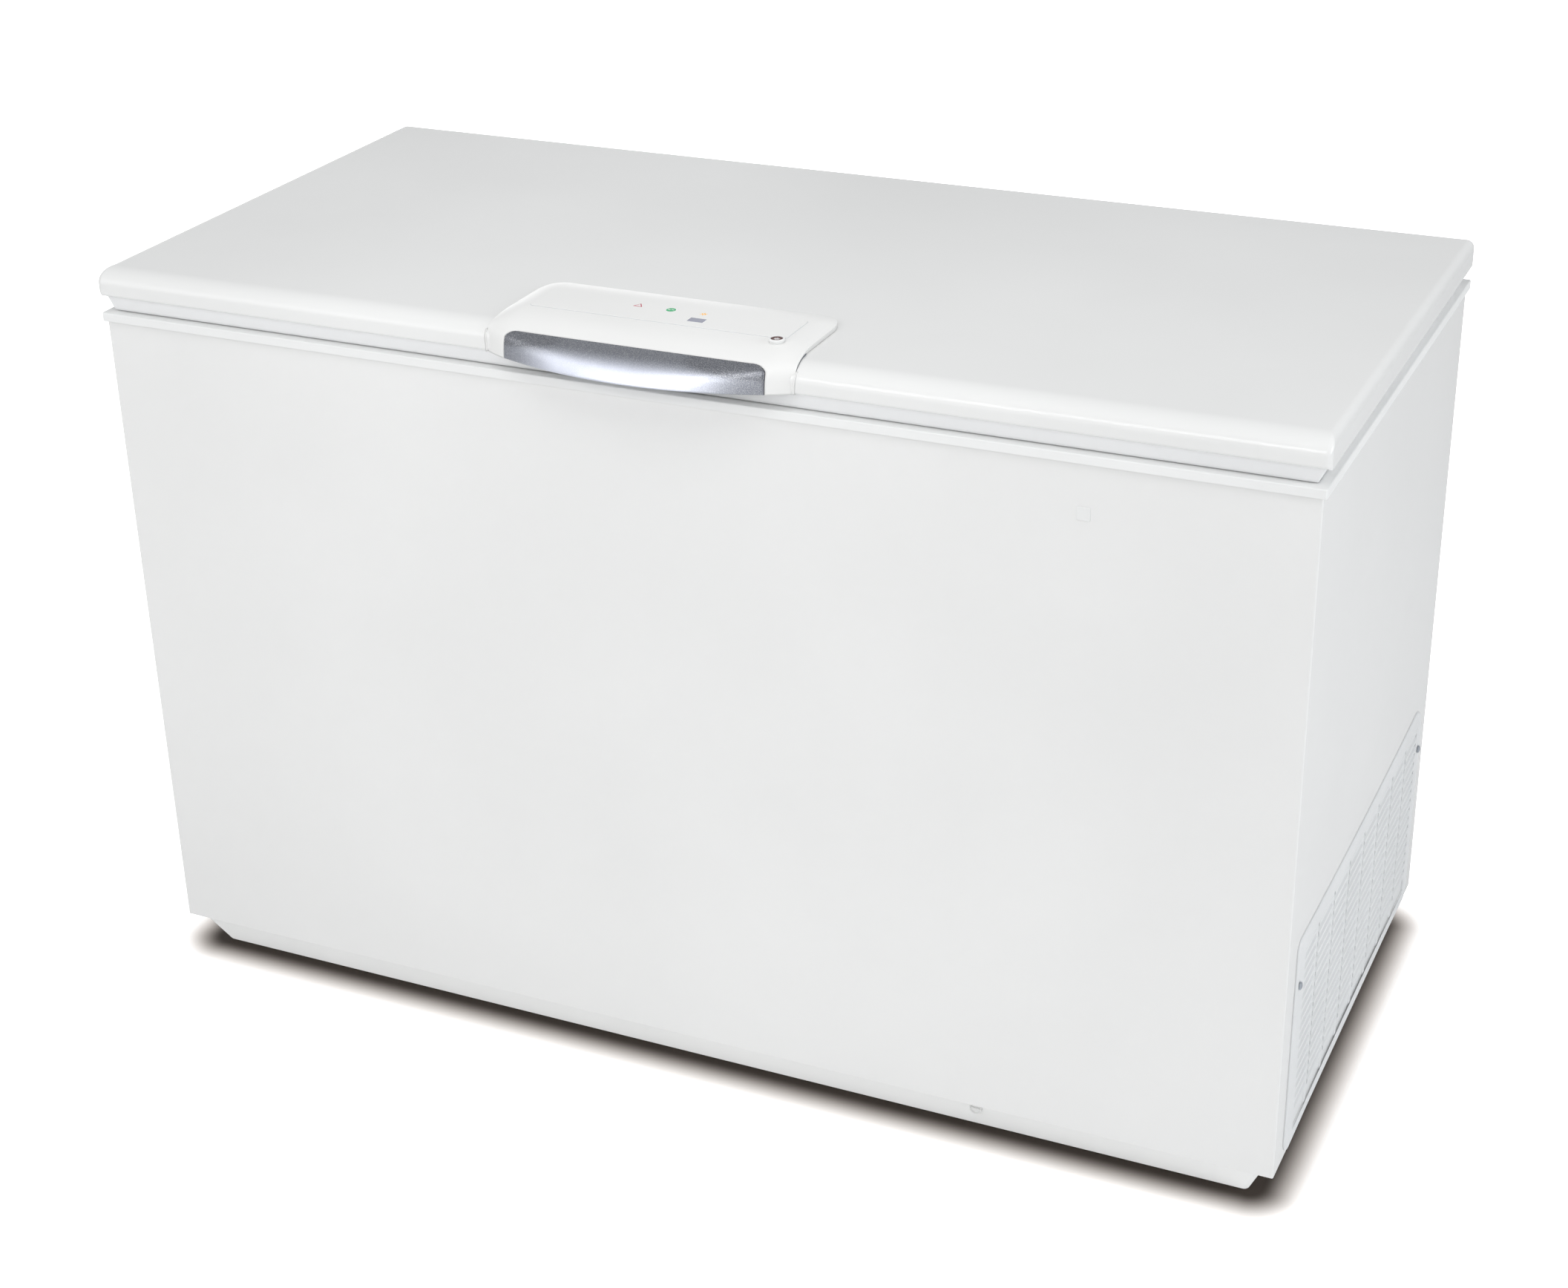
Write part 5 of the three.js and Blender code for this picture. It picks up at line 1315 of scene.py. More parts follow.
@dataclass
class Cabinet(Assembly):
    """Folded wrap, base, mouth frame and small fittings.

    Attributes:
        fold: radius of the wrap's front folds.
        hem: radius of its rear folds.
        sheet: thickness of the wrap.
        rear_return: width of the strip folded over the rear panel.
        window_seat: how far the bay's window lies inside the louvred cover's edge.
        base_taper: how far the base's foot lies inside its top, at the ends and at the front.
        base_wall: thickness of the base's sheet.
        base_lip: width of the lip folded in along its foot.
        frame_inner: width of the mouth frame.
        frame_inner_r: radius of the mouth's corners.
    """

    fold: float = 0.0018
    hem: float = 0.0015
    sheet: float = 0.001
    rear_return: float = 0.016
    window_seat: float = 0.0155
    base_taper: tuple[float, float] = (0.0205, 0.026)
    base_wall: float = 0.002
    base_lip: float = 0.012
    frame_inner: float = 0.0543
    frame_inner_r: float = 0.026

    def wrap(self) -> None:
        """Carries the plan of the folded sheet up the cabinet and leaves the bay's window open."""
        low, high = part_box("outer_wrap")
        cover_low, cover_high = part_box("side_cover")
        f, h = self.fold, self.hem
        y0, y1 = cover_low.y + self.window_seat, cover_high.y - self.window_seat
        z0, z1 = cover_low.z + self.window_seat, cover_high.z - self.window_seat
        plan = np.concatenate(
            [
                [(low.x + self.rear_return, high.y)],
                arc((low.x + h, high.y - h), h, 90, 180, 5),
                arc((low.x + f, low.y + f), f, 180, 270, 10),
                arc((high.x - f, low.y + f), f, 270, 360, 10),
                [(high.x, y0), (high.x, y1)],
                arc((high.x - h, high.y - h), h, 0, 90, 5),
                [(high.x - self.rear_return, high.y)],
            ]
        )
        heights = np.array([low.z, z0, z1, high.z])
        points = on_axis(np.stack([plan] * 4), heights[:, None], Axis.Z)
        shell = grid(points)
        first = int(np.flatnonzero((plan[:, 0] == high.x) & (plan[:, 1] == y0))[0])
        spans = len(plan) - 1
        shell.faces[0] = np.delete(shell.faces[0], spans + first, axis=0)
        shell = shell.away_from((0, 0, 0.4))
        piece = Piece("wrap_sheet", Body.CABINET, "white_paint", ("outer_wrap",), 50, self.sheet)
        piece.build(shell, self.dress.enamel)

    def base(self) -> None:
        """Sloping base: outer face, top edge, inner face and the lip folded in along the floor."""
        low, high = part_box("plinth_frame")
        side, front = self.base_taper
        lip, wall = self.base_lip, self.base_wall
        z = np.array([0.0, 0.0005, 0.0016, 0.05, 0.05, 0.004, 0.0022, 0.0022, 0.0])
        e = np.array([0.0014, 0.0004, 0.0, 0.0, wall, wall, wall + 0.002, lip, lip])
        share = 1 - z / high.z
        x, y = side * share + e, front * share + e
        plan = ring(low.x + x, high.x - x, low.y + y, high.y - y, np.maximum(0.006 - e, 0.001), 6)
        shell = grid(on_axis(plan, z[:, None], Axis.Z), around=True, along=True).outward()
        # Its enamel is painted lighter than the body's, as painted light.
        Piece(
            "base_frame", Body.CABINET, "white_paint", ("plinth_frame",),
        ).build(shell, self.dress.base_enamel_painted_lighter)

    def mouth(self) -> None:
        """White frame round the mouth: rounded outer edge, a fine groove, rounded inner edge."""
        low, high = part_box("mouth_frame")
        d, foot, outer, inner = self.frame_inner, 0.0007, 0.0014, 0.004
        section = np.concatenate(
            [
                arc((foot, low.z + foot), foot, 270, 180, 4),
                arc((outer, high.z - outer), outer, 180, 90, 6),
                [
                    (0.0195, high.z), (0.02, high.z - 0.0007), (0.0212, high.z - 0.0007),
                    (0.0217, high.z),
                ],
                [(0.034, high.z)],
                arc((d - inner, high.z - inner), inner, 90, 0, 6),
                [(d, low.z)],
            ]
        )
        depth = section[:, 0]
        r = np.where(depth < 0.03, np.maximum(0.002 - depth, 0.0008), self.frame_inner_r)
        plan = ring(low.x + depth, high.x - depth, low.y + depth, high.y - depth, r, 8)
        points = on_axis(plan, section[:, 1:], Axis.Z)
        shell = grid(points, around=True, along=True).outward()
        Piece(
            "mouth_rim", Body.CABINET, "white_plastic", ("mouth_frame",),
        ).build(shell, self.dress.frame_plastic)

    def front_cover(self) -> None:
        """Small square cover: a rounded tile with a shallow dished face."""
        low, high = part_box("front_blanking_cover")
        tile, stem = 0.0012, 0.003
        face, rear = low.y, low.y + tile
        a = np.array([0.0, 0.0, 0.0004, 0.001, 0.0022, 0.003])
        y = np.array([rear, face + 0.0005, face + 0.0001, face, face, face + 0.0002])
        plan = ring(low.x + a, high.x - a, low.z + a, high.z - a, np.maximum(0.0016 - a, 0.0004), 5)
        shell = grid(on_axis(plan, y[:, None], Axis.Y), around=True, caps=True).outward()
        stem_low = (low.x + stem, rear, low.z + stem)
        stem_high = (high.x - stem, high.y, high.z - stem)
        shell = shell + slab(stem_low, stem_high, Axis.Y, 0.001, 0.0004)
        piece = Piece("square_cover", Body.CABINET, "white_plastic", ("front_blanking_cover",))
        piece.build(shell, self.dress.cover_plastic)

    def drain_knob(self) -> None:
        """Round drain outlet: a dished cap with a grip bar across it on a short pipe."""
        low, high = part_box("drain_spout")
        x, _, z = middle(low, high)
        r, wall, dish = (high.x - low.x) / 2, 0.002, 0.0016
        front, deep = low.y, high.y - low.y
        profile = [(0, dish), (r - 0.0022, dish), (r - 0.0014, 0.0004)]
        bend = 0.0008
        profile += [tuple(p) for p in arc((r - bend, bend), bend, 240, 360, 5)]
        profile += [(r, deep - 0.0005), (r - 0.0005, deep), (r - wall, deep)]
        profile += [(r - wall, 0.004), (0, 0.004)]
        shell = revolved(profile, (x, front, z), Axis.Y, 40)
        bar = slab(
            (x - r * 0.72, front + 0.0002, z - 0.0009), (x + r * 0.72, front + 0.0019, z + 0.0009),
            Axis.Y, 0.0008, 0.0004,
        )
        Piece(
            "drain_knob_cap", Body.KNOB, "white_plastic", ("drain_spout",),
        ).build(shell + bar, self.dress.white_plastic)

    def rear_fixings(self) -> None:
        """Pan-head screws that hold the rear panel, along its edges."""
        low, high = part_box("outer_wrap")
        inner = self.rear_return / 2
        heights = np.linspace(low.z + 0.06, high.z - 0.05, 5)
        columns = [low.x + inner, high.x - inner]
        head = screw_head((0, 0, 0), Axis.Y, 0.0034, 0.0018)
        offsets = np.array([(x, high.y, z) for x in columns for z in heights])
        piece = Piece("rear_screws", Body.CABINET, "zinc")
        piece.build(head.copies(offsets), self.dress.zinc_small)

    def build(self) -> None:
        """Makes every piece and dresses the CAD sheets that stay."""
        self.wrap()
        self.base()
        self.mouth()
        self.front_cover()
        self.drain_knob()
        self.rear_fixings()
        keep(self.dress.zinc, "rear_panel", "bottom_panel", "bay_partition", "compressor_shelf")
        keep(self.dress.foam, "cabinet_foam")
        keep(self.dress.aluminium, "evaporator_tube")
        keep(self.dress.copper, "condenser_tube")
        keep(self.dress.black_plastic, "drain_pipe")


@dataclass
class SideCover(Assembly):
    """Louvred cover of the compressor bay, with its two screws.

    Attributes:
        radii: corner radii, from the low front corner anticlockwise as seen from the right.
        bow: how far the middle of the top and bottom edges is drawn in.
        field_margin: front, rear, low and top margins round the louvres.
        first_width: width of the front column.
        rib: width of the bars between columns.
        columns: their number.
        pitch: of the blades.
        blades: their number in a column.
        foot_slot: height of the tall slots under the blades.
        recess: how far a blade's upper edge lies behind the face.
    """

    radii: tuple[float, float, float, float] = (0.018, 0.015, 0.03, 0.014)
    bow: float = 0.0042
    field_margin: tuple[float, float, float, float] = (0.0325, 0.0185, 0.013, 0.024)
    first_width: float = 0.047
    rib: float = 0.009
    columns: int = 8
    pitch: float = 0.012
    blades: int = 17
    foot_slot: float = 0.018
    recess: float = 0.0072

    def outline(
        self, y0: float, y1: float, z0: float, z1: float, radii: Sequence[float], bow: float,
    ) -> Array:
        """Four corner arcs and the edges between them; the level edges bow in by 4 s (1 - s).

        Args:
            y0, y1: front and rear side.
            z0, z1: lowest and highest level.
            radii: of the four corners.
            bow: how far the level edges are drawn in at their middle.

        Returns:
            (n, 2) places, anticlockwise from the low front corner.
        """
        s = np.linspace(0, 1, 18)[1:-1]
        sag = bow * 4 * s * (1 - s)
        a, b, c, d = radii
        low = np.stack([y0 + a + (y1 - b - y0 - a) * s, z0 + sag], -1)
        top = np.stack([y1 - c + (y0 + d - y1 + c) * s, z1 - sag], -1)
        return np.concatenate(
            [
                arc((y0 + a, z0 + a), a, 180, 270, 8),
                low,
                arc((y1 - b, z0 + b), b, 270, 360, 8),
                arc((y1 - c, z1 - c), c, 0, 90, 8),
                top,
                arc((y0 + d, z1 - d), d, 90, 180, 8),
            ]
        )

    def build(self) -> None:
        """Makes the cover as one piece, and its screws."""
        low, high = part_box("side_cover")
        wrap_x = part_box("outer_wrap")[1].x
        seat, face = wrap_x + CLEARANCE / 4, high.x
        front, rear, foot, top = self.field_margin
        fy0, fy1, fz0, fz1 = low.y + front, high.y - rear, low.z + foot, high.z - top
        by = np.array([0, 0, 0.0003, 0.0011, 0.0024, 0.0044, 0.007, 0.0098, 0.0125])
        x = face - np.array(
            [face - seat, 0.0016, 0.001, 0.0004, 0.0001, 0, 0.00015, 0.0005, 0.0006]
        )
        rows = []
        for inset, level in zip(by, x):
            radii = [max(r - inset, 0.001) for r in self.radii]
            plan = self.outline(
                low.y + inset, high.y - inset, low.z + inset, high.z - inset, radii, self.bow,
            )
            rows.append(on_axis(plan, level, Axis.X))
        spigot = wrap_x - 0.004
        field = [
            (0.0006, face - 0.0006), (0.0, face - 0.0012), (0.0, spigot), (0.002, spigot),
            (0.002, seat),
        ]
        for grow, level in field:
            plan = self.outline(
                fy0 - grow, fy1 + grow, fz0 - grow, fz1 + grow, [0.0015 + grow] * 4, 0,
            )
            rows.append(on_axis(plan, level, Axis.X))
        shell = grid(np.stack(rows), around=True, along=True).outward()
        plane = face - 0.0007
        shell = shell + self._bars(fy0, fy1, fz0, fz1, spigot, plane)
        shell = shell + self._blades(fy0, fy1, fz0, plane)
        piece = Piece("louvred_cover", Body.CABINET, "white_plastic", ("side_cover",), 32)
        piece.build(shell, self.dress.grille_plastic)
        for end in ("front", "rear"):
            low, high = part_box(f"side_cover_screw_{end}")
            _, y, z = middle(low, high)
            head = screw_head((face, y, z), Axis.X, (high.y - low.y) / 2, high.x - face)
            shank = revolved(
                [(0, low.x), (0.0017, low.x + 0.001), (0.0017, face)], (0, y, z), Axis.X, 12,
            )
            piece = Piece(f"cover_screw_{end}", Body.CABINET, "zinc", (f"side_cover_screw_{end}",))
            piece.build(head + shank, self.dress.zinc_small)

    def _spans(self, y0: float, y1: float) -> Array:
        """(columns, 2) front and rear edge of each column: a narrow first one, then equal ones.

        Args:
            y0, y1: front and rear of the field.

        Returns:
            One row for each column.
        """
        rest = self.columns - 1
        width = (y1 - y0 - self.first_width - rest * self.rib) / rest
        starts = y0 + self.first_width + self.rib + np.arange(rest) * (width + self.rib)
        fronts = np.concatenate([[y0], starts])
        return np.stack([fronts, fronts + np.array([self.first_width] + [width] * rest)], -1)

    def _bars(self, y0: float, y1: float, z0: float, z1: float, x0: float, x1: float) -> Shell:
        """Upright bars between the columns and the level bar over the tall slots.

        Args:
            y0, y1, z0, z1: the field's sides.
            x0, x1: inner and outer end of the bars.

        Returns:
            One surface.
        """
        spans = self._spans(y0, y1)
        bars = [
            slab((x0, a, z0 - 0.0005), (x1 - 0.0008, b, z1 + 0.0005), Axis.X, 0.0012, 0.0024)
            for a, b in zip(spans[:-1, 1], spans[1:, 0])
        ]
        level = z0 + self.foot_slot
        bars.append(
            slab(
                (x0, y0 - 0.0005, level), (x1 - 0.0006, y1 + 0.0005, level + 0.0028), Axis.X,
                0.0008, 0.0006,
            )
        )
        return joined(bars)

    def _blades(self, y0: float, y1: float, z0: float, face: float) -> Shell:
        """One sloping blade in section, carried across each column and repeated up it.

        Args:
            y0, y1: front and rear of the field.
            z0: its lowest level.
            face: place of the blades' front edges.

        Returns:
            One surface, with a sunk strip behind each tall slot.
        """
        deep, rise = self.recess, self.pitch - 0.0004
        section = np.array(
            [
                (-0.0004, 0.0), (0.0, 0.0005), (0.0, 0.0046), (-0.0005, 0.0053),
                (-deep + 0.0005, rise - 0.0004), (-deep - 0.0004, rise),
                (-deep - 0.0012, rise - 0.0008), (-0.0026, 0.0036), (-0.0022, 0.0),
            ]
        )
        first = z0 + self.foot_slot + 0.0032
        heights = first + self.pitch * np.arange(self.blades)
        blades = []
        for a, b in self._spans(y0, y1):
            across = np.linspace(a - 0.0005, b + 0.0005, 2)
            rows = np.stack(
                [
                    np.stack([face + section[:, 0], np.full(len(section), y), section[:, 1]], -1)
                    for y in across
                ]
            )
            blade = grid(rows, around=True, caps=True).outward()
            offsets = np.stack([np.zeros(self.blades), np.zeros(self.blades), heights], -1)
            blades.append(blade.copies(offsets))
            sunk = slab(
                (face - 0.0036, a - 0.0005, z0 - 0.0005), (face - 0.002, b + 0.0005, first),
                Axis.X, 0.0006, 0.0003,
            )
            blades.append(sunk)
        return joined(blades)


# ---------------------------------------------------------------- inside


@dataclass
class Interior(Assembly):
    """Stepped tub, floor plug and the two wire baskets.

    Attributes:
        rim: width of the tub's flange under the mouth frame.
        ledge: width of the shelf that carries the baskets.
        ledge_depth: depth of the shelf under the rim.
        corner: radius of the tub's upright corners.
        step_x: place of the step over the compressor bay.
        step_z: height of the step.
        floor_round: radius between walls and floor.
        wall: thickness of the tub's sheet.
        wire: radius of the baskets' thin wires.
        rim_wire: radius of their rim wire.
    """

    rim: float = 0.02
    ledge: float = 0.012
    ledge_depth: float = 0.0241
    corner: float = 0.026
    step_x: float = 0.38
    step_z: float = 0.369
    floor_round: float = 0.02
    wall: float = 0.0012
    wire: float = 0.0014
    rim_wire: float = 0.0028

    def tub(self) -> None:
        """Level outlines of the hollow, rim to floor; at the step only the right end moves."""
        low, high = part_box("inner_tub")
        shelf = high.z - self.ledge_depth
        floor = low.z + self.wall
        inner = self.rim + self.ledge
        edge, root, step_root, step_edge = 0.0025, 0.003, 0.016, 0.012
        lip = arc((self.rim - edge, high.z - edge), edge, 90, 0, 4)
        heel = arc((self.rim + root, shelf + root), root, 180, 270, 4)
        nose = arc((inner - edge, shelf - edge), edge, 90, 0, 4)
        upper = np.concatenate([[(0.0, high.z)], lip, heel, nose])
        x_wall = high.x - inner
        inside = arc((x_wall - step_root, self.step_z + step_root), step_root, 0, -90, 6)
        outside = arc(
            (self.step_x + step_edge, self.step_z - step_edge), step_edge, 90, 180, 6
        )
        r = self.floor_round
        foot = arc((r, floor + r), r, 180, 270, 8)
        d = np.concatenate(
            [upper[:, 0], np.full(len(inside) + len(outside), inner), inner + foot[:, 0]]
        )
        x1 = np.concatenate(
            [high.x - upper[:, 0], inside[:, 0], outside[:, 0], self.step_x - foot[:, 0]]
        )
        z = np.concatenate([upper[:, 1], inside[:, 1], outside[:, 1], foot[:, 1]])
        radius = np.full(len(z), self.corner)
        radius[:12] += inner - d[:12]
        radius[-len(foot):] -= foot[:, 0] * 0.8
        rows = np.stack([low.x + d, x1, low.y + d, high.y - d, radius, z], -1)
        x, y, _ = middle(*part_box("drain_plug"))
        near = [(x - b, x + b, y - b, y + b, r, z) for b, r, z in self.outlet(floor)]
        whole = stack(np.concatenate([rows, near]), 8).away_from((-0.1, 0.014, 0.6)).flipped()
        piece = Piece(
            "tub_lining", Body.CABINET, "embossed_aluminium", ("inner_tub",), 50, self.wall,
        )
        piece.build(whole, self.dress.stucco)

    @staticmethod
    def outlet(floor: float) -> list[tuple[float, float, float]]:
        """Half width, corner radius and height of the outlines round the drain hole.

        Args:
            floor: level of the tub's floor.

        Returns:
            One row for each outline.
        """
        return [
            (0.027, 0.02, floor), (0.019, 0.019, floor), (0.0108, 0.0108, floor),
            (0.0108, 0.0108, floor - 0.004),
        ]

    def plug(self) -> None:
        """Rubber plug with a moulded ring to pull it by."""
        low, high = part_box("drain_plug")
        centre = upright(low, high)
        r = (high.x - low.x) / 2
        profile = [(0, low.z), (0.0086, low.z), (0.0094, low.z + 0.001), (0.0106, high.z - 0.0046)]
        profile += [
            (r - 0.001, high.z - 0.0042), (r, high.z - 0.0034), (r - 0.0004, high.z - 0.0022),
        ]
        profile += [(r - 0.002, high.z - 0.0014), (0.006, high.z - 0.0012), (0, high.z - 0.0012)]
        shell = revolved(profile, centre, Axis.Z, 48)
        points, reach, wire = 32, 0.0085, 0.001
        turn = np.linspace(0, 2 * math.pi, points + 1)[:-1]
        x, y = centre[0] + reach * np.cos(turn), centre[1] + reach * np.sin(turn)
        loop = np.stack([x, y, np.full(points, high.z - 0.001)], -1)
        shell = shell + tube(loop, wire, 10, closed=True)
        Piece(
            "rubber_plug", Body.PLUG, "black_rubber", ("drain_plug",),
        ).build(shell, self.dress.black_rubber)

    def basket(self, side: str, body: Body) -> None:
        """Welded wires: a rim on the ledges, level hoops, and bent wires across and along.

        Args:
            side: left or right.
            body: the basket's body.
        """
        low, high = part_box(f"basket_{side}")
        a, w, rim = self.rim_wire, self.wire, high.z - self.rim_wire
        x0, x1, y0, y1 = low.x + a, high.x - a, low.y + a, high.y - a
        hook, bend, across_count, along_count = 0.02, 0.008, 18, 7
        body_y0, body_y1 = low.y + hook, high.y - hook
        foot = low.z + w

        def loop(inset: float, z: float, radius: float, y_inset: float) -> Shell:
            """Closed hoop: a rounded rectangle of wire at one height."""
            plan = ring(x0 + inset, x1 - inset, y0 + y_inset, y1 - y_inset, 0.02, 6)
            return tube(on_axis(plan, z, Axis.Z), radius, 8, closed=True)

        wires = [loop(0, rim, a, 0)]
        wires += [
            loop(0.003 + 0.004 * s, rim - (rim - foot) * s, w, 0.0185 + 0.003 * s)
            for s in (0.26, 0.52, 0.78)
        ]
        across = [
            (x0, 0, rim), (x0 + 0.0015, 0, rim - 0.01), (x0 + 0.0085, 0, foot),
            (x1 - 0.0085, 0, foot), (x1 - 0.0015, 0, rim - 0.01), (x1, 0, rim),
        ]
        wire = tube(bent(across, bend), w, 6, up=(0, 1, 0))
        places = np.linspace(body_y0 + 0.022, body_y1 - 0.022, across_count)
        level = np.zeros(across_count)
        wires.append(wire.copies(np.stack([level, places, level], -1)))
        along = [
            (0, y0, rim), (0, body_y0, rim), (0, body_y0 + 0.005, foot + 2 * w),
            (0, body_y1 - 0.005, foot + 2 * w), (0, body_y1, rim), (0, y1, rim),
        ]
        wire = tube(bent(along, bend), w, 6, up=(1, 0, 0))
        places = np.linspace(x0 + 0.028, x1 - 0.028, along_count)
        level = np.zeros(along_count)
        wires.append(wire.copies(np.stack([places, level, level], -1)))
        piece = Piece(f"wire_basket_{side}", body, "white_plastic", (f"basket_{side}",))
        piece.build(joined(wires), self.dress.coated_wire)

    def build(self) -> None:
        """Makes every piece."""
        self.tub()
        self.plug()
        self.basket("left", Body.LEFT_BASKET)
        self.basket("right", Body.RIGHT_BASKET)


# ---------------------------------------------------------------- lid


@dataclass
class Lid(Assembly):
    """Painted lid, its lining, gasket and inside lamp.

    Attributes:
        nose: half axes of the rounded front's upper quarter.
        chin: height over the floor at which the front's upright part ends, and the radius under it.
        tuck: how far the sheet runs in under the front.
        lip: height of the ends' lower edges over the shell's lowest point, front and rear.
        edge: radius of the ends' upper edges.
        rear_edge: radius of the rear's.
        corner: radius of the upright corners.
        sheet: thickness.
    """

    nose: tuple[float, float] = (0.0265, 0.0165)
    chin: tuple[float, float] = (0.8242, 0.0036)
    tuck: float = 0.0072
    lip: tuple[float, float] = (0.0052, 0.0082)
    edge: float = 0.009
    rear_edge: float = 0.006
    corner: float = 0.0065
    sheet: float = 0.0008

    def shell(self) -> None:
        """Draws the outline in level by level, by one profile in front and another at the ends.

        At a corner, a point whose outward direction is (cos t, sin t) takes the height of the
        end's profile times cos^2 t plus that of the front's or rear's times sin^2 t.
        """
        low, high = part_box("lid_shell")
        nose = self.nose
        seam = high.z - nose[1]
        fall, turn = self.chin
        upper = arc((nose[0], seam), nose, 90, 180, 16)
        upright = np.stack([(0.0, 0.0), np.linspace(seam, fall, 4)[1:-1]], -1)
        lower = arc((turn, fall), turn, 180, 258, 6)
        hem = [
            (0.005, fall - turn), (self.tuck - 0.0006, fall - turn + 0.0002),
            (self.tuck, fall - turn + 0.001),
        ]
        front = np.concatenate([[(nose[0] + 0.002, high.z)], upper, upright, lower, hem])
        side = self._edge(self.edge, high.z, len(front))
        rear = self._edge(self.rear_edge, high.z, len(front))
        radius = np.maximum(self.corner - np.minimum(front[:, 0], side[:, 0]) * 0.8, 0.002)
        steps = 8
        plan = ring(
            low.x + side[:, 0], high.x - side[:, 0], low.y + front[:, 0], high.y - rear[:, 0],
            radius, steps,
        )
        along = (plan[..., 1] - low.y) / (high.y - low.y)
        lip = self.lip[0] + (self.lip[1] - self.lip[0]) * along
        fall = (high.z - side[:, 1:]) / (high.z - side[-1, 1])
        end_z = high.z - fall * (high.z - low.z - lip)
        turn = corner_turns(steps)
        across = np.where(np.sin(turn) < 0, front[:, 1:], end_z)
        share = np.sin(turn) ** 2
        points = on_axis(plan, end_z * (1 - share) + across * share, Axis.Z)
        shell = grid(points, around=True)
        top = np.arange(points.shape[1])[None, ::-1]
        shell = Shell(shell.points, shell.faces + [top]).away_from((0, 0, 0.7))
        piece = Piece("lid_panel", Body.LID, "white_paint", ("lid_shell",), 50, self.sheet)
        piece.build(shell, self.dress.lid_enamel)

    def _edge(self, radius: float, top: float, count: int) -> Array:
        """(count, 2) inset and height down an end: level start, quarter arc, straight fall, hem.

        Args:
            radius: of the quarter arc.
            top: level of the start.
            count: number of places.

        Returns:
            The places, in order.
        """
        drop = 0.03
        turn = 12
        round_over = arc((radius, top - radius), radius, 90, 180, turn)
        rest = count - turn - 2 - 3
        fall = np.linspace(top - radius, top - drop + 0.0008, rest + 1)[1:]
        wall = np.stack([np.zeros(rest), fall], -1)
        hem = np.array(
            [(0.0003, top - drop + 0.0002), (0.001, top - drop), (0.0064, top - drop + 0.0004)]
        )
        return np.concatenate([[(radius + 0.002, top)], round_over, wall, hem])

    def lining(self) -> None:
        """Formed sheet: sloping edge, gasket channel, drafted plug with a pressed bead."""
        low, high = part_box("lid_lining")
        seal_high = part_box("lid_seal")[1]
        lid_low, lid_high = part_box("lid_shell")
        d = high.x - seal_high.x + 0.0001
        plug = 0.0588
        band = low.z + 0.0122
        start = self.chin[0] - self.chin[1] + 0.0008
        tuck = self.tuck
        front = np.array(
            [
                (tuck - 0.0012, start), (tuck - 0.0004, start - 0.0012),
                (tuck + 0.0006, start - 0.004), (tuck + 0.0012, start - 0.0072),
                (tuck + 0.0016, start - 0.0105), (tuck + 0.0019, start - 0.0136),
                (tuck + 0.0024, start - 0.016), (tuck + 0.0036, band + 0.0003),
                (tuck + 0.0056, band - 0.0001),
            ]
        )
        share = (start - front[:, 1]) / (start - band)
        side = 0.0044 + 0.0086 * share
        rear = 0.0014 + 0.0162 * share
        radius = 0.0022 - 0.0008 * share
        sides = [lid_low.x + side, lid_high.x - side, lid_low.y + front[:, 0], lid_high.y - rear]
        edge = np.stack(sides + [radius, front[:, 1]], -1)
        steps = [
            (d - 0.0006, band, 0.012), (d - 0.0001, band + 0.0006, 0.012),
            (d, band + 0.0042, 0.012), (d + 0.0145, band + 0.0042, 0.012),
            (d + 0.0147, band + 0.0006, 0.012), (d + 0.0152, band, 0.012),
            (plug - 0.002, band, 0.03), (plug - 0.0004, band - 0.0008, 0.03),
            (plug + 0.0028, low.z + 0.0022, 0.03), (plug + 0.0037, low.z + 0.0006, 0.03),
            (plug + 0.0055, low.z, 0.03), (0.105, low.z, 0.03), (0.1064, low.z + 0.0012, 0.03),
            (0.1144, low.z + 0.0012, 0.024), (0.1158, low.z, 0.024), (0.118, low.z, 0.024),
        ]
        inset, height, radius = np.array(steps).T
        tail = high.y - inset
        rows = np.stack([low.x + inset, high.x - inset, low.y + inset, tail, radius, height], -1)
        spans = 6
        shell = stack(np.concatenate([edge, rows]), spans)
        count = len(shell.points)
        field_cap = np.arange(count - 4 * (spans + 1), count)[None]
        shell = Shell(shell.points, shell.faces + [field_cap]).away_from((0, 0, 1.2))
        piece = Piece("lid_liner", Body.LID, "lining_plastic", ("lid_lining",), 50, 0.0012)
        piece.build(shell, self.dress.lining)

    def seal(self) -> None:
        """Magnetic gasket: a bellows in section, with two grooves along its face."""
        low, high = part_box("lid_seal")
        w, foot, face = 0.014, high.z, low.z
        section = np.array(
            [
                (0.0, face + 0.0012), (0.0006, face + 0.0003), (0.0016, face), (0.0042, face),
                (0.0047, face + 0.0006), (0.0052, face), (0.0088, face), (0.0093, face + 0.0006),
                (0.0098, face), (0.0124, face), (0.0134, face + 0.0003), (w, face + 0.0012),
                (w - 0.0005, face + 0.0026), (w - 0.0016, face + 0.0032),
                (w - 0.0008, face + 0.004), (w - 0.0008, face + 0.0052),
                (0.0092, face + 0.0053), (0.009, foot), (0.005, foot),
                (0.0048, face + 0.0053), (0.0008, face + 0.0052), (0.0008, face + 0.004),
                (0.0016, face + 0.0032), (0.0005, face + 0.0026),
            ]
        )
        shell = hoop((low.x, high.x, low.y, high.y), 0.012, section, 6)
        Piece("gasket", Body.LID, "seal_rubber", ("lid_seal",), 45).build(shell, self.dress.gasket)

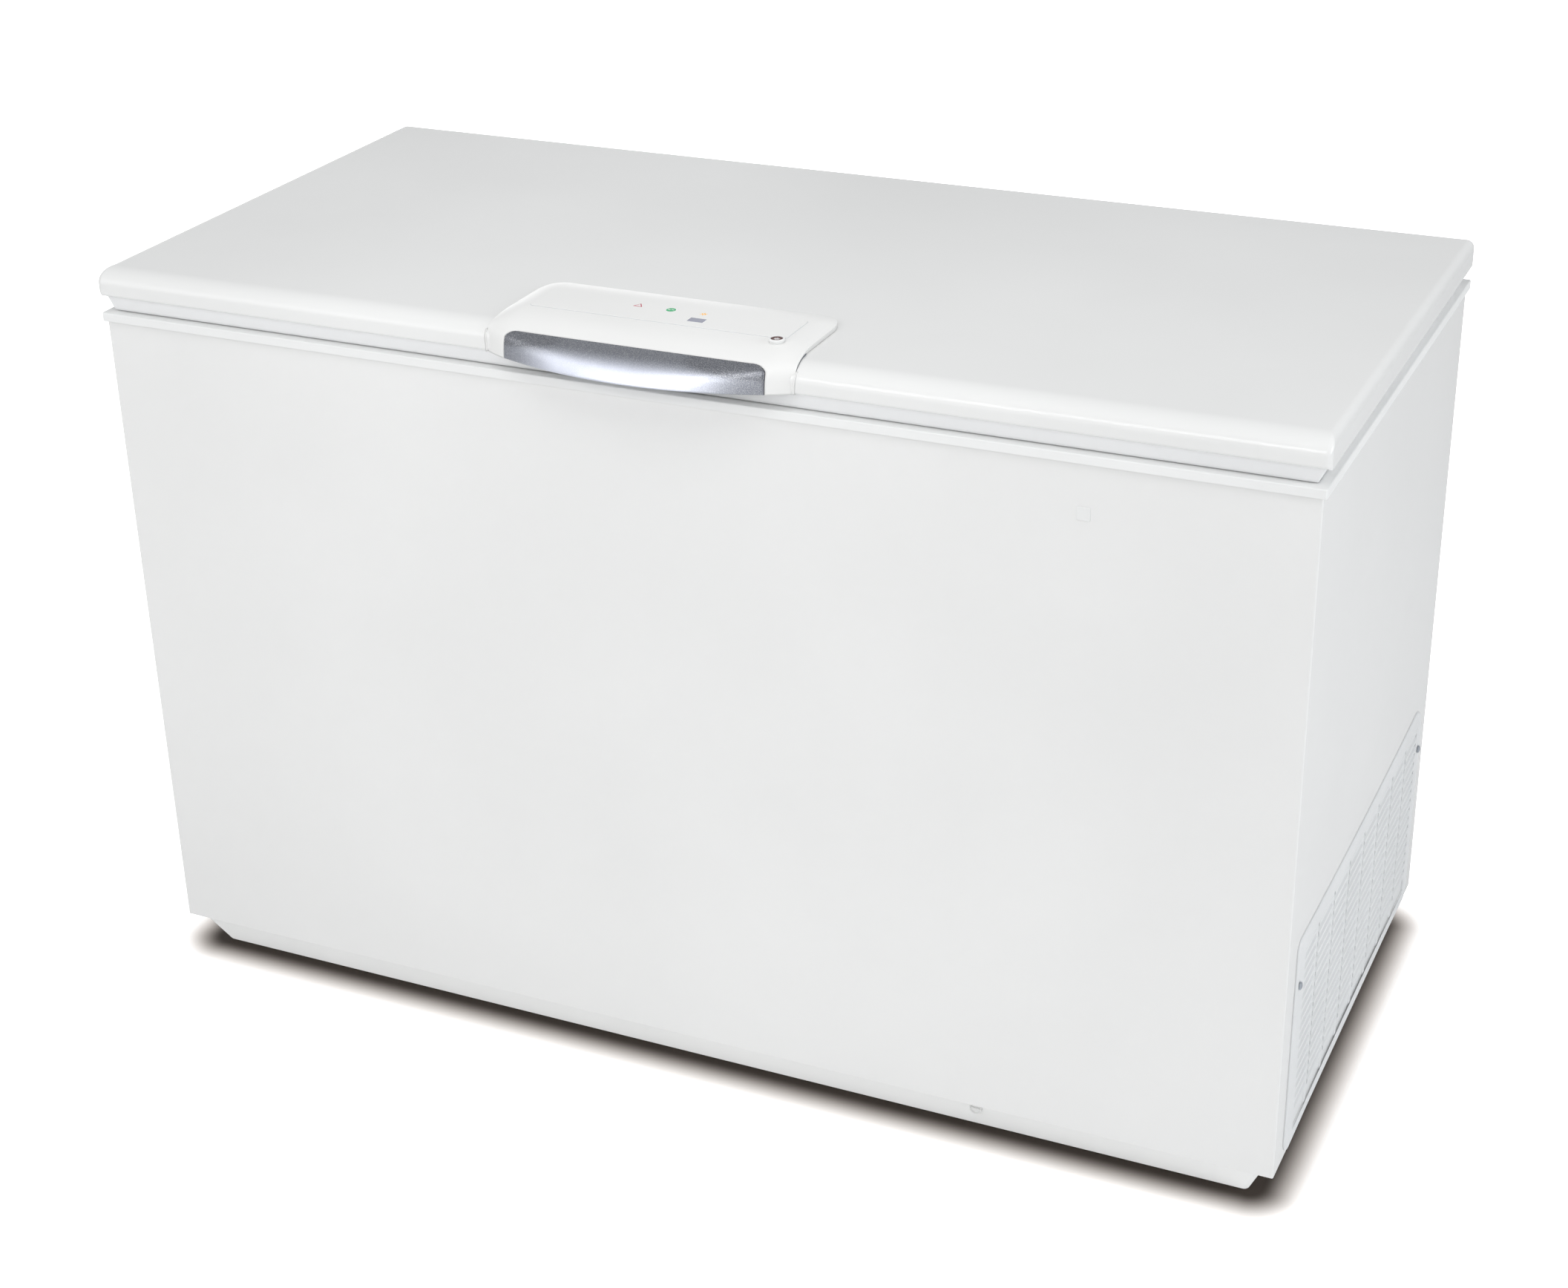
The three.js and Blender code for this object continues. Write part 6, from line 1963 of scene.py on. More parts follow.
    def core(self) -> None:
        """Foam between the panel and the lining, set back from both."""
        low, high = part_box("lid_foam")
        inset = np.array([0.068, 0.068, 0.05, 0.022, 0.014, 0.014, 0.026])
        height = np.array([low.z + 0.001, 0.8062, 0.8102, 0.8152, 0.825, 0.84, high.z - 0.001])
        front = inset + np.array([0.011, 0.011, 0.011, 0.012, 0.004, 0.002, 0.01])
        radius = np.array([0.03, 0.03, 0.03, 0.01, 0.006, 0.006, 0.006])
        rows = [low.x + inset, high.x - inset, low.y + front, high.y - inset, radius, height]
        shell = stack(np.stack(rows, -1), 6, caps=True).outward()
        Piece("lid_core", Body.LID, "foam", ("lid_foam",)).build(shell, self.dress.foam)

    def lamp(self) -> None:
        """Oblong base and a domed cover with a rounded rim."""
        low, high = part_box("lamp_base")
        base = slab(low, high, Axis.Z, 0.009, 0.0008)
        lug = slab(
            (low.x + 0.001, -0.109, low.z - 0.002), (low.x + 0.005, -0.103, high.z - 0.0005),
            Axis.Z, 0.001, 0.0004,
        )
        lugs = lug + lug.moved((high.x - low.x - 0.006, 0, 0))
        piece = Piece("lamp_holder", Body.LID, "white_plastic", ("lamp_base",))
        piece.build(base + lugs, self.dress.white_plastic)
        low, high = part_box("lamp_lens")
        t = np.linspace(0, math.pi / 2, 10)
        inset = np.concatenate([[0.0, 0.0], 0.001 + 0.017 * (1 - np.cos(t))])
        drop = np.concatenate([[0.0, 0.0012], 0.0012 + (high.z - low.z - 0.0012) * np.sin(t)])
        radius = np.maximum(0.007 - inset * 0.3, 0.002)
        rows = np.stack(
            [low.x + inset, high.x - inset, low.y + inset, high.y - inset, radius, high.z - drop],
            -1,
        )
        shell = stack(rows, 6, caps=True).outward()
        Piece(
            "lamp_cover", Body.LID, "lamp_cover", ("lamp_lens",), 60,
        ).build(shell, self.dress.prism)

    def build(self) -> None:
        """Makes every piece."""
        self.shell()
        self.lining()
        self.seal()
        self.lamp()
        self.core()


# ---------------------------------------------------------------- control unit


@dataclass
class ControlUnit(Assembly):
    """White housing with a silver grip, three signs, a display window and a push button.

    All of its front is one surface: for each place across it, three quadratic curves run through
    the polygon fold, slope, brow, belly, foot, and share their tangents where they meet.

    Attributes:
        field_half: half width of the level field.
        margin: widths of the rounded margins, at the ends and at the rear.
        drop: fall of the margin from the field to the rim.
        power: of the curve on which the margins meet at the rear corners.
        fold_y: where the field ends and the slope starts.
        brow: place and height of the grip's top edge.
        foot: place of the grip's lowest edge at its ends, and height of that edge.
        bow: how far its middle stands out in front of its ends.
        grip_half: half width of the grip.
        grip_corner: radius of the grip's upper corners.
        wall: thickness of the housing.
        gap: line between the housing and the grip.
        step: height of the level field over the sheet round it.
    """

    field_half: float = 0.1426
    margin: tuple[float, float] = (0.0234, 0.034)
    drop: float = 0.0052
    power: float = 2.3
    fold_y: float = -0.25655
    brow: tuple[float, float] = (-0.30655, 0.849)
    foot: tuple[float, float] = (-0.31265, 0.8207)
    bow: float = 0.0248
    grip_half: float = 0.143
    grip_corner: float = 0.014
    wall: float = 0.0023
    gap: float = 0.0005
    step: float = 0.0007

    def __post_init__(self) -> None:
        """Takes the outer places from the CAD."""
        low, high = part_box("unit_housing")
        self.middle = middle(low, high)[0]
        self.rear, self.top = high.y, high.z
        lid_low, lid_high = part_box("lid_shell")
        self.lid_top, self.lid_front = lid_high.z, lid_low.y
        self.nose = Lid(self.dress).nose

    def profile(self, x: Array, t: Array) -> tuple[Array, Array]:
        """Front surface at a distance x from the middle and at t, 0 at the fold, 3 at the foot.

        Args:
            x: distance from the middle.
            t: place down the front.

        Returns:
            y and z.
        """
        share = np.minimum(np.abs(x) / self.grip_half, 1.2)
        sweep = (self.grip_half**2 + self.bow**2) / (2 * self.bow)
        foot_y = self.foot[0] - self.bow + sweep - np.sqrt(sweep**2 - x**2)
        fold = (np.full_like(x, self.fold_y), np.full_like(x, self.top))
        slope = (fold[0] - 0.022, fold[1] - 0.0012)
        brow_y = self.brow[0] + 0.0095 * smooth((np.abs(x) - 0.134) / 0.036)
        brow = (brow_y, np.full_like(x, self.brow[1]))
        reach, fall = brow[0] - foot_y, brow[1] - self.foot[1]
        belly = (
            brow[0] - reach * (0.69 + 0.215 * share**2),
            brow[1] - fall * (0.274 + 0.145 * share**2),
        )
        foot = (foot_y, np.full_like(x, self.foot[1]))
        out = []
        for k0, k1, k2, k3, k4 in zip(fold, slope, brow, belly, foot):
            a, b = (k1 + k2) / 2, (k2 + k3) / 2
            first = quadratic(t, k0, k1, a)
            second = quadratic(t - 1, a, k2, b)
            third = quadratic(t - 2, b, k3, k4)
            out.append(np.where(t < 1, first, np.where(t < 2, second, third)))
        return out[0], out[1]

    def surface(self, x: Array, t: Array, back: Array, sink: Array) -> Array:
        """Places on the unit's surface.

        Args:
            x: distance from the middle.
            t: parameter of the front surface, 0 behind the fold.
            back: distance behind the fold.
            sink: depth under the surface, taken square to it in the plane of y and z.

        Returns:
            (..., 3) places.
        """
        y, z = self.profile(x, t)
        nudge = 0.01
        y1, z1 = self.profile(x, np.minimum(t + nudge, 3))
        y0, z0 = self.profile(x, np.maximum(t - nudge, 0))
        dy, dz = y1 - y0, z1 - z0
        size = np.hypot(dy, dz)
        ny = np.where(t > 0, dz / size, 0)
        nz = np.where(t > 0, -dy / size, 1)
        return np.stack([self.middle + x, y + back - ny * sink, z - nz * sink], -1)

    def lid_line(self, y: Array, z: Array) -> tuple[Array, Array]:
        """Nearest place of the lid's rounded front, plus the gap.

        Under a level place it lies straight down, beside the ellipse at the same angle, and
        beside the upright part at the same height.

        Args:
            y: places from front to rear.
            z: their levels.

        Returns:
            y and z.
        """
        a, b = self.nose
        cy, cz = self.lid_front + a, self.lid_top - b
        grow = self.gap
        turn = np.arctan2((z - cz) / (b + grow), (y - cy) / (a + grow))
        nose = (cy + (a + grow) * np.cos(turn), cz + (b + grow) * np.sin(turn))
        under = self.lid_front - grow
        over = y >= cy
        out_y = np.where(over, y, np.where(z >= cz, nose[0], under))
        out_z = np.where(over, self.lid_top + grow, np.where(z >= cz, nose[1], z))
        return out_y, out_z

    def grip_edge(self, t: Array) -> Array:
        """Half width of the opening for the grip at t; its corner is a quarter circle."""
        down = np.clip((t - 1.5) / 1.5 * 0.032 / self.grip_corner, 0, 1)
        return self.grip_half - self.grip_corner * (1 - np.sqrt(1 - (1 - down) ** 2))

    def outer(self, t: Array) -> Array:
        """Half width of the housing before the fold: a little wider, then drawn in to its foot.

        Args:
            t: place down the front.

        Returns:
            The half width at each.
        """
        end = self.field_half + self.margin[0]
        return end + 0.003 * np.sin(
            np.clip(t / 1.6, 0, 1) * math.pi / 2
        ) - 0.0015 * smooth((t - 1.8) / 1.2)

    def sheet(self, x: Array, t: Array, back: Array, rim: Array, side: Array) -> Array:
        """Housing surface, its margin rolled down; where side is over 1 the wall goes to the lid.

        Args:
            x: distance from the middle.
            t: front parameter.
            back: distance behind the fold.
            rim: 0 on the field, 1 at the rim.
            side: 1 at the rim, more on the wall under it.

        Returns:
            Places.
        """
        drop = self.drop * (1 - 0.45 * smooth((t - 0.6) / 0.9))
        rolled = self.surface(x, t, back, self.step + drop * rim**2)
        y, z = self.lid_line(rolled[..., 1], rolled[..., 2])
        share = np.clip(side - 1, 0, 1)
        rolled[..., 1] += (y - rolled[..., 1]) * share
        rolled[..., 2] += (z - rolled[..., 2]) * share
        return rolled

    def housing(self) -> None:
        """Level field, margins, slope and the two cheeks beside the grip, as one sheet."""
        depth = self.rear - self.fold_y - 0.0008
        field_depth = depth - self.margin[1]
        n = self.power
        b = np.concatenate([[1, 1], np.sin(np.linspace(math.pi / 2, 0, 15))])
        back = np.concatenate(
            [field_depth + self.margin[1] * b, np.linspace(field_depth, 0, 9)[1:]]
        )
        rear_b = np.concatenate([b, np.zeros(8)])
        t = np.linspace(0, 1.5, 17)[1:]
        t_rows = np.concatenate([np.zeros(len(back)), t])
        back_rows = np.concatenate([back, np.zeros(len(t))])
        b_rows = np.concatenate([rear_b, np.zeros(len(t))])
        side_rows = np.ones(len(t_rows))
        side_rows[0] = 2.0
        cheek = np.concatenate([np.sin(np.linspace(0, math.pi / 2, 18)), [1.0]])
        wall = np.concatenate([np.ones(18), [2.0]])
        inner = self.grip_half - self.grip_corner
        flat = np.linspace(-inner, inner, 41)
        extent = self.margin[0] * (1 - b_rows**n) ** (1 / n)
        reach = np.where(t_rows > 0, self.outer(t_rows), self.field_half + extent)
        x_cheek = inner + cheek * (reach[:, None] - inner)
        centre = np.broadcast_to(flat, (len(t_rows), len(flat)))
        x = np.concatenate([-x_cheek[:, ::-1], centre[:, 1:-1], x_cheek], 1)
        sides = np.concatenate([wall[::-1], np.ones(len(flat) - 2), wall])
        side = np.maximum(side_rows[:, None], sides[None, :])
        rolled = self._roll(
            x, np.where(t_rows > 0, self.outer(t_rows), self.field_half + self.margin[0])[:, None],
            b_rows[:, None],
        )
        rows = [np.broadcast_to(v[:, None], x.shape) for v in (t_rows, back_rows)]
        upper = grid(self.sheet(x, rows[0], rows[1], rolled, side))
        t = np.concatenate([np.linspace(1.5, 1.9, 12), np.linspace(1.9, 3, 18)[1:]])
        edge = self.grip_edge(t)[:, None]
        x = edge + cheek[None] * (self.outer(t)[:, None] - edge)
        rolled = self._roll(x, self.outer(t)[:, None], np.zeros((len(t), 1)))
        side = np.broadcast_to(wall, x.shape)
        t_grid = np.broadcast_to(t[:, None], x.shape)
        zero = np.zeros_like(x)
        right = grid(self.sheet(x, t_grid, zero, rolled, side))
        left = grid(self.sheet(-x, t_grid, zero, rolled, side)).flipped()
        shell = upper + right + left
        shell = self._faced(shell)
        field_slab = slab(
            (self.middle - self.field_half + 0.001, self.fold_y - 0.001, self.top - 0.0016),
            (self.middle + self.field_half - 0.001, self.fold_y + field_depth - 0.001, self.top),
            Axis.Z, 0.0045, 0.0003,
        )
        piece = Piece("unit_case", Body.LID, "white_plastic", ("unit_housing",), 48, self.wall)
        piece.build(shell, self.dress.white_plastic)
        Piece("unit_field", Body.LID, "white_plastic").build(field_slab, self.dress.white_plastic)
        # Painted shade: a grey sheet just wider than the field draws a line at the foot of the
        # field's step.
        seat = slab(
            (self.middle - self.field_half + 0.0004, self.fold_y - 0.0016, self.top - 0.0016),
            (
                self.middle + self.field_half - 0.0004, self.fold_y + field_depth - 0.0004,
                self.top - 0.00045,
            ),
            Axis.Z, 0.005, 0.0002,
        )
        Piece("unit_field_painted_shade", Body.LID, "white_plastic").build(seat, self.dress.seam)
        # Painted shadow: a thin dark sheet along the foot of both cheeks stands for the shaded gap
        # between the unit and the lid.
        t = np.linspace(0.25, 2.94, 60)[:, None]
        share = np.array([[1.62, 1.99]])
        t_grid, side = np.broadcast_to(t, (60, 2)), np.broadcast_to(share, (60, 2))
        x = self.outer(t_grid) + 0.0003
        line = [grid(self.sheet(way * x, t_grid, 0 * x, np.ones_like(x), side)) for way in (1, -1)]
        piece = Piece("unit_lid_painted_shadow", Body.LID, "white_plastic", (), 60, 0.0002)
        piece.build(self._faced(line[0] + line[1]), self.dress.shade)

    def _roll(self, x: Array, reach: Array, b: Array) -> Array:
        """Share of the margin: the n-th root of the sum of both directions' shares to the n."""
        a = np.clip((np.abs(x) - self.field_half) / (reach - self.field_half), 0, 1)
        return np.clip((a**self.power + b**self.power) ** (1 / self.power), 0, 1)

    def _faced(self, shell: Shell) -> Shell:
        """Each block of faces turned away from a place inside the unit.

        Args:
            shell: the surface.

        Returns:
            The surface with its faces out.
        """
        inside = np.array((self.middle, -0.24, 0.8))
        blocks = []
        for block in shell.faces:
            areas, centres = Shell(shell.points, [block]).fans()
            outward = (areas * (centres - inside)).sum() > 0
            blocks.append(block if outward else block[:, ::-1])
        return Shell(shell.points, blocks, shell.finish)

    def grip(self) -> None:
        """Silver grip: the same surface, its border eased down into the line round it."""
        t = np.concatenate([[1.5, 1.508, 1.53], np.linspace(1.56, 2.96, 34), [2.985, 3.0]])
        u = np.concatenate(
            [[-1, -0.9985, -0.994], np.linspace(-0.985, 0.985, 90), [0.994, 0.9985, 1]]
        )
        fall = np.array([0.003, 0.0007, 0.0001])
        row_sink = np.concatenate([fall, np.zeros(34), [0.0001, 0.0012]])
        col_sink = np.concatenate([fall, np.zeros(90), fall[::-1]])
        half = self.grip_edge(t)[:, None] - self.gap * 1.4
        x = u[None] * half
        sink = np.maximum(row_sink[:, None], col_sink[None])
        tt = np.broadcast_to(t[:, None], x.shape).copy()
        tt[0] += 0.012
        shell = grid(self.surface(x, tt, np.zeros_like(x), sink))
        shell = self._faced(shell)
        piece = Piece("silver_grip", Body.LID, "silver_plastic", ("grip_insert",), 60, 0.002)
        piece.build(shell, self.dress.silver)

    def signs(self) -> None:
        """Triangle, disc, star and display window in the field."""
        triangle = self._star(3, 0.0058, 0.5, 90)
        disc = 0.005 * circle(48)
        bolt = np.array(
            [
                (-0.003, -0.0004), (-0.0006, -0.0011), (-0.0002, 0.0001), (0.003, -0.0004),
                (0.003, 0.0004), (0.0006, 0.0011), (0.0002, -0.0001), (-0.003, 0.0004),
            ]
        )
        star = self._star(6, 0.0042, 0.34, 90)
        dress = self.dress
        for name, node, slot, finish, shift, plan, inner in (
            (
                "sign_triangle", "alarm_lamp", "lens_red", dress.red, -0.0008, triangle,
                triangle * 0.62,
            ),
            ("sign_disc", "mains_lamp", "lens_green", dress.green, 0.0, disc, bolt * 1.15),
            ("sign_star", "fast_freeze_lamp", "lens_yellow", dress.yellow, 0.0, star, disc * 0.16),
        ):
            low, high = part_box(node)
            x, y, _ = middle(low, high)
            at = np.array((x, y + shift))
            face = self.top + 0.00018
            lens = prism(at + plan, low.z, face - 0.00006, Axis.Z, 0.00012)
            mark = prism(at + inner, face - 0.0003, face + 0.00006, Axis.Z, 0.00012).wearing(1)
            Piece(name, Body.LID, slot, (node,)).build(lens + mark, finish, dress.mark)
        low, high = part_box("display_module")
        glass = slab(low, (high.x, high.y, high.z), Axis.Z, 0.0006, 0.0002)
        piece = Piece("display_glass", Body.LID, "display_grey", ("display_module",))
        piece.build(glass, self.dress.display)

    @staticmethod
    def _star(points: int, radius: float, waist: float, start: float) -> Array:
        """Star outline, radius at its points and radius * waist between; 3 and 0.5: a triangle.

        Args:
            points: number of its points.
            radius: of the points.
            waist: share of the radius between them.
            start: degrees at which the first stands.

        Returns:
            (2 * points, 2) places.
        """
        turn = np.radians(start + 180 / points * np.arange(2 * points))
        r = np.where(np.arange(2 * points) % 2 == 0, radius, radius * waist)[:, None]
        return r * np.stack([np.cos(turn), np.sin(turn)], -1)

    def button(self) -> None:
        """Raised ring with a rounded crest, and a dished cap with a small ring printed on it."""
        low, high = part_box("button_bezel")
        centre = upright(low, high)
        r = (high.x - low.x) / 2
        bore = 0.0062
        bend, edge = 0.0011, 0.0004
        crest = arc((r - bend, high.z - bend), bend, 0, 90, 5)
        inner = arc((bore + edge, high.z - edge), edge, 90, 180, 4)
        profile = [(r - 0.001, low.z), (r - 0.001, self.top - 0.001), (r, self.top + 0.0001)]
        profile += [tuple(p) for p in crest] + [tuple(p) for p in inner] + [(bore, low.z)]
        ring_shell = revolved(profile, centre, Axis.Z, 56)
        piece = Piece("button_ring", Body.LID, "white_plastic", ("button_bezel",))
        piece.build(ring_shell, self.dress.cover_plastic)
        low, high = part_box("button_cap")
        r = (high.x - low.x) / 2
        face = high.z
        hollow, depth, lift = 0.0045, 0.001, 0.00048
        foot = low.z + lift
        profile = [(0, foot + depth), (hollow, foot + depth), (hollow, foot), (r, foot)]
        profile += [(r, face - 0.0006), (r - 0.0002, face - 0.0001), (r - 0.0007, face)]
        profile += [(r * 0.6, face - 0.0003), (r * 0.3, face - 0.00045), (0, face - 0.0005)]
        cap = revolved(profile, centre, Axis.Z, 48)
        printed = revolved(
            [
                (0.0019, face - 0.0006), (0.0019, face - 0.0003), (0.0023, face - 0.00028),
                (0.0023, face - 0.0006),
            ],
            centre, Axis.Z, 32,
        ).wearing(1)
        spoke = slab(
            (centre[0] - 0.0002, centre[1] - 0.0033, face - 0.0006),
            (centre[0] + 0.0002, centre[1] + 0.0033, face - 0.00024), Axis.Z, 0.00015, 0.00004, 3,
        ).wearing(1)
        spokes = joined([spoke.turned(a, centre, Axis.Z) for a in (0, 60, 120)])
        piece = Piece("button_face", Body.BUTTON, "button_brown", ("button_cap",))
        piece.build(cap + printed + spokes, self.dress.brown, self.dress.mark)

    def inside(self) -> None:
        """Dresses what lies under the housing and gives its screws round heads."""
        for side in ("left", "right"):
            low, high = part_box(f"unit_screw_{side}")
            x, y, _ = middle(low, high)
            head = screw_head((x, y, high.z - 0.0022), Axis.Z, 0.004, 0.0022)
            shank = revolved(
                [(0, low.z), (0.0022, low.z + 0.002), (0.0022, high.z - 0.002)], (x, y, 0), Axis.Z,
                16,
            )
            piece = Piece(f"case_screw_{side}", Body.LID, "zinc", (f"unit_screw_{side}",))
            piece.build(head + shank, self.dress.zinc_small)
        keep(self.dress.white_plastic, "unit_base")
        keep(self.dress.board, "control_board")
        keep(self.dress.steel, "button_spring")

    def build(self) -> None:
        """Makes every piece."""
        self.housing()
        self.grip()
        self.signs()
        self.button()
        self.inside()


# ---------------------------------------------------------------- machinery


@dataclass
class Machinery(Assembly):
    """Compressor on its feet, pipes, drier, power module and cable bush.

    Attributes:
        flange_width: how far the compressor's welded flange stands out.
        seam_height: height of the flange over the shell's foot.
        pipe_reach: distance of the pipes' ends from the compressor's axis.
        wall_x: place of the inner wall at which the pipes end.
        bend: radius from the corners at which the pipes start to turn.
    """

    flange_width: float = 0.004
    seam_height: float = 0.062
    pipe_reach: float = 0.076
    wall_x: float = 0.4333
    bend: float = 0.014

    def compressor(self) -> None:
        """Two drawn half shells with a welded flange between them."""
        low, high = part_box("compressor_shell")
        flange = (high.x - low.x) / 2
        r = flange - self.flange_width
        seam = low.z + self.seam_height
        bend, dome = 0.03, 0.046
        bottom = arc((r - bend, low.z + bend), bend, -90, 0, 10)
        crown = arc((0, high.z - dome), (r, dome), 0, 90, 18)
        profile = [(0, low.z)] + [tuple(p) for p in bottom] + [
            (r, seam - 0.003), (flange - 0.001, seam - 0.0025),
        ]
        profile += [
            (flange, seam - 0.0015), (flange, seam + 0.0015), (flange - 0.001, seam + 0.0025),
            (r, seam + 0.003),
        ]
        profile += [tuple(p) for p in crown]
        sides = 72
        shell = revolved(profile, upright(low, high), Axis.Z, sides)
        shell.points[-sides:, 2] = high.z
        Piece(
            "compressor_body", Body.CABINET, "black_paint", ("compressor_shell",),
        ).build(shell, self.dress.black_enamel)

    def feet(self) -> None:
        """Pressed base plate and four waisted rubber feet."""
        low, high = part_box("compressor_mount")
        section = np.array(
            [
                (0.0, low.z), (0.0, high.z - 0.0006), (0.0006, high.z), (0.012, high.z),
                (0.0135, high.z), (0.06, high.z),
            ]
        )
        rows = [
            (low.x + d, high.x - d, low.y + d, high.y - d, max(0.012 - d, 0.002), z)
            for d, z in section
        ]
        shell = stack(rows, 8, caps=True).outward()
        Piece(
            "base_plate", Body.CABINET, "zinc", ("compressor_mount",),
        ).build(shell, self.dress.zinc)
        for i in range(1, 5):
            low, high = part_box(f"compressor_grommet_{i}")
            r, h = (high.x - low.x) / 2, high.z - low.z
            z = low.z + h * np.array([0, 0, 0.05, 0.3, 0.4, 0.5, 0.6, 0.7, 0.72, 0.82, 0.97, 1, 1])
            width = r * np.array([0, 0.92, 1, 0.98, 0.8, 0.98, 0.8, 0.98, 0.72, 0.72, 0.9, 0.8, 0])
            centre = upright(low, high)
            shell = revolved(np.stack([width, z], -1), centre, Axis.Z, 32)
            piece = Piece(
                f"rubber_foot_{i}", Body.CABINET, "black_rubber", (f"compressor_grommet_{i}",), 50,
            )
            piece.build(shell, self.dress.black_rubber)

    def pipes(self) -> None:
        """Suction and discharge pipes, from the compressor up and over to the inner wall."""
        shell_low, shell_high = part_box("compressor_shell")
        x, y, _ = middle(shell_low, shell_high)
        low, reach, wall = shell_low.z, self.pipe_reach, self.wall_x
        for name, r, dy, up, turn_y, rise in (
            ("suction", 0.004, -0.02, 0.06, -0.06, 0.08),
            ("discharge", 0.003, 0.024, 0.044, 0.06, 0.076),
        ):
            start = x - math.sqrt(reach**2 - (abs(dy) - r) ** 2) - 0.0005
            turn_x = (0.433 + x - reach) / 2
            route = [
                (start, y + dy, low + up), (turn_x, y + dy, low + up),
                (turn_x, y + turn_y, low + up + rise), (wall, y + turn_y, low + up + rise),
            ]
            pipe = tube(bent(route, self.bend, 8), r, 16, up=(0.3, 0.2, 1.0))
            collar = revolved(
                [(r + 0.0001, 0), (r + 0.0014, 0.0006), (r + 0.0014, 0.005), (r + 0.0001, 0.006)],
                (0, 0, 0), Axis.X, 20,
            )
            collar = collar.moved((start - 0.0065, y + dy, low + up))
            piece = Piece(f"{name}_line", Body.CABINET, "copper", (f"{name}_pipe",))
            piece.build(pipe + collar, self.dress.copper)

    def fittings(self) -> None:
        """Drier and clip, terminal cover, power module, and the bush for the mains cable."""
        low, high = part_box("filter_drier")
        centre = upright(low, high)
        r, neck, z = (high.x - low.x) / 2, 0.0026, low.z
        profile = [
            (0, z), (neck, z), (neck, z + 0.013), (0.0035, z + 0.015), (0.0075, z + 0.022),
            (r, z + 0.026),
        ]
        profile += [(r, z + 0.03), (r - 0.0004, z + 0.031), (r - 0.0004, z + 0.033), (r, z + 0.034)]
        mirrored = [(a, low.z + high.z - h) for a, h in profile[::-1]]
        shell = revolved(profile + mirrored, centre, Axis.Z, 40)
        Piece(
            "drier_body", Body.CABINET, "copper", ("filter_drier",),
        ).build(shell, self.dress.copper)
        keep(self.dress.zinc_small, "drier_clip")

        low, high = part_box("terminal_box")
        body = slab(low, high, Axis.Y, 0.006, 0.0018)
        grips = joined(
            [
                slab(
                    (low.x + 0.014 + 0.006 * i, low.y + 0.0002, high.z - 0.014),
                    (low.x + 0.017 + 0.006 * i, low.y + 0.004, high.z - 0.0002), Axis.Y, 0.0008,
                    0.0004,
                )
                for i in range(6)
            ]
        )
        piece = Piece("terminal_cover", Body.CABINET, "black_plastic", ("terminal_box",))
        piece.build(body + grips, self.dress.black_plastic)

        low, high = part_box("power_module")
        body = slab((low.x, low.y, low.z), (high.x - 0.003, high.y, high.z), Axis.X, 0.005, 0.0015)
        ribs = joined(
            [
                slab(
                    (high.x - 0.006, low.y + 0.012, z), (high.x, high.y - 0.012, z + 0.0025),
                    Axis.X, 0.001, 0.0006,
                )
                for z in np.linspace(low.z + 0.03, high.z - 0.03, 9)
            ]
        )
        bosses = joined(
            [
                revolved(
                    [
                        (0, 0), (0.0045, 0), (0.0045, 0.0026), (0.0038, 0.003), (0.002, 0.003),
                        (0.002, 0.0012), (0, 0.0012),
                    ],
                    (high.x - 0.003, yy, zz), Axis.X, 24,
                )
                for yy in (low.y + 0.009, high.y - 0.009)
                for zz in (low.z + 0.01, high.z - 0.01)
            ]
        )
        piece = Piece("power_housing", Body.CABINET, "black_plastic", ("power_module",))
        piece.build(body + ribs + bosses, self.dress.black_plastic)

        low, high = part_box("mains_inlet")
        x, _, z = middle(low, high)
        hole = 0.0042
        rear = high.y
        profile = [(hole, low.y), (0.009, low.y), (0.009, rear - 0.0026), (0.013, rear - 0.0025)]
        profile += [(0.013, rear - 0.0008), (0.0122, rear), (0.0085, rear), (0.008, rear - 0.0005)]
        profile += [
            (0.0066, rear - 0.0005), (0.006, rear), (hole + 0.0008, rear), (hole, rear - 0.0008),
        ]
        shell = revolved(profile, (x, 0, z), Axis.Y, 48)
        Piece(
            "cable_bush", Body.CABINET, "black_plastic", ("mains_inlet",),
        ).build(shell, self.dress.black_plastic)

    def build(self) -> None:
        """Makes every piece."""
        self.compressor()
        self.feet()
        self.pipes()
        self.fittings()


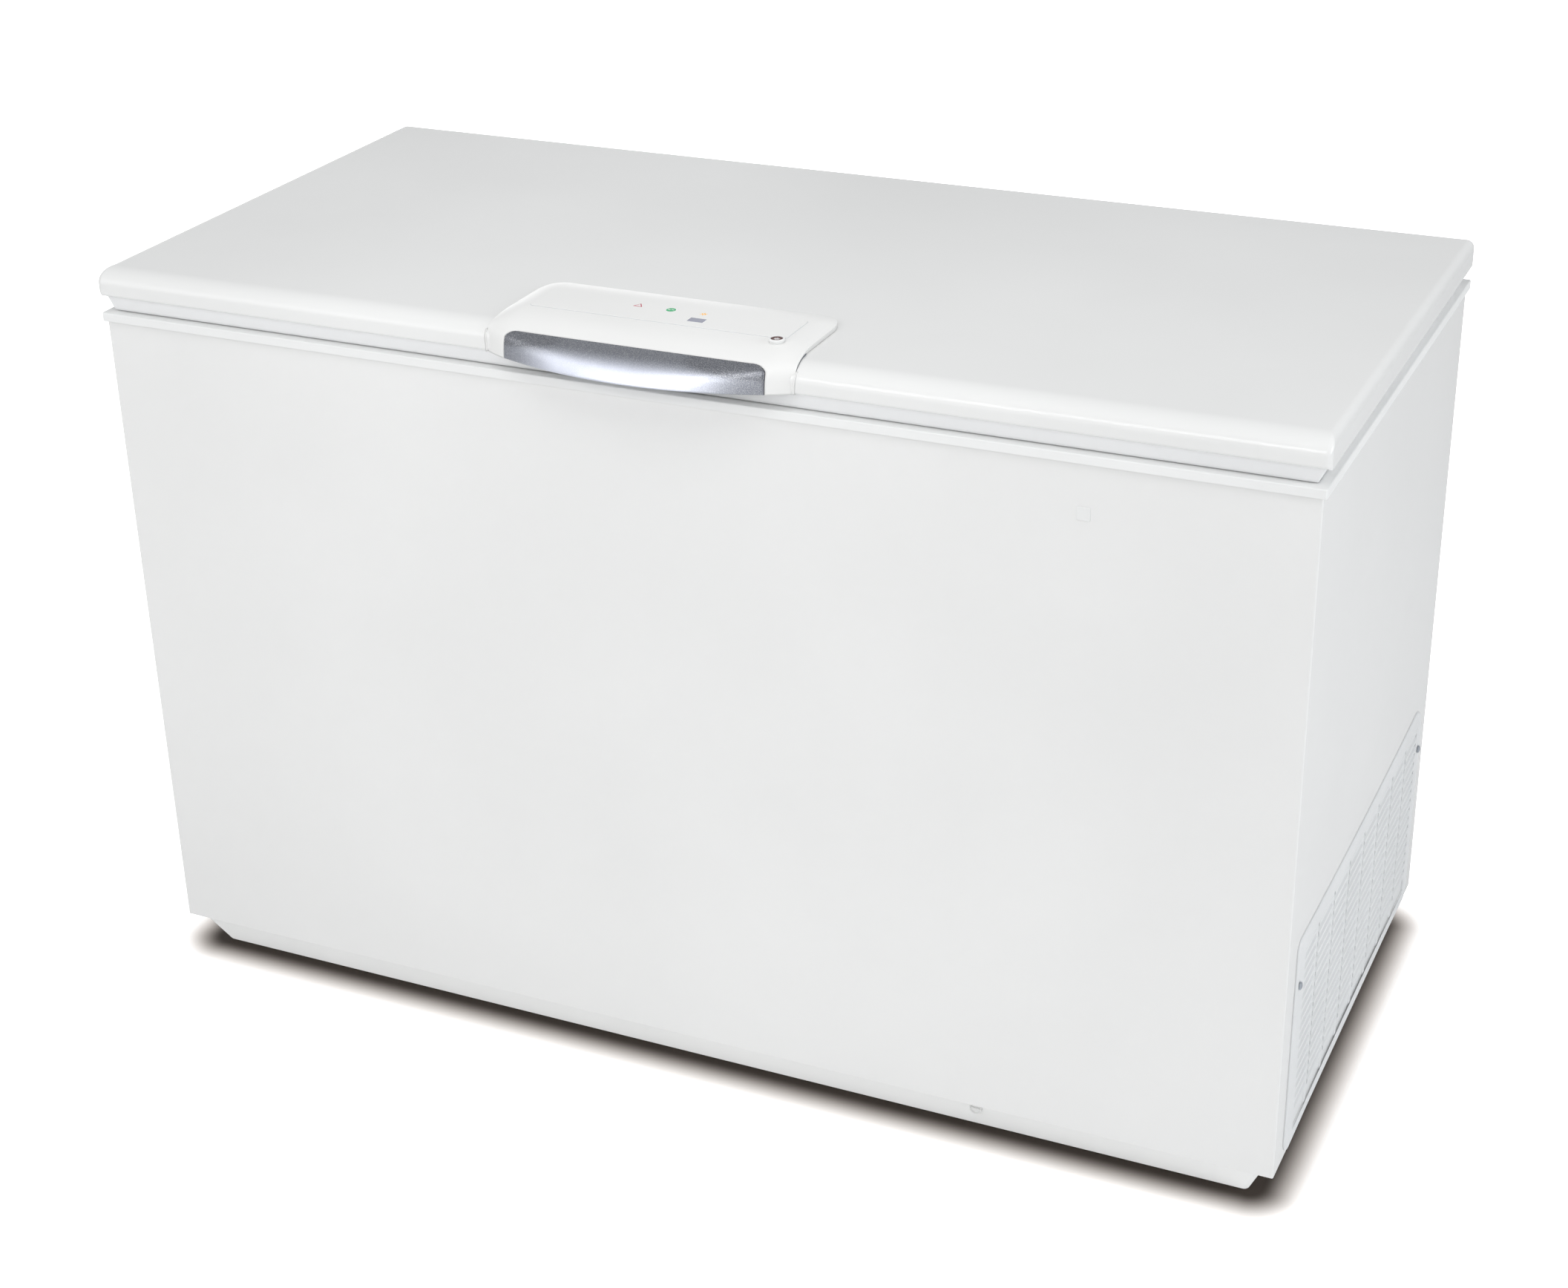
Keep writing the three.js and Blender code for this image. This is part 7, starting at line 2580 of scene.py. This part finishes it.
@dataclass
class Hinges(Assembly):
    """Two hinges on the rear: screws, pins and helical springs on the CAD leaves.

    Attributes:
        turns: of each spring.
        wire: radius of the springs' wire.
    """

    turns: int = 6
    wire: float = 0.0007

    def build(self) -> None:
        """Makes both hinges."""
        for side in ("left", "right"):
            low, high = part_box(f"hinge_pin_{side}")
            _, y, z = middle(low, high)
            r = (high.y - low.y) / 2
            profile = [
                (0, low.x), (r - 0.0004, low.x), (r, low.x + 0.0005), (r, high.x - 0.0005),
                (r - 0.0004, high.x), (0, high.x),
            ]
            pin = revolved(profile, (0, y, z), Axis.X, 32)
            Piece(
                f"pin_{side}", Body.CABINET, "tube_steel", (f"hinge_pin_{side}",),
            ).build(pin, self.dress.steel)
            low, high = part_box(f"hinge_spring_{side}")
            mean = (high.y - low.y) / 2 - self.wire
            turn = np.linspace(0, 2 * math.pi * self.turns, 24 * self.turns + 1)
            along = low.x + self.wire + (high.x - low.x - 2 * self.wire) * turn / turn[-1]
            path = np.stack([along, y + mean * np.cos(turn), z + mean * np.sin(turn)], -1)
            coil = tube(path, self.wire, 8, up=(1, 0, 0))
            Piece(
                f"coil_{side}", Body.CABINET, "tube_steel", (f"hinge_spring_{side}",),
            ).build(coil, self.dress.steel)
            low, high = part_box(f"hinge_leaf_{side}")
            face = low.y + 0.0025
            places = [
                (x, face, zz)
                for x in (low.x + 0.015, high.x - 0.015)
                for zz in (low.z + 0.014, low.z + 0.06)
            ]
            head = screw_head((0, 0, 0), Axis.Y, 0.0045, 0.0022)
            heads = head.copies(np.array(places))
            Piece(f"leaf_screws_{side}", Body.CABINET, "zinc").build(heads, self.dress.zinc_small)
            low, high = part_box(f"lid_leaf_{side}")
            places = [
                (x, face, high.z - 0.0085)
                for x in (low.x + 0.014, (low.x + high.x) / 2, high.x - 0.014)
            ]
            Piece(f"lid_leaf_screws_{side}", Body.LID, "zinc").build(
                head.copies(np.array(places)), self.dress.zinc_small,
            )
            keep(self.dress.zinc_small, f"hinge_leaf_{side}", f"lid_leaf_{side}")


# ---------------------------------------------------------------- studio


@dataclass(frozen=True)
class Softbox:
    """Square or oblong area light.

    Attributes:
        name: of the light.
        place: its middle.
        aim: the point it looks at.
        size: width and height.
        power: in watts.
        colour: of its light.
        mirrored: whether glossy surfaces mirror it.
    """

    name: str
    place: Point
    aim: Point
    size: tuple[float, float]
    power: float
    colour: Colour = (1, 1, 1)
    mirrored: bool = True

    def build(self) -> None:
        """Adds the light."""
        light = bpy.data.lights.new(self.name, "AREA")
        light.shape = "RECTANGLE"
        light.size, light.size_y = self.size
        light.energy = self.power
        light.color = self.colour
        lamp = bpy.data.objects.new(self.name, light)
        lamp.location = self.place
        lamp.visible_glossy = self.mirrored
        look = np.array(self.aim) - np.array(self.place)
        flat = math.hypot(look[0], look[1])
        lamp.rotation_euler = (math.atan2(flat, -look[2]), 0, math.atan2(-look[0], look[1]))
        bpy.context.scene.collection.objects.link(lamp)


@dataclass
class Studio:
    """White room: pale floor, soft lights, and the camera.

    Attributes:
        eye: place of the camera.
        turn: its rotation about X, Y and Z, in degrees.
        lens: focal length in millimetres, on a 36 mm sensor.
        sky: strength of the surrounding light.
        plan: half width, half depth, middle and corner radius of the shadow painted on the floor.
    """

    eye: Point = (1.14525, -2.48589, 1.7318)
    turn: Point = (63.90938, 1.12018, 24.31326)
    lens: float = 61.4636
    sky: float = 0.55
    plan: tuple[float, float, float, float] = (0.6635, 0.3085, 0.0165, 0.034)

    def floor(self) -> None:
        """Pale floor; to the camera alone a warm shadow is painted dark under the freezer, and away
        from it the floor is plain white.
        """
        net = Net("studio_floor")
        seen = net.node("ShaderNodeLightPath", {}, {}, "Is Camera Ray")
        x, y, _ = net.parts(net.place)
        half_x, half_y, middle, bend = self.plan
        over_x = (abs(x) - (half_x - bend)).most(0.0)
        over_y = (abs(y - middle) - (half_y - bend)).most(0.0)
        beside = (over_x * over_x + over_y * over_y) ** 0.5 - bend
        # Painted shadow: share from the dark under the freezer to the plain floor, from 2 cm inside
        # to 4.5 cm outside its outline; the glow fades with it.
        painted_shadow_fade = beside.step(-0.02, 0.045)
        glow = seen * (painted_shadow_fade * 0.8 + beside.step(0.02, 0.6) * 0.2)
        painted_shadow_tint = net.mix(painted_shadow_fade, (1.0, 0.84, 0.72), (1.0, 1.0, 1.0))
        grain = net.noise(3, 3)
        pale = net.mix(grain, (0.88, 0.88, 0.88), (0.9, 0.9, 0.9))
        # Painted shadow: to the camera the colour turns dark brown under the freezer.
        tone = net.mix(seen * (1 - painted_shadow_fade), pale, (0.03, 0.02, 0.014))
        material = net.finish(
            Base_Color=tone, Roughness=0.85, Emission_Color=painted_shadow_tint, Emission_Strength=glow,
        )
        half, sunk = 30.0, 0.0004
        corners = np.array([(-half, -half, 0), (half, -half, 0), (half, half, 0), (-half, half, 0)])
        mesh = bpy.data.meshes.new("studio_floor")
        mesh.from_pydata(corners.tolist(), [], [(0, 1, 2, 3)])
        mesh.materials.append(material)
        floor = bpy.data.objects.new("studio_floor", mesh)
        floor.location.z = -sunk
        bpy.context.scene.collection.objects.link(floor)

    def room(self) -> None:
        """Surrounding light: soft grey on the freezer, plain white to the camera."""
        world = bpy.data.worlds.new("studio_room")
        world.use_nodes = True
        tree = world.node_tree
        tree.nodes.clear()
        path = tree.nodes.new("ShaderNodeLightPath")
        both = tree.nodes.new("ShaderNodeMixShader")
        out = tree.nodes.new("ShaderNodeOutputWorld")
        tree.links.new(path.outputs["Is Camera Ray"], both.inputs[0])
        shades = ((0.98, 0.99, 1.0, 1.0), self.sky), ((1, 1, 1, 1), 1.0)
        for i, (colour, strength) in enumerate(shades, 1):
            shade = tree.nodes.new("ShaderNodeBackground")
            shade.inputs[0].default_value = colour
            shade.inputs[1].default_value = strength
            tree.links.new(shade.outputs[0], both.inputs[i])
        tree.links.new(both.outputs[0], out.inputs[0])
        bpy.context.scene.world = world

    def camera(self) -> None:
        """Camera on the front right, a little above the lid."""
        camera = bpy.data.cameras.new("camera")
        camera.sensor_width = 36
        camera.lens = self.lens
        viewer = bpy.data.objects.new("camera", camera)
        viewer.location = self.eye
        viewer.rotation_euler = [math.radians(a) for a in self.turn]
        bpy.context.scene.collection.objects.link(viewer)
        bpy.context.scene.camera = viewer

    def build(self) -> None:
        """Sets up the room."""
        self.floor()
        self.room()
        self.camera()
        front, top = (0.0, -0.3, 0.6), (0.15, 0.0, 0.8)
        for light in (
            Softbox("key", (-2.2, -2.6, 2.2), (-0.1, -0.3, 0.6), (2.0, 1.6), 8),
            Softbox("strip_low", (-0.3, -3.2, 2.1), front, (2.6, 0.12), 13),
            Softbox("strip_high", (-0.3, -3.1, 2.75), front, (2.6, 0.12), 13),
            Softbox("low_front", (-0.1, -3.4, 0.6), (0.0, -0.3, 0.4), (2.6, 1.0), 2.6),
            Softbox("near_front", (-0.25, -1.7, 0.8), (-0.1, -0.3, 0.5), (0.9, 0.7), 1.6),
            Softbox(
                "top_front", (0.1, -1.1, 2.5), (0.1, -0.1, 0.8), (1.2, 0.8), 7.6, mirrored=False,
            ),
            Softbox("overhead", (0.15, -0.1, 2.4), top, (0.8, 0.5), 4.4, mirrored=False),
            Softbox(
                "right_fill", (2.6, -0.3, 1.45), (0.66, 0, 0.5), (1.1, 1.1), 21, (0.96, 0.98, 1.0),
            ),
            Softbox("rear_fill", (-2.4, 3.0, 0.75), (0, 0.3, 0.5), (2.0, 1.1), 19),
        ):
            light.build()
        bpy.context.scene.view_settings.view_transform = "Standard"


def main() -> None:
    """Builds the freezer and its studio, and logs each piece as it is made."""
    logging.basicConfig(level=logging.INFO, format="%(message)s")
    dress = Finishes()
    for part in (Cabinet, SideCover, Interior, Lid, ControlUnit, Machinery, Hinges):
        part(dress).build()
    Studio().build()


if __name__ == "__main__":
    main()
